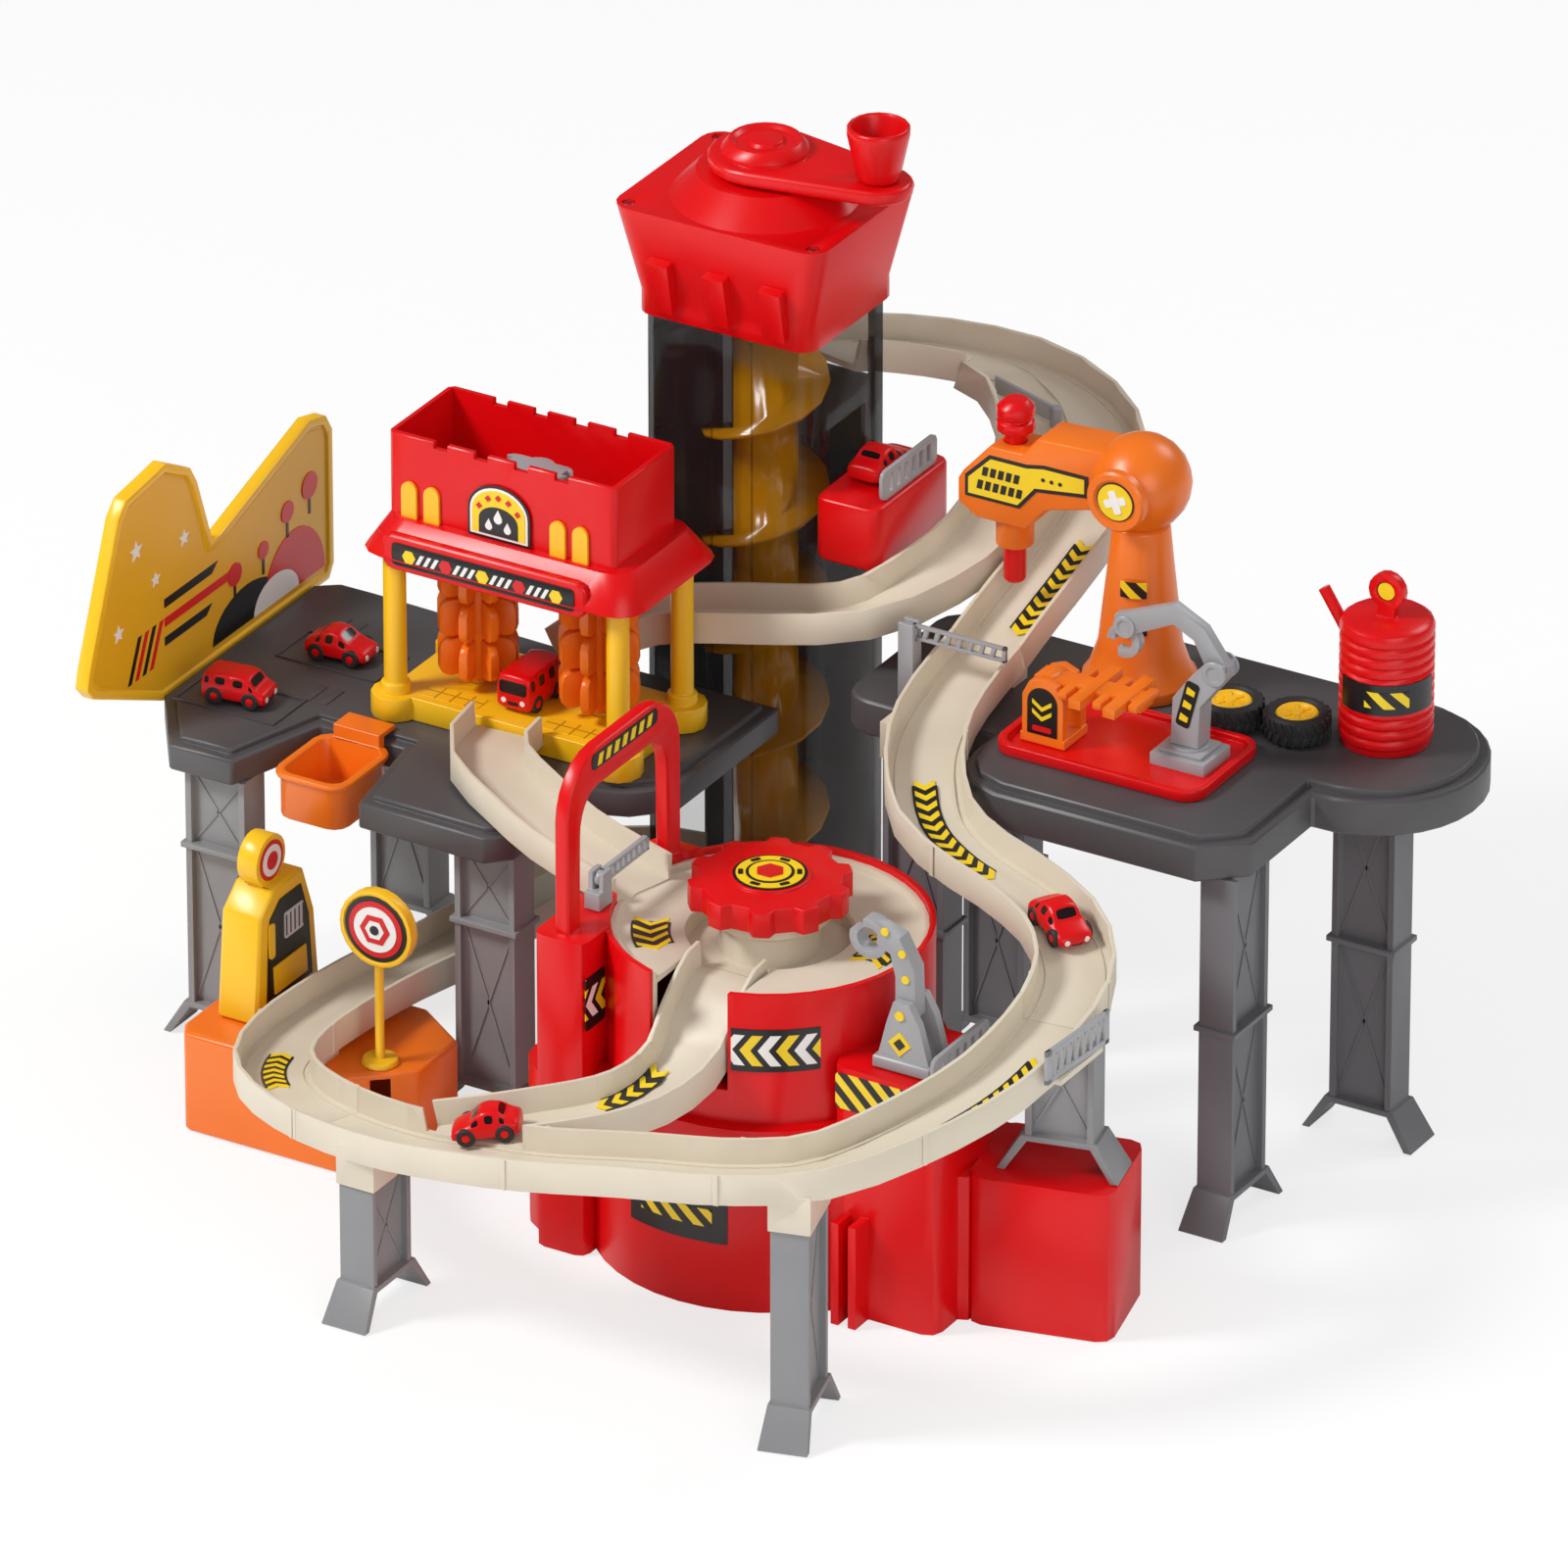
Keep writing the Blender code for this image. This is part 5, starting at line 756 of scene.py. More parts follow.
class StripOnPath(NodeTool):
    """A flat strip that follows a path, with a mark repeated along it."""

    def __init__(self) -> None:
        """Builds the tree once."""
        super().__init__("strip_on_path", {"Width": "Float", "Thickness": "Float", "Pitch": "Float",
                                           "Mark": "Object", "Strip finish": "Material",
                                           "Mark finish": "Material"})
        tree, given = self.tree, self.given
        upright = add(tree, "GeometryNodeSetCurveNormal", {"mode": "Z_UP"}, {"Curve": given["Geometry"]})
        section = add(tree, "GeometryNodeCurvePrimitiveQuadrilateral",
                      links={"Width": given["Width"], "Height": given["Thickness"]})
        strip = add(tree, "GeometryNodeCurveToMesh", {"Fill Caps": True},
                    {"Curve": upright.outputs["Curve"], "Profile Curve": section.outputs["Curve"]})
        base = add(tree, "GeometryNodeSetMaterial",
                   links={"Geometry": strip.outputs["Mesh"], "Material": given["Strip finish"]})
        dots = add(tree, "GeometryNodeCurveToPoints", {"mode": "LENGTH"},
                   {"Curve": upright.outputs["Curve"], "Length": given["Pitch"]})
        shape = add(tree, "GeometryNodeObjectInfo", links={"Object": given["Mark"]})
        marks = add(tree, "GeometryNodeInstanceOnPoints",
                    links={"Points": dots.outputs["Points"], "Instance": shape.outputs["Geometry"],
                           "Rotation": dots.outputs["Rotation"]})
        real = add(tree, "GeometryNodeRealizeInstances", links={"Geometry": marks.outputs["Instances"]})
        inked = add(tree, "GeometryNodeSetMaterial",
                    links={"Geometry": real.outputs["Geometry"], "Material": given["Mark finish"]})
        whole = add(tree, "GeometryNodeJoinGeometry", links={0: base.outputs["Geometry"]})
        tree.links.new(inked.outputs["Geometry"], whole.inputs[0])
        add(tree, "NodeGroupOutput", links={0: whole.outputs["Geometry"]})

    def build(self, name: str, path: Sequence[Vector], width: float, pitch: float,
              body: str) -> bpy.types.Object:
        """Makes a strip with chevrons on a path.

        Args:
            name: Name of the piece.
            path: Places of the strip's middle, in millimetres.
            width: Width of the strip.
            pitch: Distance between chevrons.
            body: CAD body it rides on.

        Returns:
            The piece.
        """
        mark = self.chevron(name, width / 2 - 1.2, pitch * 0.52)
        return self.lay(name, path, width, 0.4, LANE_BLACK, body, mark, pitch)

    @staticmethod
    def chevron(name: str, reach: float, bar: float) -> bpy.types.Object:
        """Makes the chevron that a strip repeats.

        Args:
            name: Name of the strip.
            reach: Half of its width.
            bar: Length of its bar along the path.
        """
        tip = reach * 0.75
        mark = bmesh.new()
        outline = [(-reach, -tip), (0.0, 0.0), (reach, -tip),
                   (reach, -tip + bar), (0.0, bar), (-reach, -tip + bar)]
        centre = (bar - tip) / 2
        place = turned(90, "X")
        for half in ([outline[0], outline[1], outline[4], outline[5]],
                     [outline[1], outline[2], outline[3], outline[4]]):
            add_plate(mark, [(x, y - centre) for x, y in half], place, -0.3, 0.3)
        bmesh.ops.remove_doubles(mark, verts=mark.verts, dist=1e-4)
        inner = [f for f in mark.faces if all(abs(v.co.x) < 1e-4 for v in f.verts)]
        bmesh.ops.delete(mark, geom=inner, context="FACES_ONLY")
        return bpy.data.objects.new(name + "_mark", plain_data(name + "_mark", mark))

    def lay(self, name: str, path: Sequence[Vector], width: float, thickness: float, finish: Any, body: str,
            mark: bpy.types.Object | None = None, pitch: float = 1.0) -> bpy.types.Object:
        """Lays a flat strip along a path, with or without marks.

        Args:
            name: Name of the piece.
            path: Places of the strip's middle, in millimetres.
            width: Width of the strip.
            thickness: Thickness of the strip.
            finish: Its finish.
            body: CAD body it rides on.
            mark: Object that repeats along it, or None.
            pitch: Distance between marks.

        Returns:
            The piece.
        """
        curve = bpy.data.curves.new(name + "_path", "CURVE")
        curve.dimensions = "3D"
        spline = curve.splines.new("POLY")
        spline.points.add(len(path) - 1)
        for point, where in zip(spline.points, path):
            point.co = (*(where * MM), 1.0)
        values = {"Width": width * MM, "Thickness": thickness * MM, "Pitch": pitch * MM, "Mark": mark,
                  "Strip finish": finish.make(), "Mark finish": YELLOW_FILM.make()}
        return self.bake(name, curve, values, body)


@dataclass
class Workshop:
    """The two node trees that every sub-assembly shares."""

    repeat: RepeatOnPoints = field(default_factory=RepeatOnPoints)
    strip: StripOnPath = field(default_factory=StripOnPath)


def soften(node: str, finish: Any, edge: float = 0.5) -> None:
    """Gives a CAD node its finish and the small edge radius that a mould leaves.

    Args:
        node: Name of the CAD node.
        finish: Its finish.
        edge: Edge radius in millimetres, or 0 for none.
    """
    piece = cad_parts[node]
    piece.data.materials.clear()
    piece.data.materials.append(finish.make())
    piece.data.polygons.foreach_set("use_smooth", [True] * len(piece.data.polygons))
    weld = piece.modifiers.new("weld", "WELD")
    weld.merge_threshold = WELD_GAP * MM
    flat = piece.modifiers.new("flat", "DECIMATE")
    flat.decimate_type = "DISSOLVE"
    flat.angle_limit = math.radians(FLAT_ANGLE)
    if edge:
        bevel = piece.modifiers.new("edge", "BEVEL")
        bevel.width = edge * MM
        bevel.segments = 2
        bevel.limit_method = "ANGLE"
        bevel.angle_limit = math.radians(MOULD_ANGLE)
        bevel.harden_normals = True
        bevel.use_clamp_overlap = True
    LOG.info("%s dressed in %s", node, finish.name)


# Sub-assemblies

class SubAssembly:
    """A group of CAD nodes with their coats, and the trim built on them."""

    coats: ClassVar[tuple[tuple[Plastic, float, str], ...]] = ()

    def dress(self) -> None:
        """Gives each CAD node of the group its finish and its edge radius."""
        for finish, edge, nodes in self.coats:
            for node in nodes.split():
                soften(node, finish, edge)

    def build(self, shop: Workshop) -> None:
        """Builds the group's trim.

        Args:
            shop: The shared node trees.
        """


@dataclass
class Tower(SubAssembly):
    """Smoked lift tower with its cap, crank and auger."""

    half_x: float = 54.8
    half_y: float = 45.2
    screw_low: float = 435.8
    screw_radius: float = 3.1
    coats = ((SMOKE, 0.8, "tower_shell"), (RED, 0.7, "tower_cap crank_arm crank_knob side_box"),
             (AMBER, 0.0, "lift_auger"), (LIGHT_GREY, 0.4, "side_rail"))

    def build(self, shop: Workshop) -> None:
        """Builds the cap's cross-head screws.

        Args:
            shop: The shared node trees.
        """
        shape = bmesh.new()
        radius = self.screw_radius
        head = [(0, 0), (radius, 0), (radius, 1.2), (radius - 0.6, 1.8), (1.9, 1.9), (1.7, 1.2), (0, 1.2)]
        add_lathe(shape, head, Matrix.Identity(4), 24)
        for turn in (0, 90):
            add_block(shape, (3.8, 0.7, 0.5), at(0, 0, 1.35) @ turned(turn))
        places = [(at(x, y, self.screw_low) @ Matrix.Rotation(0.4 * x, 4, "Z"), (1, 1, 1))
                  for x in (-self.half_x, self.half_x) for y in (-self.half_y, self.half_y)]
        shop.repeat.build("cap_screws", shape, places, SCREW, "frame")


@dataclass
class Lanes(SubAssembly):
    """Cream car lanes with their chevron strips, diverter and corner rail."""

    depth: float = 14.0
    half_width: float = 20.5
    strip_width: float = 13.0
    ridge_place: float = 14.6
    seams: list[Point] = field(default_factory=lambda: [
        (175, -135), (232, -196), (333, -266), (311, -390), (236, -439), (120, -443), (-10, -419), (-84, -330)])
    pitch: float = 7.4
    gate_route: list[Point] = field(default_factory=lambda: [
        (165, -58, 250), (165, -81, 245), (167, -108, 239), (175, -135, 235), (188, -160, 230),
        (206, -182, 222), (232, -196, 216), (268, -204, 209), (299, -217, 203), (321, -239, 198),
        (333, -266, 194), (337, -300, 187), (331, -345, 177), (311, -390, 167), (279, -424.5, 155),
        (236, -439, 147), (182, -443, 138), (120, -443, 124.5), (60, -437, 113), (25, -430, 107.4),
        (-10, -419, 103), (-46, -399, 98), (-72, -370, 92), (-84, -330, 87), (-86.5, -280, 82),
        (-84, -235, 78), (-81, -185, 71), (-84, -130, 63), (-86, -80, 56), (-83, -40, 52),
        (-70, -12, 49), (-41, -2, 47)])
    upper_route: list[Point] = field(default_factory=lambda: [
        (17, 39, 348), (22, 61, 341), (38, 86, 333), (62, 107, 325), (90, 118, 318), (118, 116, 310),
        (142, 102, 302), (158, 80, 294), (165, 54, 285), (165, 10, 270), (165, -30, 259), (165, -58, 250)])
    outlet_route: list[Point] = field(default_factory=lambda: [
        (155.6, -297, 176), (155.6, -308, 175), (155.6, -321, 167), (155.6, -334, 155), (155.6, -347, 144),
        (151, -361, 136.5), (142, -376, 131.5), (125, -391, 127), (92, -412, 121), (55, -428, 113)])
    corner: Point = (361.0, -307.0, 173.0)
    coats = ((CREAM, 0.45, "track_upper track_s track_front track_loop"), (LIGHT_GREY, 0.3, "track_diverter"))

    def floor_path(self, route: list[Point], start: float, end: float, aside: float) -> list[Vector]:
        """Returns the path of a strip on a lane's floor.

        Args:
            route: The lane's route.
            start: Length along it where the strip begins.
            end: Length along it where the strip ends.
            aside: Distance to the right of the lane's middle.
        """
        points = smooth_route(route, 4.0)
        path = []
        run = 0.0
        for before, here, after in zip(points, points[1:], points[2:]):
            run += (here - before).length
            ahead = (after - before).normalized()
            right = Vector((ahead.y, -ahead.x, 0)).normalized()
            if start <= run <= end:
                path.append(here + right * aside - Vector((0, 0, self.depth - LANE_FILM)))
        return path

    def build(self, shop: Workshop) -> None:
        """Builds the chevron strips, the ridges, the seams and the corner rail.

        Args:
            shop: The shared node trees.
        """
        strips = {
            "gate_strip": (self.upper_route, 254, 326, -6),
            "bend_strip": (self.gate_route, 104, 190, 0),
            "corner_strip": (self.gate_route, 350, 420, -7),
            "loop_strip": (self.gate_route, 838, 888, 0),
            "outlet_strip": (self.outlet_route, 64, 108, 12),
        }
        for name, reach in strips.items():
            shop.strip.build(name, self.floor_path(*reach), self.strip_width, self.pitch, "frame")
        self.build_ridges(shop)
        self.build_collars(shop)
        self.build_corner_rail()

    def build_ridges(self, shop: Workshop) -> None:
        """Builds the low ridges that guide the wheels along the lanes' floors.

        Args:
            shop: The shared node trees.
        """
        left, right = ("left", -self.ridge_place), ("right", self.ridge_place)
        runs = (("upper", self.upper_route, 24, 330, (left, right)),
                ("gate", self.gate_route, 24, 900, (left, right)),
                ("outlet", self.outlet_route, 60, 112, (left,)))
        for name, route, start, end, sides in runs:
            for side, aside in sides:
                path = [point - Vector((0, 0, 0.2)) for point in self.floor_path(route, start, end, aside)]
                shop.strip.lay(f"{name}_ridge_{side}", path, 0.9, 0.9, CREAM, "frame")

    def build_collars(self, shop: Workshop) -> None:
        """Builds the raised seams where two lengths of lane are joined.

        Args:
            shop: The shared node trees.
        """
        half, low = self.half_width, self.depth + 3.0
        shape = bmesh.new()
        for side in (-1, 1):
            add_block(shape, (2.6, 0.7, low), at(0, side * (half + 0.25), -low / 2 + 0.1), 0.15)
        add_block(shape, (2.6, 2 * half, 0.6), at(0, 0, -low - 0.2), 0.15)
        route = smooth_route(self.gate_route, 4.0)
        places = []
        for x, y in self.seams:
            index = min(range(1, len(route) - 1), key=lambda i: (route[i] - Vector((x, y, route[i].z))).length)
            ahead = route[index + 1] - route[index - 1]
            turn = Matrix.Rotation(math.atan2(ahead.y, ahead.x), 4, "Z")
            places.append((Matrix.Translation(route[index]) @ turn, (1, 1, 1)))
        shop.repeat.build("lane_seams", shape, places, CREAM, "frame")

    def build_corner_rail(self) -> None:
        """Builds the slotted guard rail on the corner shelf."""
        x, y, z = self.corner
        place = at(x + 1, y - 2, z + 0.1) @ turned(86)
        mesh = bmesh.new()
        add_slotted(mesh, (56.0, 2.4, 19.0), place, 8)
        finish_mesh("corner_rail", mesh, [LIGHT_GREY], "frame")


@dataclass
class Decks(SubAssembly):
    """Both grey decks, their pillars, the sign board and the parts bin."""

    board_face: float = -247.9
    left_top: float = 174.0
    light: dict[str, tuple[float, float, float, float, float]] = field(default_factory=lambda: {
        "pillar_left_front": (-190.6, -226, 155.7, 0, 0), "pillar_middle_front": (-28, -226, 155.7, 0, 0),
        "pillar_left_back": (-172, -76, 155.7, 0, 0), "pillar_lane_front": (272.1, -428.4, 118.0, 105, 0),
        "pillar_lane_loop": (25.6, -430.5, 74.9, 90, 0), "pillar_box": (329.0, -262.3, 164.0, 13.2, 84.3)})
    dark: dict[str, tuple[float, float, float, float, float]] = field(default_factory=lambda: {
        "pillar_deck_front": (350.3, -127.2, 199.7, 90, 0), "pillar_deck_right": (369.2, -16, 199.7, 0, 0),
        "pillar_wing": (163, -35, 199.7, 0, 0), "pillar_gate": (161, -115, 205.0, 0, 0)})

    coats = ((DECK, 0.7, "left_deck right_deck"), (YELLOW, 0.8, "sign_board"), (ORANGE, 0.6, "parts_bin"))

    def dress(self) -> None:
        """Dresses the decks and every pillar."""
        super().dress()
        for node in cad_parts:
            if node.startswith("pillar_"):
                soften(node, DARK_GREY if node in self.dark else GREY, 0.35)

    def build(self, shop: Workshop) -> None:
        """Builds the pillars' crossed ribs, the parking marks and the board's picture.

        Args:
            shop: The shared node trees.
        """
        for colour, group, finish in (("grey", self.light, GREY), ("dark", self.dark, DARK_GREY)):
            shape = bmesh.new()
            for side in (-1, 1):
                add_block(shape, (1.38, 0.8, 0.035), turned(side * 45, "Y"))
            places = []
            for x, y, top, turn, bottom in group.values():
                for low, high in self.bays(top, bottom):
                    for side in (-1, 1):
                        place = at(x, y, (low + high) / 2) @ turned(turn) @ at(0, side * 6.0, 0)
                        places.append((place, (28.8, 1.6, high - low)))
            shop.repeat.build("pillar_ribs_" + colour, shape, places, finish, "frame")
        self.build_marks()
        self.build_board()

    @staticmethod
    def bays(top: float, bottom: float) -> list[tuple[float, float]]:
        """Returns the ribbed bays of a pillar between its foot, collar and top."""
        low = bottom + 21
        if top > 145 and bottom == 0:
            return [(low + 2, 110.0), (114.0, top - 3)]
        return [(low + 2, top - 3)]

    def build_marks(self) -> None:
        """Builds the raised outlines of the parking places and the slots at their ends."""
        mesh = bmesh.new()
        z = self.left_top
        for x, y in ((-206, -186), (-186, -118)):
            for dx, dy, sx, sy in ((0, 16, 60, 1.6), (0, -16, 60, 1.6), (-30, 0, 1.6, 33.6), (30, 0, 1.6, 33.6)):
                add_block(mesh, (sx, sy, 1.2), at(x + dx, y + dy, z + 0.4), 0.3)
        for x, y in ((-176, -160), (-166, -160), (-146, -100), (-136, -100), (-206, -88), (-196, -88)):
            add_block(mesh, (4, 18, 0.8), at(x, y, z + 0.2), 0.2)
        finish_mesh("parking_marks", mesh, [DECK], "frame")

    def build_board(self) -> None:
        """Builds the board's generic picture: hills, round trees, stars, dashes and bars."""
        low = 167.0
        edge = [(-196, 6), (-252, 32), (-260, 40), (-260, 46), (-231, 117), (-225, 124), (-204, 127),
                (-191, 129), (-170, 117), (-165, 109), (-151, 65), (-137, 65), (-51, 93), (-39, 90), (-34, 83),
                (-34, 6)]
        look = facing((self.board_face, 0, low), (1, 0, 0))
        plate("board_picture", edge, look, AMBER_FILM, "frame", 0.3)
        mesh = bmesh.new()
        for middle, radius, height, slot in ((-66, 30, 34, 1), (-112, 34, 22, 0), (-84, 22, 16, 2)):
            hill = arc(radius, height, range(0, 181, 10), (middle, 9))
            add_plate(mesh, hill, look, 0.2 + 0.05 * slot, 0.6 + 0.1 * slot, slot)
        for y, z, size in ((-50, 62, 7.5), (-72, 56, 6.0), (-96, 44, 5.0), (-124, 42, 6.5)):
            add_plate(mesh, disc(size, 28, (y, z)), look, 0.2, 0.9, 1)
            trunk = [(y - 1, z - size - 9), (y + 1, z - size - 9), (y + 1, z), (y - 1, z)]
            add_plate(mesh, trunk, look, 0.2, 0.7, 0)
        for y, z, size in ((-218, 96, 6), (-200, 72, 4.5), (-172, 84, 5), (-236, 56, 5)):
            spikes = [(size * (0.45 if k % 2 else 1), math.radians(36 * k)) for k in range(10)]
            star = [(y + reach * math.sin(angle), z + reach * math.cos(angle)) for reach, angle in spikes]
            add_plate(mesh, star, look, 0.2, 0.7, 2)
        for row in range(4):
            y = -228 + 7 * row
            add_plate(mesh, [(y, 22), (y + 3.4, 22), (y + 14, 46), (y + 10.6, 46)], look, 0.2, 0.6, row % 2)
        for row, length in enumerate((46, 60, 40)):
            z = 52 - 11 * row
            bar = [(-192, z), (-192 + length, z), (-186 + length, z + 5), (-192, z + 5)]
            add_plate(mesh, bar, look, 0.2, 0.6, row % 2)
        finish_mesh("board_shapes", mesh, [BLACK, RED_FILM, WHITE, YELLOW_FILM], "frame")


@dataclass
class WashStation(SubAssembly):
    """Yellow base, red roof with windows, and two orange rollers."""

    x: float = -62.0
    front: float = -156.0
    low: float = 288.0
    panel_y: float = -172.0
    middle: float = -125.0
    coats = ((YELLOW, 0.5, "wash_base"), (RED, 0.5, "wash_roof"), (LIGHT_GREY, 0.4, "wash_handle"))

    def build(self, shop: Workshop) -> None:
        """Builds the windows, the badge, the sign panel, the rollers and the tiles.

        Args:
            shop: The shared node trees.
        """
        look = facing((self.x, self.front - 1.2, self.low), (0, -1, 0))
        panes = [[(x - 4.5, 1.0), (x + 4.5, 1.0)] + arc(4.5, 4.8, range(0, 181, 20), (x, 16.5))
                 for x in (-57.5, -44.0, 31.5, 45.0)]
        layered("wash_windows", look, [(pane, -1.0, 0.7, 0) for pane in panes], [YELLOW], "frame")
        self.build_badge(look @ at(-3.3, 0, 0))
        panel = facing((self.x - 4.4, self.panel_y, 275.0), (0, -1, 0))
        plate("wash_sign_panel", rounded(109, 12.5, 2), panel, BLACK, "frame", 0.7, 0.2)
        marks = bmesh.new()
        for index in range(5):
            middle = panel @ at((index - 2) * 22, 0, 0)
            add_plate(marks, disc(4.0, 6), middle, 0.6, 1.0, 0 if index % 2 else 1)
            if index < 4:
                for step in (-1, 0, 1):
                    x = 11 + step * 4.4
                    add_plate(marks, [(x - 2.6, -2.8), (x - 0.4, -2.8), (x + 2.6, 2.8), (x + 0.4, 2.8)], middle,
                              0.6, 1.0, 2)
        finish_mesh("wash_sign_marks", marks, [RED_FILM, YELLOW_FILM, WHITE], "frame")
        for side in ("left", "right"):
            self.build_roller(shop, "roller_" + side, "brush_" + side)
        floor = at(self.x, self.middle, 187.3)
        for side, along in (("left", -36), ("right", 36)):
            plate("wash_tiles_" + side, rounded(34, 12, 1), floor @ at(along, -24.5, 0), TILE, "frame", 0.4)

    @staticmethod
    def build_badge(look: Matrix) -> None:
        """Builds the arched badge: a dark hill with water drops under a yellow sky.

        Args:
            look: Middle of its lower edge.
        """
        def arch(half: float, low: float, high: float) -> Outline:
            """Returns an arch with straight sides up to its middle."""
            waist = (low + high) / 2
            return [(-half, low), (half, low)] + arc(half, high - waist, range(0, 181, 12), (0, waist))

        layers = [(arch(18.6, 1.4, 32.4), 0.0, 0.4, 0), (arch(17.2, 2.8, 31.0), 0.3, 0.7, 1),
                  (arch(15.8, 4.2, 29.6), 0.6, 1.0, 2), (arch(11.6, 4.4, 20.5), 0.9, 1.3, 0)]
        for x, y, size in ((-5.6, 9, 3.0), (0, 14, 3.6), (5.6, 9, 3.0)):
            drop = arc(size * 0.7, size * 0.7, range(150, 391, 24), (x, y)) + [(x, y + size * 1.5)]
            layers.append((drop, 1.2, 1.6, 1))
        for angle in (28, 62, 90, 118, 152):
            middle = arc(13.0, 12.4, range(angle, angle + 1), (0, 13.5))[0]
            layers.append((disc(2.0, 4, middle), 0.9, 1.3, 3))
        layered("wash_badge", look, layers, [BLACK, WHITE, YELLOW_FILM, RED_FILM], "frame")

    @staticmethod
    def build_roller(shop: Workshop, node: str, body: str) -> None:
        """Builds one washing roller: a core with three tiers of rounded soft paddles.

        Args:
            shop: The shared node trees.
            node: CAD node it stands for.
            body: CAD body it rides on.
        """
        low, high = (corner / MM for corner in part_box(node))
        x, y = (low.x + high.x) / 2, (low.y + high.y) / 2
        mesh = bmesh.new()
        add_lathe(mesh, [(0, low.z), (9, low.z), (9.6, low.z + 1), (9.6, low.z + 71), (8, low.z + 73),
                         (8, low.z + 76), (3, low.z + 76), (3, high.z), (0, high.z)],
                  at(x, y, 0), 28)
        core = finish_mesh(node + "_core", mesh, [ORANGE], body)
        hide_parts(node)
        paddle = bmesh.new()
        add_plate(paddle, rounded(43.4, 20.6, 5.4), Matrix.Identity(4), -2.3, 2.3)
        rim = [e for e in paddle.edges if any(len(f.verts) > 4 for f in e.link_faces)]
        bmesh.ops.bevel(paddle, geom=rim, offset=0.9, segments=2, affect="EDGES", profile=0.5)
        upright = turned(90, "X")
        places = [(at(x, y, low.z + 13.5 + 22.5 * tier) @ turned(45 * turn + 10) @ upright, (1, 1, 1))
                  for tier in range(3) for turn in range(4)]
        shop.repeat.build(node + "_paddles", paddle, places, ORANGE, body)


@dataclass
class Drum(SubAssembly):
    """Red drum with its cream ring, the gear knob and the arch."""

    centre: Point = (155.6, -259.2)
    radius: float = 84.0
    base_radius: float = 92.0
    ring: float = 60.5
    deck: float = 170.5
    coats = ((RED, 0.7, "drum_base"), (CREAM, 0.45, "drum_tray"), (RED, 0.8, "gear_knob"))

    def build(self, shop: Workshop) -> None:
        """Builds the stickers on the drum, its base, the ring and the gear.

        Args:
            shop: The shared node trees.
        """
        curved_patch("drum_front_film", self.centre, self.radius, (-73, -42), (134, 158), DRUM_CHEVRONS, "frame")
        side = facing((92.0, -325.5, 144.0), (1, 0, 0))
        plate("arch_block_film", rounded(19, 30, 2), side, DRUM_CHEVRONS, "frame")
        for name, angles, heights, finish, film in (("base_badge", (-109, -73), (38, 66), BLACK, 0.5),
                                                    ("base_badge_band", (-104, -78), (47, 57), HAZARD, 0.8)):
            curved_patch(name, self.centre, self.base_radius, angles, heights, finish, "frame", film)
        gear = at(*self.centre, 202.7)
        mesh = bmesh.new()
        for radius, low, high, slot in ((19, SUNK, 0.4, 0), (17.4, 0.3, 0.7, 1), (12.4, 0.6, 0.95, 0),
                                        (10.8, 0.85, 1.2, 1)):
            add_plate(mesh, disc(radius), gear, low, high, slot)
        add_plate(mesh, disc(7.6, 6), gear, 1.1, 1.5, 2)
        for index in range(6):
            turn = turned(60 * index + 30)
            add_plate(mesh, rounded(2.6, 5.4, 0.8), gear @ turn @ at(14.9, 0, 0), 0.6, 1.0, 0)
        finish_mesh("gear_film", mesh, [BLACK, YELLOW_FILM, RED_FILM], "drum_gear")
        x, y = self.centre
        for name, first, last in (("ring_strip_left", 203, 228), ("ring_strip_right", -4, 24)):
            path = [Vector((*spot, self.deck + LANE_FILM))
                    for spot in arc(self.ring, self.ring, range(first, last, 3), (x, y))]
            shop.strip.build(name, path, 20.0, 6.6, "frame")
        arch = facing((80.0, -275.5, 266.0), (1, 0, 0))
        bars = [([(x - 3, -3), (x + 1, -3), (x + 3, 3), (x - 1, 3)], 0.3, 0.7, 1) for x in range(-24, 25, 8)]
        layered("arch_film", arch, [(rounded(64, 9, 3), SUNK, 0.4, 0)] + bars, [BLACK, YELLOW_FILM], "frame")


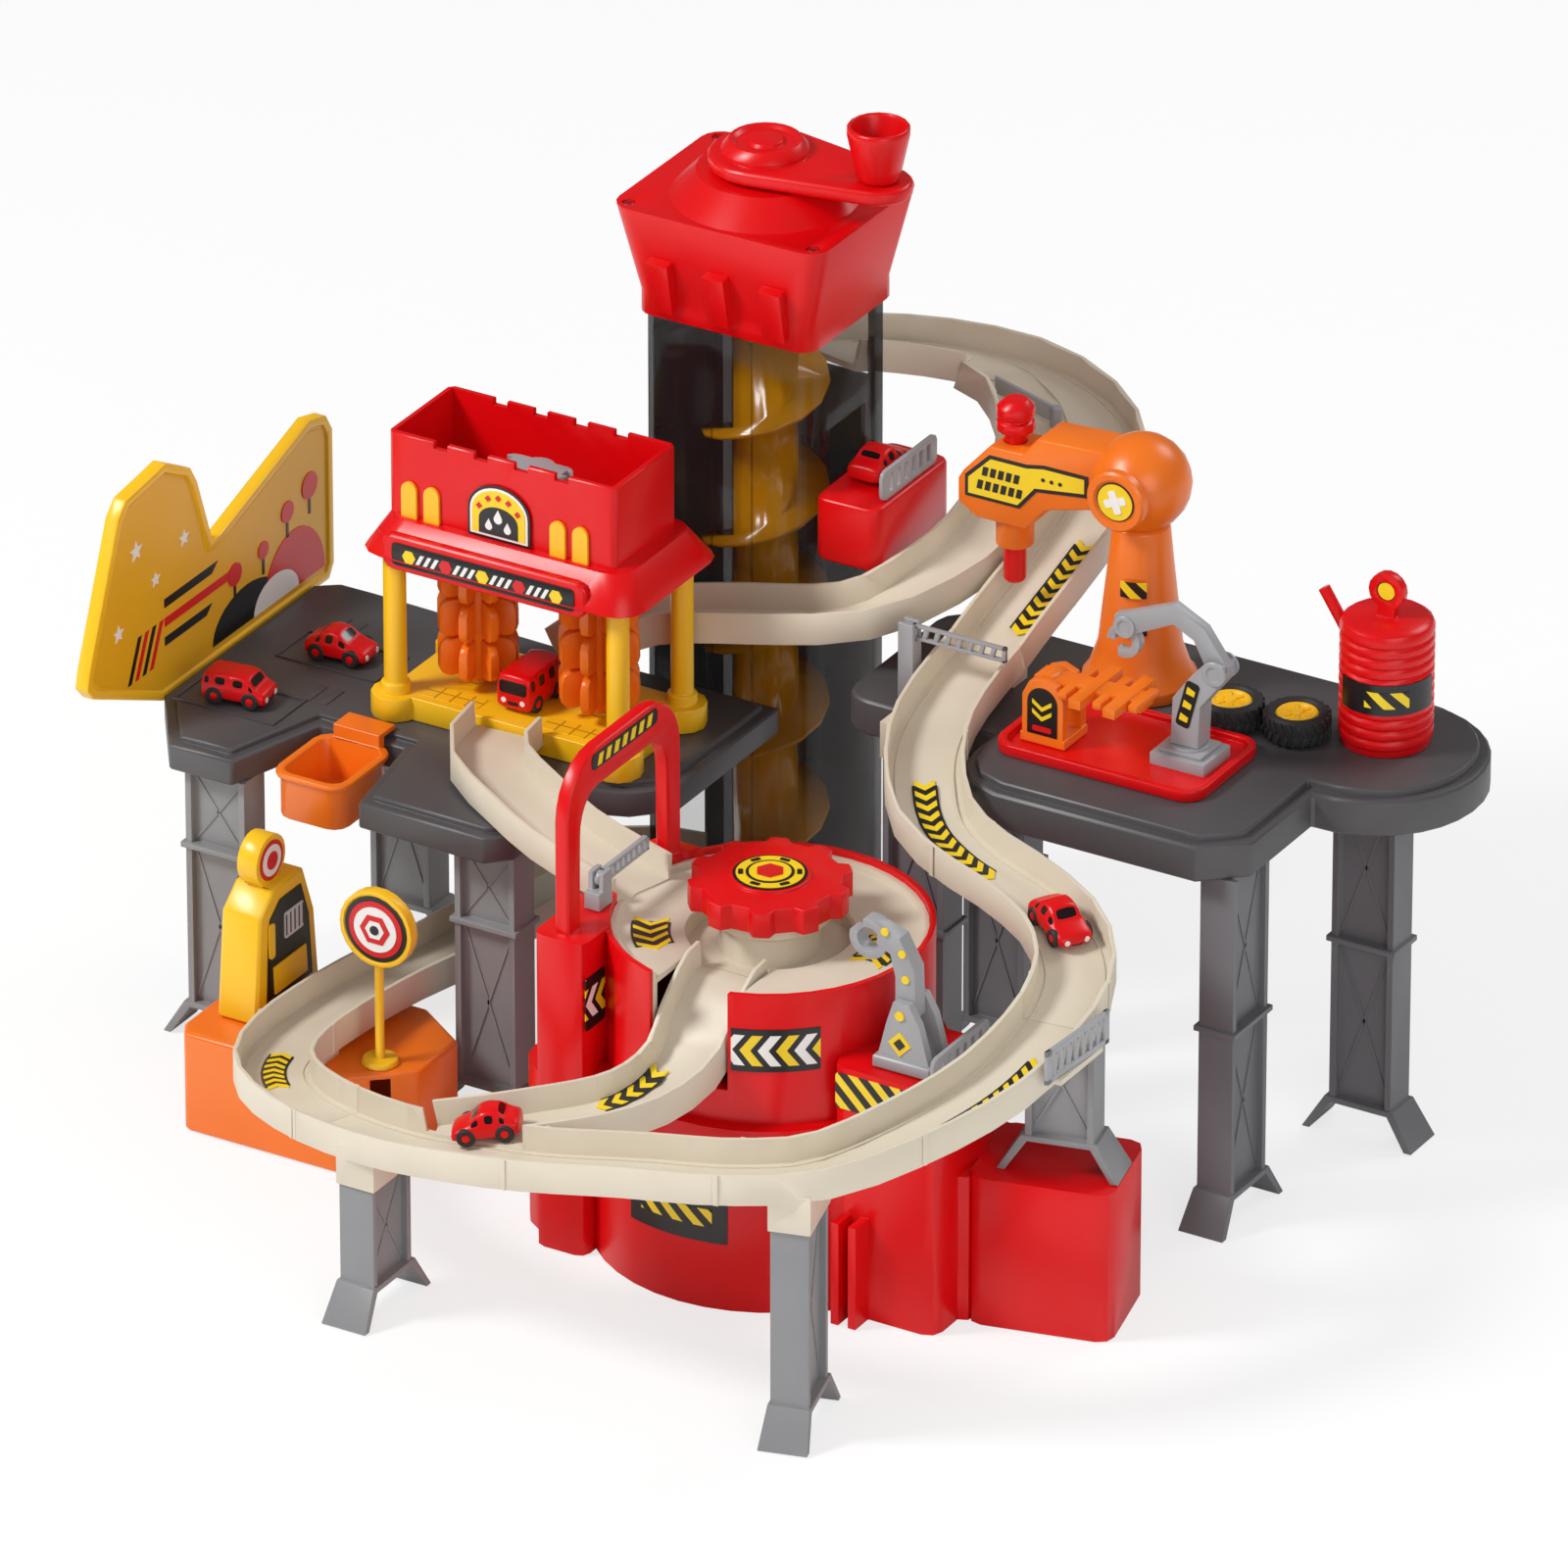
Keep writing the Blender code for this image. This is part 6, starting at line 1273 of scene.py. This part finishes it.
@dataclass
class GatesAndLoader(SubAssembly):
    """Both booms with their posts, and the loader beside the drum."""

    block_front: float = -319.0
    coats = ((LIGHT_GREY, 0.4, "gate_post_left gate_post_right loader_base loader_arm"),)

    def build(self, shop: Workshop) -> None:
        """Builds the booms, the loader's marks and the warning stripes.

        Args:
            shop: The shared node trees; not used here.
        """
        self.build_boom("left", (76.0, -293.0, 194.0), 90.0, 46.0)
        self.build_boom("right", (135.0, -84.0, 258.0), 0.0, 57.0)
        front = facing((252.0, self.block_front, 127.0), (0, -1, 0))
        plate("loader_block_film", rounded(46, 20, 2), front, HAZARD, "frame")
        look = facing((260.0, -308.5, 160.0), (0, -1, 0))
        layered("loader_base_marks", look,
                [([(-6.6, -4), (0, -11), (6.6, -4), (0, 3)], SUNK, 0.4, 0),
                 ([(-3.4, -4), (0, -7.4), (3.4, -4), (0, -0.6)], 0.3, 0.7, 1),
                 (disc(2.6, 24, (0, 12)), SUNK, 0.8, 0)], [YELLOW_FILM, BLACK], "frame")
        arm = facing((258.0, -302.8, 190.0), (0, -1, 0))
        layered("loader_arm_marks", arm,
                [(disc(2.2, 24, spot), SUNK, 0.8, 0) for spot in ((0, -16), (2, 0), (0, 14), (-10, 24))],
                [YELLOW_FILM], "loader")

    @staticmethod
    def build_boom(side: str, pivot: Point, heading: float, length: float) -> None:
        """Builds one slotted boom with the round eye on its hinge.

        Args:
            side: "left" or "right".
            pivot: Place of its hinge.
            heading: Direction of the boom, in degrees about Z.
            length: Distance from the hinge to its tip.
        """
        place = Matrix.Translation(pivot) @ turned(heading)
        mesh = bmesh.new()
        eye = place @ turned(90, "X")
        add_lathe(mesh, [(0, -1.5), (3.7, -1.5), (4.1, -1.1), (4.1, 1.1), (3.7, 1.5), (0, 1.5)], eye, 28)
        add_slotted(mesh, (length - 2.0, 2.8, 8.4), place @ at(length / 2 + 1.0, 0, -4.2), 8)
        boom = finish_mesh(f"boom_{side}_slotted", mesh, [LIGHT_GREY], side + "_boom")
        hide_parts("boom_" + side)


@dataclass
class FuelStop(SubAssembly):
    """Orange base with the yellow pump and the round sign."""

    pump_x: float = -136.0
    pump_y: float = -270.0
    sign_x: float = -50.0
    sign_y: float = -303.0
    coats = ((ORANGE, 0.8, "orange_base"), (YELLOW, 0.7, "fuel_pump"), (YELLOW, 0.4, "round_sign"))

    def build(self, shop: Workshop) -> None:
        """Builds the pump's panel, its round top, its nozzle and the sign's face.

        Args:
            shop: The shared node trees; not used here.
        """
        look = facing((self.pump_x + 12.0, self.pump_y, 58.3), (1, 0, 0))
        mesh = bmesh.new()
        panel = [(-24, 8), (20, 8), (17, 44), (10, 64), (-10, 64), (-20, 56), (-22, 40)]
        add_plate(mesh, panel, look, SUNK, 0.6, 0)
        add_plate(mesh, [(-17, 12), (14, 12), (13, 28), (-18, 28)], look, 0.5, 1.4, 1)
        add_plate(mesh, rounded(5, 20, 2), look @ at(-19.5, 44, 0), 0.5, 1.6, 1)
        finish_mesh("pump_panel", mesh, [BLACK, YELLOW], "frame")
        plate("pump_display", rounded(18, 15, 1.5), look @ at(2, 47, 0.5), DISPLAY, "frame", 0.7)
        top = facing((self.pump_x + 6.0, self.pump_y - 8, 142.3), (1, 0, 0))
        layered("pump_top_film", top,
                [(disc(11), SUNK, 0.4, 0), (disc(8.6), 0.3, 0.7, 1), (disc(5.0), 0.6, 1.0, 0)],
                [RED_FILM, WHITE], "frame")
        face = facing((self.sign_x, self.sign_y - 3.4, 136.3), (0, -1, 0))
        layered("round_sign_face", face,
                [(disc(18.4), -1.2, -0.6, 0), (disc(15.8), -0.7, -0.2, 1), (disc(12.6), -0.3, 0.2, 2),
                 (disc(9.0, 6), 0.1, 0.5, 1), (disc(5.6, 6), 0.4, 0.8, 2), (disc(2.6, 24), 0.7, 1.1, 0)],
                [BLACK, RED_FILM, WHITE], "frame")


@dataclass
class RepairDeck(SubAssembly):
    """Red tray with the tipper and crane, the robot, two tyres and the oil drum."""

    robot: Point = (233.0, -18.0, 339.0)
    reach: float = 74.0
    tyres: dict[str, tuple[float, float]] = field(default_factory=lambda: {
        "tyre_left": (295.0, -34.0), "tyre_right": (331.0, -29.0)})
    oil: Point = (371.0, -8.0)
    top: float = 224.3
    tipper: Point = (228.0, -98.0, 260.3)
    crane: float = -85.0
    coats = ((RED, 0.5, "repair_tray"), (ORANGE, 0.6, "tipper_stand tipper_beam robot_body robot_arm"),
             (LIGHT_GREY, 0.5, "crane_post crane_arm"), (RED, 0.4, "robot_probe oil_drum"))

    def build(self, shop: Workshop) -> None:
        """Builds the trim of the repair deck.

        Args:
            shop: The shared node trees.
        """
        self.build_robot()
        self.build_tipper()
        self.build_crane()
        for name, (x, y) in self.tyres.items():
            self.build_tyre(shop, name, x, y)
        self.build_oil_label()

    def build_robot(self) -> None:
        """Builds the boom's plate, the ball's emblem and the bands on the neck."""
        x, y, z = self.robot
        look = facing((x - self.reach, y - 13.0, z), (0, -1, 0))
        layers = [([(-22, -26), (10, -26), (20, -14), (50, -10), (50, 2), (24, 2), (14, 0), (-8, 0), (-22, -14)],
                   SUNK, 0.5, 0),
                  ([(-20, -24), (9, -24), (19, -12), (48, -8), (48, 0), (24, 0), (14, -2), (-7, -2), (-20, -15)],
                   0.4, 0.8, 1)]
        for start, count, low in ((-15, 6, -20), (-12, 5, -12)):
            for left in (start + index * 4.6 for index in range(count)):
                bar = [(left, low), (left + 3, low), (left + 4, low + 5), (left + 1, low + 5)]
                layers.append((bar, 0.7, 1.1, 0))
        layers += [(disc(1.1, 16, (along, -6)), 0.7, 1.1, 0) for along in (24, 29, 34)]
        layered("robot_boom_plate", look, layers, [BLACK, YELLOW_FILM], "robot")
        look = facing((x, y - 27.0, z), (0, -1, 0))
        mesh = bmesh.new()
        rim = [(0, 0.2), (11.6, 0.2), (12.4, 1.5), (15.4, 1.6), (16.6, 0.4), (16.6, -4), (0, -4)]
        add_lathe(mesh, rim, look, 48, 3)
        for radius, low, high, slot in ((10.8, 0.1, 0.6, 0), (10.0, 0.5, 0.9, 2)):
            add_plate(mesh, disc(radius), look, low, high, slot)
        for turn in (0, 90):
            add_plate(mesh, rounded(13.0, 4.4, 1.2), look @ turned(turn + 20), 0.8, 1.2 + turn * 0.002, 1)
        finish_mesh("robot_emblem", mesh, [BLACK, WHITE, YELLOW_FILM, ORANGE], "robot")
        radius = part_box("robot_body")[1].x / MM - x
        for index, (share, heights) in enumerate(((0.74, (262, 271)), (0.66, (282, 291)))):
            curved_patch(f"robot_band_{index}", (x, y), radius * share, (-92, -52), heights, HAZARD, "frame")

    def build_tipper(self) -> None:
        """Builds the tipper's bars and the patch on its stand."""
        x, y, z = self.tipper
        mesh = bmesh.new()
        for offset, length, lift in ((14, 34, 1.0), (34, 34, 0.4), (52, 24, 1.0)):
            add_block(mesh, (5.5, length, 4.5), at(x + offset, y, z + lift), 1.2)
        finish_mesh("tipper_bars", mesh, [ORANGE], "tipper")
        low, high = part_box("tipper_stand")
        face = facing(((low.x + high.x) / 2 / MM, low.y / MM, (low.z + high.z) / 2 / MM + 2), (0, -1, 0))
        mesh = bmesh.new()
        dome = [(-8.6, -15), (8.6, -15)] + arc(8.6, 8.6, range(0, 181, 15), (0, 3))
        add_plate(mesh, dome, face, SUNK, 0.5, 0)
        for z in (-3.0, 2.5):
            chevron = [(-5.6, z + 2.4), (-5.6, z), (0, z - 4), (5.6, z), (5.6, z + 2.4), (0, z - 1.6)]
            add_plate(mesh, chevron, face, 0.4, 0.8, 1)
        add_plate(mesh, rounded(11, 3, 1), face @ at(0, -11.5, 0), 0.4, 0.8, 2)
        finish_mesh("tipper_patch", mesh, [BLACK, YELLOW_FILM, RED_FILM], "frame")

    def build_crane(self) -> None:
        """Builds the cover of the crane's foot, its bosses and its strip."""
        crane = self.crane
        foot = bmesh.new()
        for size, height in (((32.0, 28.0, 7.4), 230.1), ((25.0, 22.0, 2.4), 234.9)):
            add_block(foot, size, at(300.0, crane, height), 1.0)
        add_lathe(foot, [(0, 235), (10.2, 235), (10.2, 236.9), (9.6, 237.4), (0, 237.4)], at(300.0, crane), 36)
        finish_mesh("crane_foot_cover", foot, [LIGHT_GREY], "frame")
        for name, body, (px, pz), half, size in (("crane_elbow_bosses", "crane", (317.0, 283.0), 6.5, 6.8),
                                                 ("crane_hook_bosses", "jib", (263.0, 294.5), 3.0, 6.2)):
            mesh = bmesh.new()
            boss = [(0, -0.4), (size, -0.4), (size, 0.9), (size - 0.5, 1.4), (size * 0.62, 1.4),
                    (size * 0.55, 0.7), (0, 0.7)]
            for side in (-1, 1):
                add_lathe(mesh, boss, facing((px, crane + side * half, pz), (0, side, 0)), 32)
            finish_mesh(name, mesh, [LIGHT_GREY], body)
        strip = facing((302.0, crane - 6.5, 262.0), (0, -1, 0))
        dashes = [([(-2.4, z - 2), (2.4, z - 2), (2.4, z + 1), (-2.4, z + 2)], 0.3, 0.7, 1) for z in (-8, 0, 8)]
        layered("crane_strip", strip @ turned(-14), [(rounded(8, 27, 2), SUNK, 0.4, 0)] + dashes,
                [BLACK, YELLOW_FILM], "crane")

    def build_tyre(self, shop: Workshop, name: str, x: float, y: float) -> None:
        """Builds one treaded tyre with a yellow hub.

        Args:
            shop: The shared node trees.
            name: CAD node it stands for.
            x: Place of its axis.
            y: Place of its axis.
        """
        body = "left_tyre" if name == "tyre_left" else "right_tyre"
        place = at(x, y, self.top)
        mesh = bmesh.new()
        add_lathe(mesh, [(0, 0.2), (11, 0.2), (14.5, 0), (16.4, 1.6), (16.6, 4), (16.6, 11), (16.4, 13.4),
                         (14.8, 14.9), (12.6, 14.9), (11.4, 13.6), (11.2, 12.4), (0, 12.4)], place, 48)
        tyre = finish_mesh(name + "_rubber", mesh, [RUBBER], body)
        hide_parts(name)
        lug = bmesh.new()
        add_block(lug, (1.8, 2.0, 6.0), Matrix.Identity(4), 0.3)
        places = []
        for index in range(22):
            for row, height in ((0, 4.2), (0.5, 10.8)):
                turn = Matrix.Rotation(2 * math.pi * (index + row) / 22, 4, "Z")
                lean = turned(20 if row else -20, "X")
                places.append((place @ turn @ at(16.7, 0, height) @ lean, (1, 1, 1)))
        shop.repeat.build(name + "_tread", lug, places, RUBBER, body)
        hub = bmesh.new()
        add_lathe(hub, [(0, 12.3), (11.2, 12.3), (11.2, 13.0), (10.2, 13.9), (8.6, 13.9), (7.6, 13.0),
                        (3.6, 13.0), (3.0, 14.2), (0, 14.4)], place, 40)
        for index in range(6):
            turn = turned(60 * index)
            add_block(hub, (4.6, 1.8, 1.2), place @ turn @ at(5.8, 0, 13.3), 0.3)
        finish_mesh(name + "_hub", hub, [YELLOW], body)

    def build_oil_label(self) -> None:
        """Builds the black band on the oil drum and the disc in its ring."""
        x, y = self.oil
        curved_patch("oil_band", (x, y), 24.5, (-125, 5), (249, 266), BLACK, "barrel", 0.5)
        curved_patch("oil_band_marks", (x, y), 24.5, (-88, -34), (253, 262), HAZARD, "barrel", 0.8)
        face = facing((x, y - 2.6, 308.3), (0, -1, 0))
        layered("oil_ring_disc", face, [(disc(6.6), -2.4, -0.9, 0), (disc(4.8), -1.0, -0.5, 1)],
                [BLACK, YELLOW_FILM], "barrel")


class CarKind(Enum):
    """The three kinds of mini car."""

    CAR = "car"
    VAN = "van"
    BUS = "bus"


@dataclass
class MiniCar:
    """One red mini car with dark windows and four wheels, which rides on the body of its own name."""

    name: str
    kind: CarKind
    place: Matrix
    node: str
    wheel: float = 4.9

    def stations(self) -> list[tuple[float, float, float, float, float]]:
        """Returns (x, half width, belt height, roof height, roof half width) from tail to nose."""
        if self.kind is CarKind.VAN:
            return [(-18, 9.4, 9.6, 12.6, 8.2), (-17, 10.2, 10, 16.2, 8.4), (-12, 10.4, 10.2, 17, 8.4),
                    (-2, 10.4, 10.2, 17, 8.4), (8, 10.4, 10, 16.6, 8.2), (12.5, 10.3, 9.4, 10.4, 8.8),
                    (16.5, 10, 8.2, 9.4, 8.6), (18, 9.2, 6.6, 7.6, 8)]
        if self.kind is CarKind.BUS:
            return [(-18, 9.6, 11, 20, 8.8), (-17, 10.4, 11.4, 21.6, 9), (-10, 10.5, 11.4, 22, 9),
                    (0, 10.5, 11.4, 22, 9), (10, 10.5, 11.4, 22, 9), (17, 10.4, 11.2, 21.6, 9),
                    (18, 9.6, 10.6, 19.6, 8.8)]
        return [(-18, 8.8, 7.6, 8.8, 7.8), (-16.5, 10, 8.6, 10.6, 8.2), (-12, 10.5, 9.2, 12.4, 7.6),
                (-7, 10.5, 9.6, 16.4, 6.9), (1, 10.5, 9.6, 16.8, 6.9), (8, 10.4, 9.2, 11.2, 7.6),
                (14, 10, 8.2, 9.6, 7.6), (17, 9.2, 7, 8.2, 7), (18, 8, 5.6, 6.6, 6.2)]

    def glazed(self, index: int, count: int) -> tuple[bool, bool]:
        """Tells whether the side and the top of a bay are glass."""
        if self.kind is CarKind.BUS:
            return (0 < index < count - 2, False)
        if self.kind is CarKind.VAN:
            return (0 < index < 5, index == 4)
        return (2 <= index <= 4, index in (2, 4))

    def build(self) -> None:
        """Builds the body, the wheels and the lamps."""
        mesh = bmesh.new()
        rings = []
        for x, half, belt, roof, top in self.stations():
            ring = [(-half * 0.94, 2.4), (-half, 4.6), (-half, belt), (-top, roof), (0, roof + 0.5), (top, roof),
                    (half, belt), (half, 4.6), (half * 0.94, 2.4)]
            rings.append([mesh.verts.new((x, y, z)) for y, z in ring])
        count = len(rings[0])
        bays = len(rings)
        panes: list[list[bmesh.types.BMFace]] = []
        for bay, (first, second) in enumerate(zip(rings, rings[1:])):
            side_glass, top_glass = self.glazed(bay, bays)
            across: list[bmesh.types.BMFace] = []
            for k in range(count):
                nxt = (k + 1) % count
                face = mesh.faces.new((first[k], second[k], second[nxt], first[nxt]))
                if k in (2, 5) and side_glass:
                    panes.append([face])
                elif k in (3, 4) and top_glass:
                    across.append(face)
            panes.extend([across] if across else [])
        for face in (face for pane in panes for face in pane):
            face.material_index = 1
        mesh.faces.new(rings[0])
        mesh.faces.new(rings[-1][::-1])
        bmesh.ops.recalc_face_normals(mesh, faces=mesh.faces)
        for pane in panes:
            framed = bmesh.ops.inset_region(mesh, faces=pane, thickness=0.5, depth=-0.15, use_even_offset=True)
            for face in framed["faces"]:
                face.material_index = 0
        mesh.transform(self.place)
        piece = finish_mesh(self.name + "_body", mesh, [RED, WINDOW], self.name)
        subdivide(piece, 2)
        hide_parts(self.node)
        self.build_wheels()
        self.build_lamps()

    def build_wheels(self) -> None:
        """Builds four wheels with their hubs."""
        mesh = bmesh.new()
        r = self.wheel
        tyre = [(0, 0), (r - 0.6, 0), (r, 0.6), (r, 3.1), (r - 0.7, 3.8), (2.6, 3.8), (2.3, 3.2), (0, 3.2)]
        hub = [(0, 3.1), (2.2, 3.1), (2.2, 3.6), (1.3, 4.0), (0, 4.0)]
        for x in (-10, 10):
            for side in (-1, 1):
                place = self.place @ at(x, side * 7.2, r) @ turned(-90 * side, "X")
                add_lathe(mesh, tyre, place, 28, 0)
                add_lathe(mesh, hub, place, 20, 1)
        finish_mesh(self.name + "_wheels", mesh, [RUBBER, RED], self.name)

    def build_lamps(self) -> None:
        """Builds the two lamps, a dark grille and the bus's windscreen at the nose."""
        nose = self.stations()[-1]
        height = 7.2 if self.kind is CarKind.BUS else 5.6
        mesh = bmesh.new()
        front = self.place @ facing((nose[0] - 0.9, 0, height), (1, 0, 0))
        for side in (-1, 1):
            add_plate(mesh, disc(1.5, 20, (side * 5.6, 0)), front, -0.6, 0.9, 0)
        add_plate(mesh, rounded(6.4, 2.2, 0.8), front @ at(0, -1.2, 0), -0.6, 0.8, 1)
        if self.kind is CarKind.BUS:
            screen = self.place @ facing((nose[0] - 0.9, 0, 15.0), (1, 0, 0))
            add_plate(mesh, rounded(16.0, 7.2, 1.8), screen, -0.6, 0.9, 2)
        finish_mesh(self.name + "_lamps", mesh, [WHITE, BLACK, WINDOW], self.name)


def subdivide(piece: bpy.types.Object, levels: int) -> None:
    """Rounds a piece by subdivision, the same in view and render."""
    modifier = piece.modifiers.new("round", "SUBSURF")
    modifier.levels = levels
    modifier.render_levels = levels


@dataclass
class CarPark:
    """All the mini cars, parked or on the lanes."""

    lanes: Lanes
    deck: float = 174.3
    station: float = 187.6
    side_box: float = 292.3
    clearance: float = 0.5

    def on_lane(self, points: list[Point], node: str) -> Matrix:
        """Returns the place of a car that follows a lane where its CAD node stands.

        Args:
            points: The lane's route.
            node: The car's CAD node.
        """
        low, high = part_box(node)
        middle = (low + high) / (2 * MM)
        route = smooth_route(points, 10.0)
        index = min(range(1, len(route) - 1), key=lambda i: (route[i] - middle).to_2d().length)
        before, here, after = route[index - 1:index + 2]
        ahead = (after - before).normalized()
        here = here + ahead * (middle - here).to_2d().dot(ahead.to_2d())
        heading = math.atan2(ahead.y, ahead.x)
        pitch = -math.asin(ahead.z)
        return (at(here.x, here.y, here.z - self.lanes.depth + self.clearance)
                @ Matrix.Rotation(heading, 4, "Z") @ Matrix.Rotation(pitch, 4, "Y"))

    def build(self) -> None:
        """Builds every car."""
        parked = ((CarKind.VAN, "van", (-206, -186, self.deck, 8), "deck_van"),
                  (CarKind.CAR, "parked_car", (-186, -118, self.deck, 4), "deck_car"),
                  (CarKind.BUS, "bus", (-62, -133, self.station, -90), "wash_bus"),
                  (CarKind.CAR, "landing_car", (66, 4, self.side_box, 90), "roof_car"))
        for kind, name, (x, y, z, heading), node in parked:
            MiniCar(name, kind, at(x, y, z) @ turned(heading), node).build()
        for name, route, node in (("corner_car", self.lanes.gate_route, "slope_car"),
                                  ("lane_car", self.lanes.outlet_route, "front_car")):
            MiniCar(name, CarKind.CAR, self.on_lane(route, node), node).build()


@dataclass
class Stage:
    """Camera, lamps, floor and backdrop."""

    azimuth: float = 30.5
    elevation: float = 27.5
    distance: float = 9.0
    lens: float = 405.0
    target: tuple[float, float, float] = (9.5, 85.0, 252.0)

    def build(self) -> None:
        """Builds the whole stage."""
        az, el = math.radians(self.azimuth), math.radians(self.elevation)
        back = Vector((math.sin(az) * math.cos(el), -math.cos(az) * math.cos(el), math.sin(el)))
        right = Vector((math.cos(az), math.sin(az), 0))
        up = back.cross(right)
        aim = (right * self.target[0] + up * self.target[1] + back * self.target[2]) * MM
        data = bpy.data.cameras.new("camera")
        data.lens = self.lens
        data.sensor_width = 36.0
        data.clip_end = 40.0
        camera = bpy.data.objects.new("camera", data)
        camera.matrix_world = (Matrix.Translation(aim + back * self.distance)
                               @ Matrix((right, up, back)).transposed().to_4x4())
        bpy.context.scene.collection.objects.link(camera)
        bpy.context.scene.camera = camera
        self.lamps()
        self.floor()
        bpy.context.scene.view_settings.view_transform = "Standard"

    @staticmethod
    def lamps() -> None:
        """Adds three soft boxes and an even sky."""
        boxes = (("key", (-1.5, -1.7, 2.4), 0.8, 66.0), ("fill", (1.9, -1.6, 1.2), 1.6, 15.0),
                 ("rim", (1.0, 1.9, 2.1), 1.2, 18.0))
        for name, place, size, watts in boxes:
            data = bpy.data.lights.new(name, "AREA")
            data.shape = "DISK"
            data.size = size
            data.energy = watts
            lamp = bpy.data.objects.new(name, data)
            lamp.location = place
            lamp.rotation_euler = (Vector((0.05, -0.2, 0.2)) - Vector(place)).to_track_quat("-Z", "Y").to_euler()
            bpy.context.scene.collection.objects.link(lamp)
        world = bpy.data.worlds.new("studio")
        world.use_nodes = True
        tree = world.node_tree
        tree.nodes.clear()
        seen, rays = seen_directly(tree)
        soft = add(tree, "ShaderNodeMapRange", {"To Min": DIFFUSE_SKY, "To Max": GLOSSY_SKY},
                   {"Value": rays["Is Glossy Ray"]})
        level = add(tree, "ShaderNodeMath", {"operation": "MAXIMUM"},
                    {0: seen, 1: soft.outputs["Result"]})
        sky = add(tree, "ShaderNodeBackground", {"Color": (1, 1, 1, 1)}, {"Strength": level.outputs[0]})
        add(tree, "ShaderNodeOutputWorld", links={"Surface": sky.outputs["Background"]})
        bpy.context.scene.world = world

    @staticmethod
    def floor() -> None:
        """Adds the pale floor, which keeps the shadow."""
        mesh = bmesh.new()
        bmesh.ops.create_grid(mesh, x_segments=8, y_segments=8, size=6.0)
        data = bpy.data.meshes.new("studio_floor")
        mesh.to_mesh(data)
        mesh.free()
        material, tree, shader = fresh_material("studio_paper")
        place = add(tree, "ShaderNodeTexCoord").outputs["Object"]
        fibre = add(tree, "ShaderNodeTexNoise", {"Scale": 60.0, "Detail": 2.0}, {"Vector": place})
        tint = add(tree, "ShaderNodeMix", {"data_type": "RGBA", 6: linear("#ffffff"), 7: linear("#fdfdfd")},
                   {0: fibre.outputs["Fac"]})
        tree.links.new(tint.outputs[2], shader.inputs["Base Color"])
        shader.inputs["Roughness"].default_value = 0.9
        shader.inputs["Specular IOR Level"].default_value = 0.0
        seen, _ = seen_directly(tree)
        share = add(tree, "ShaderNodeMath", {"operation": "MULTIPLY", 1: PAPER_GLOW}, {0: seen})
        glow = add(tree, "ShaderNodeEmission", {"Color": (1, 1, 1, 1), "Strength": 1.0})
        paper = add(tree, "ShaderNodeMixShader",
                    links={0: share.outputs[0], 1: shader.outputs["BSDF"], 2: glow.outputs["Emission"]})
        sheet = next(n for n in tree.nodes if n.bl_idname == "ShaderNodeOutputMaterial")
        tree.links.new(paper.outputs["Shader"], sheet.inputs["Surface"])
        data.materials.append(material)
        floor = bpy.data.objects.new("studio_floor", data)
        floor.location.z = -0.0005
        bpy.context.scene.collection.objects.link(floor)


def main() -> None:
    """Builds the stage and every sub-assembly in order."""
    logging.basicConfig(level=logging.INFO, format="%(name)s: %(message)s")
    shop = Workshop()
    Stage().build()
    lanes = Lanes()
    for group in (Tower(), lanes, Decks(), WashStation(), Drum(), GatesAndLoader(), FuelStop(), RepairDeck()):
        LOG.info("building %s", type(group).__name__)
        group.dress()
        group.build(shop)
    CarPark(lanes).build()
    bpy.context.view_layer.update()


if __name__ == "__main__":
    main()
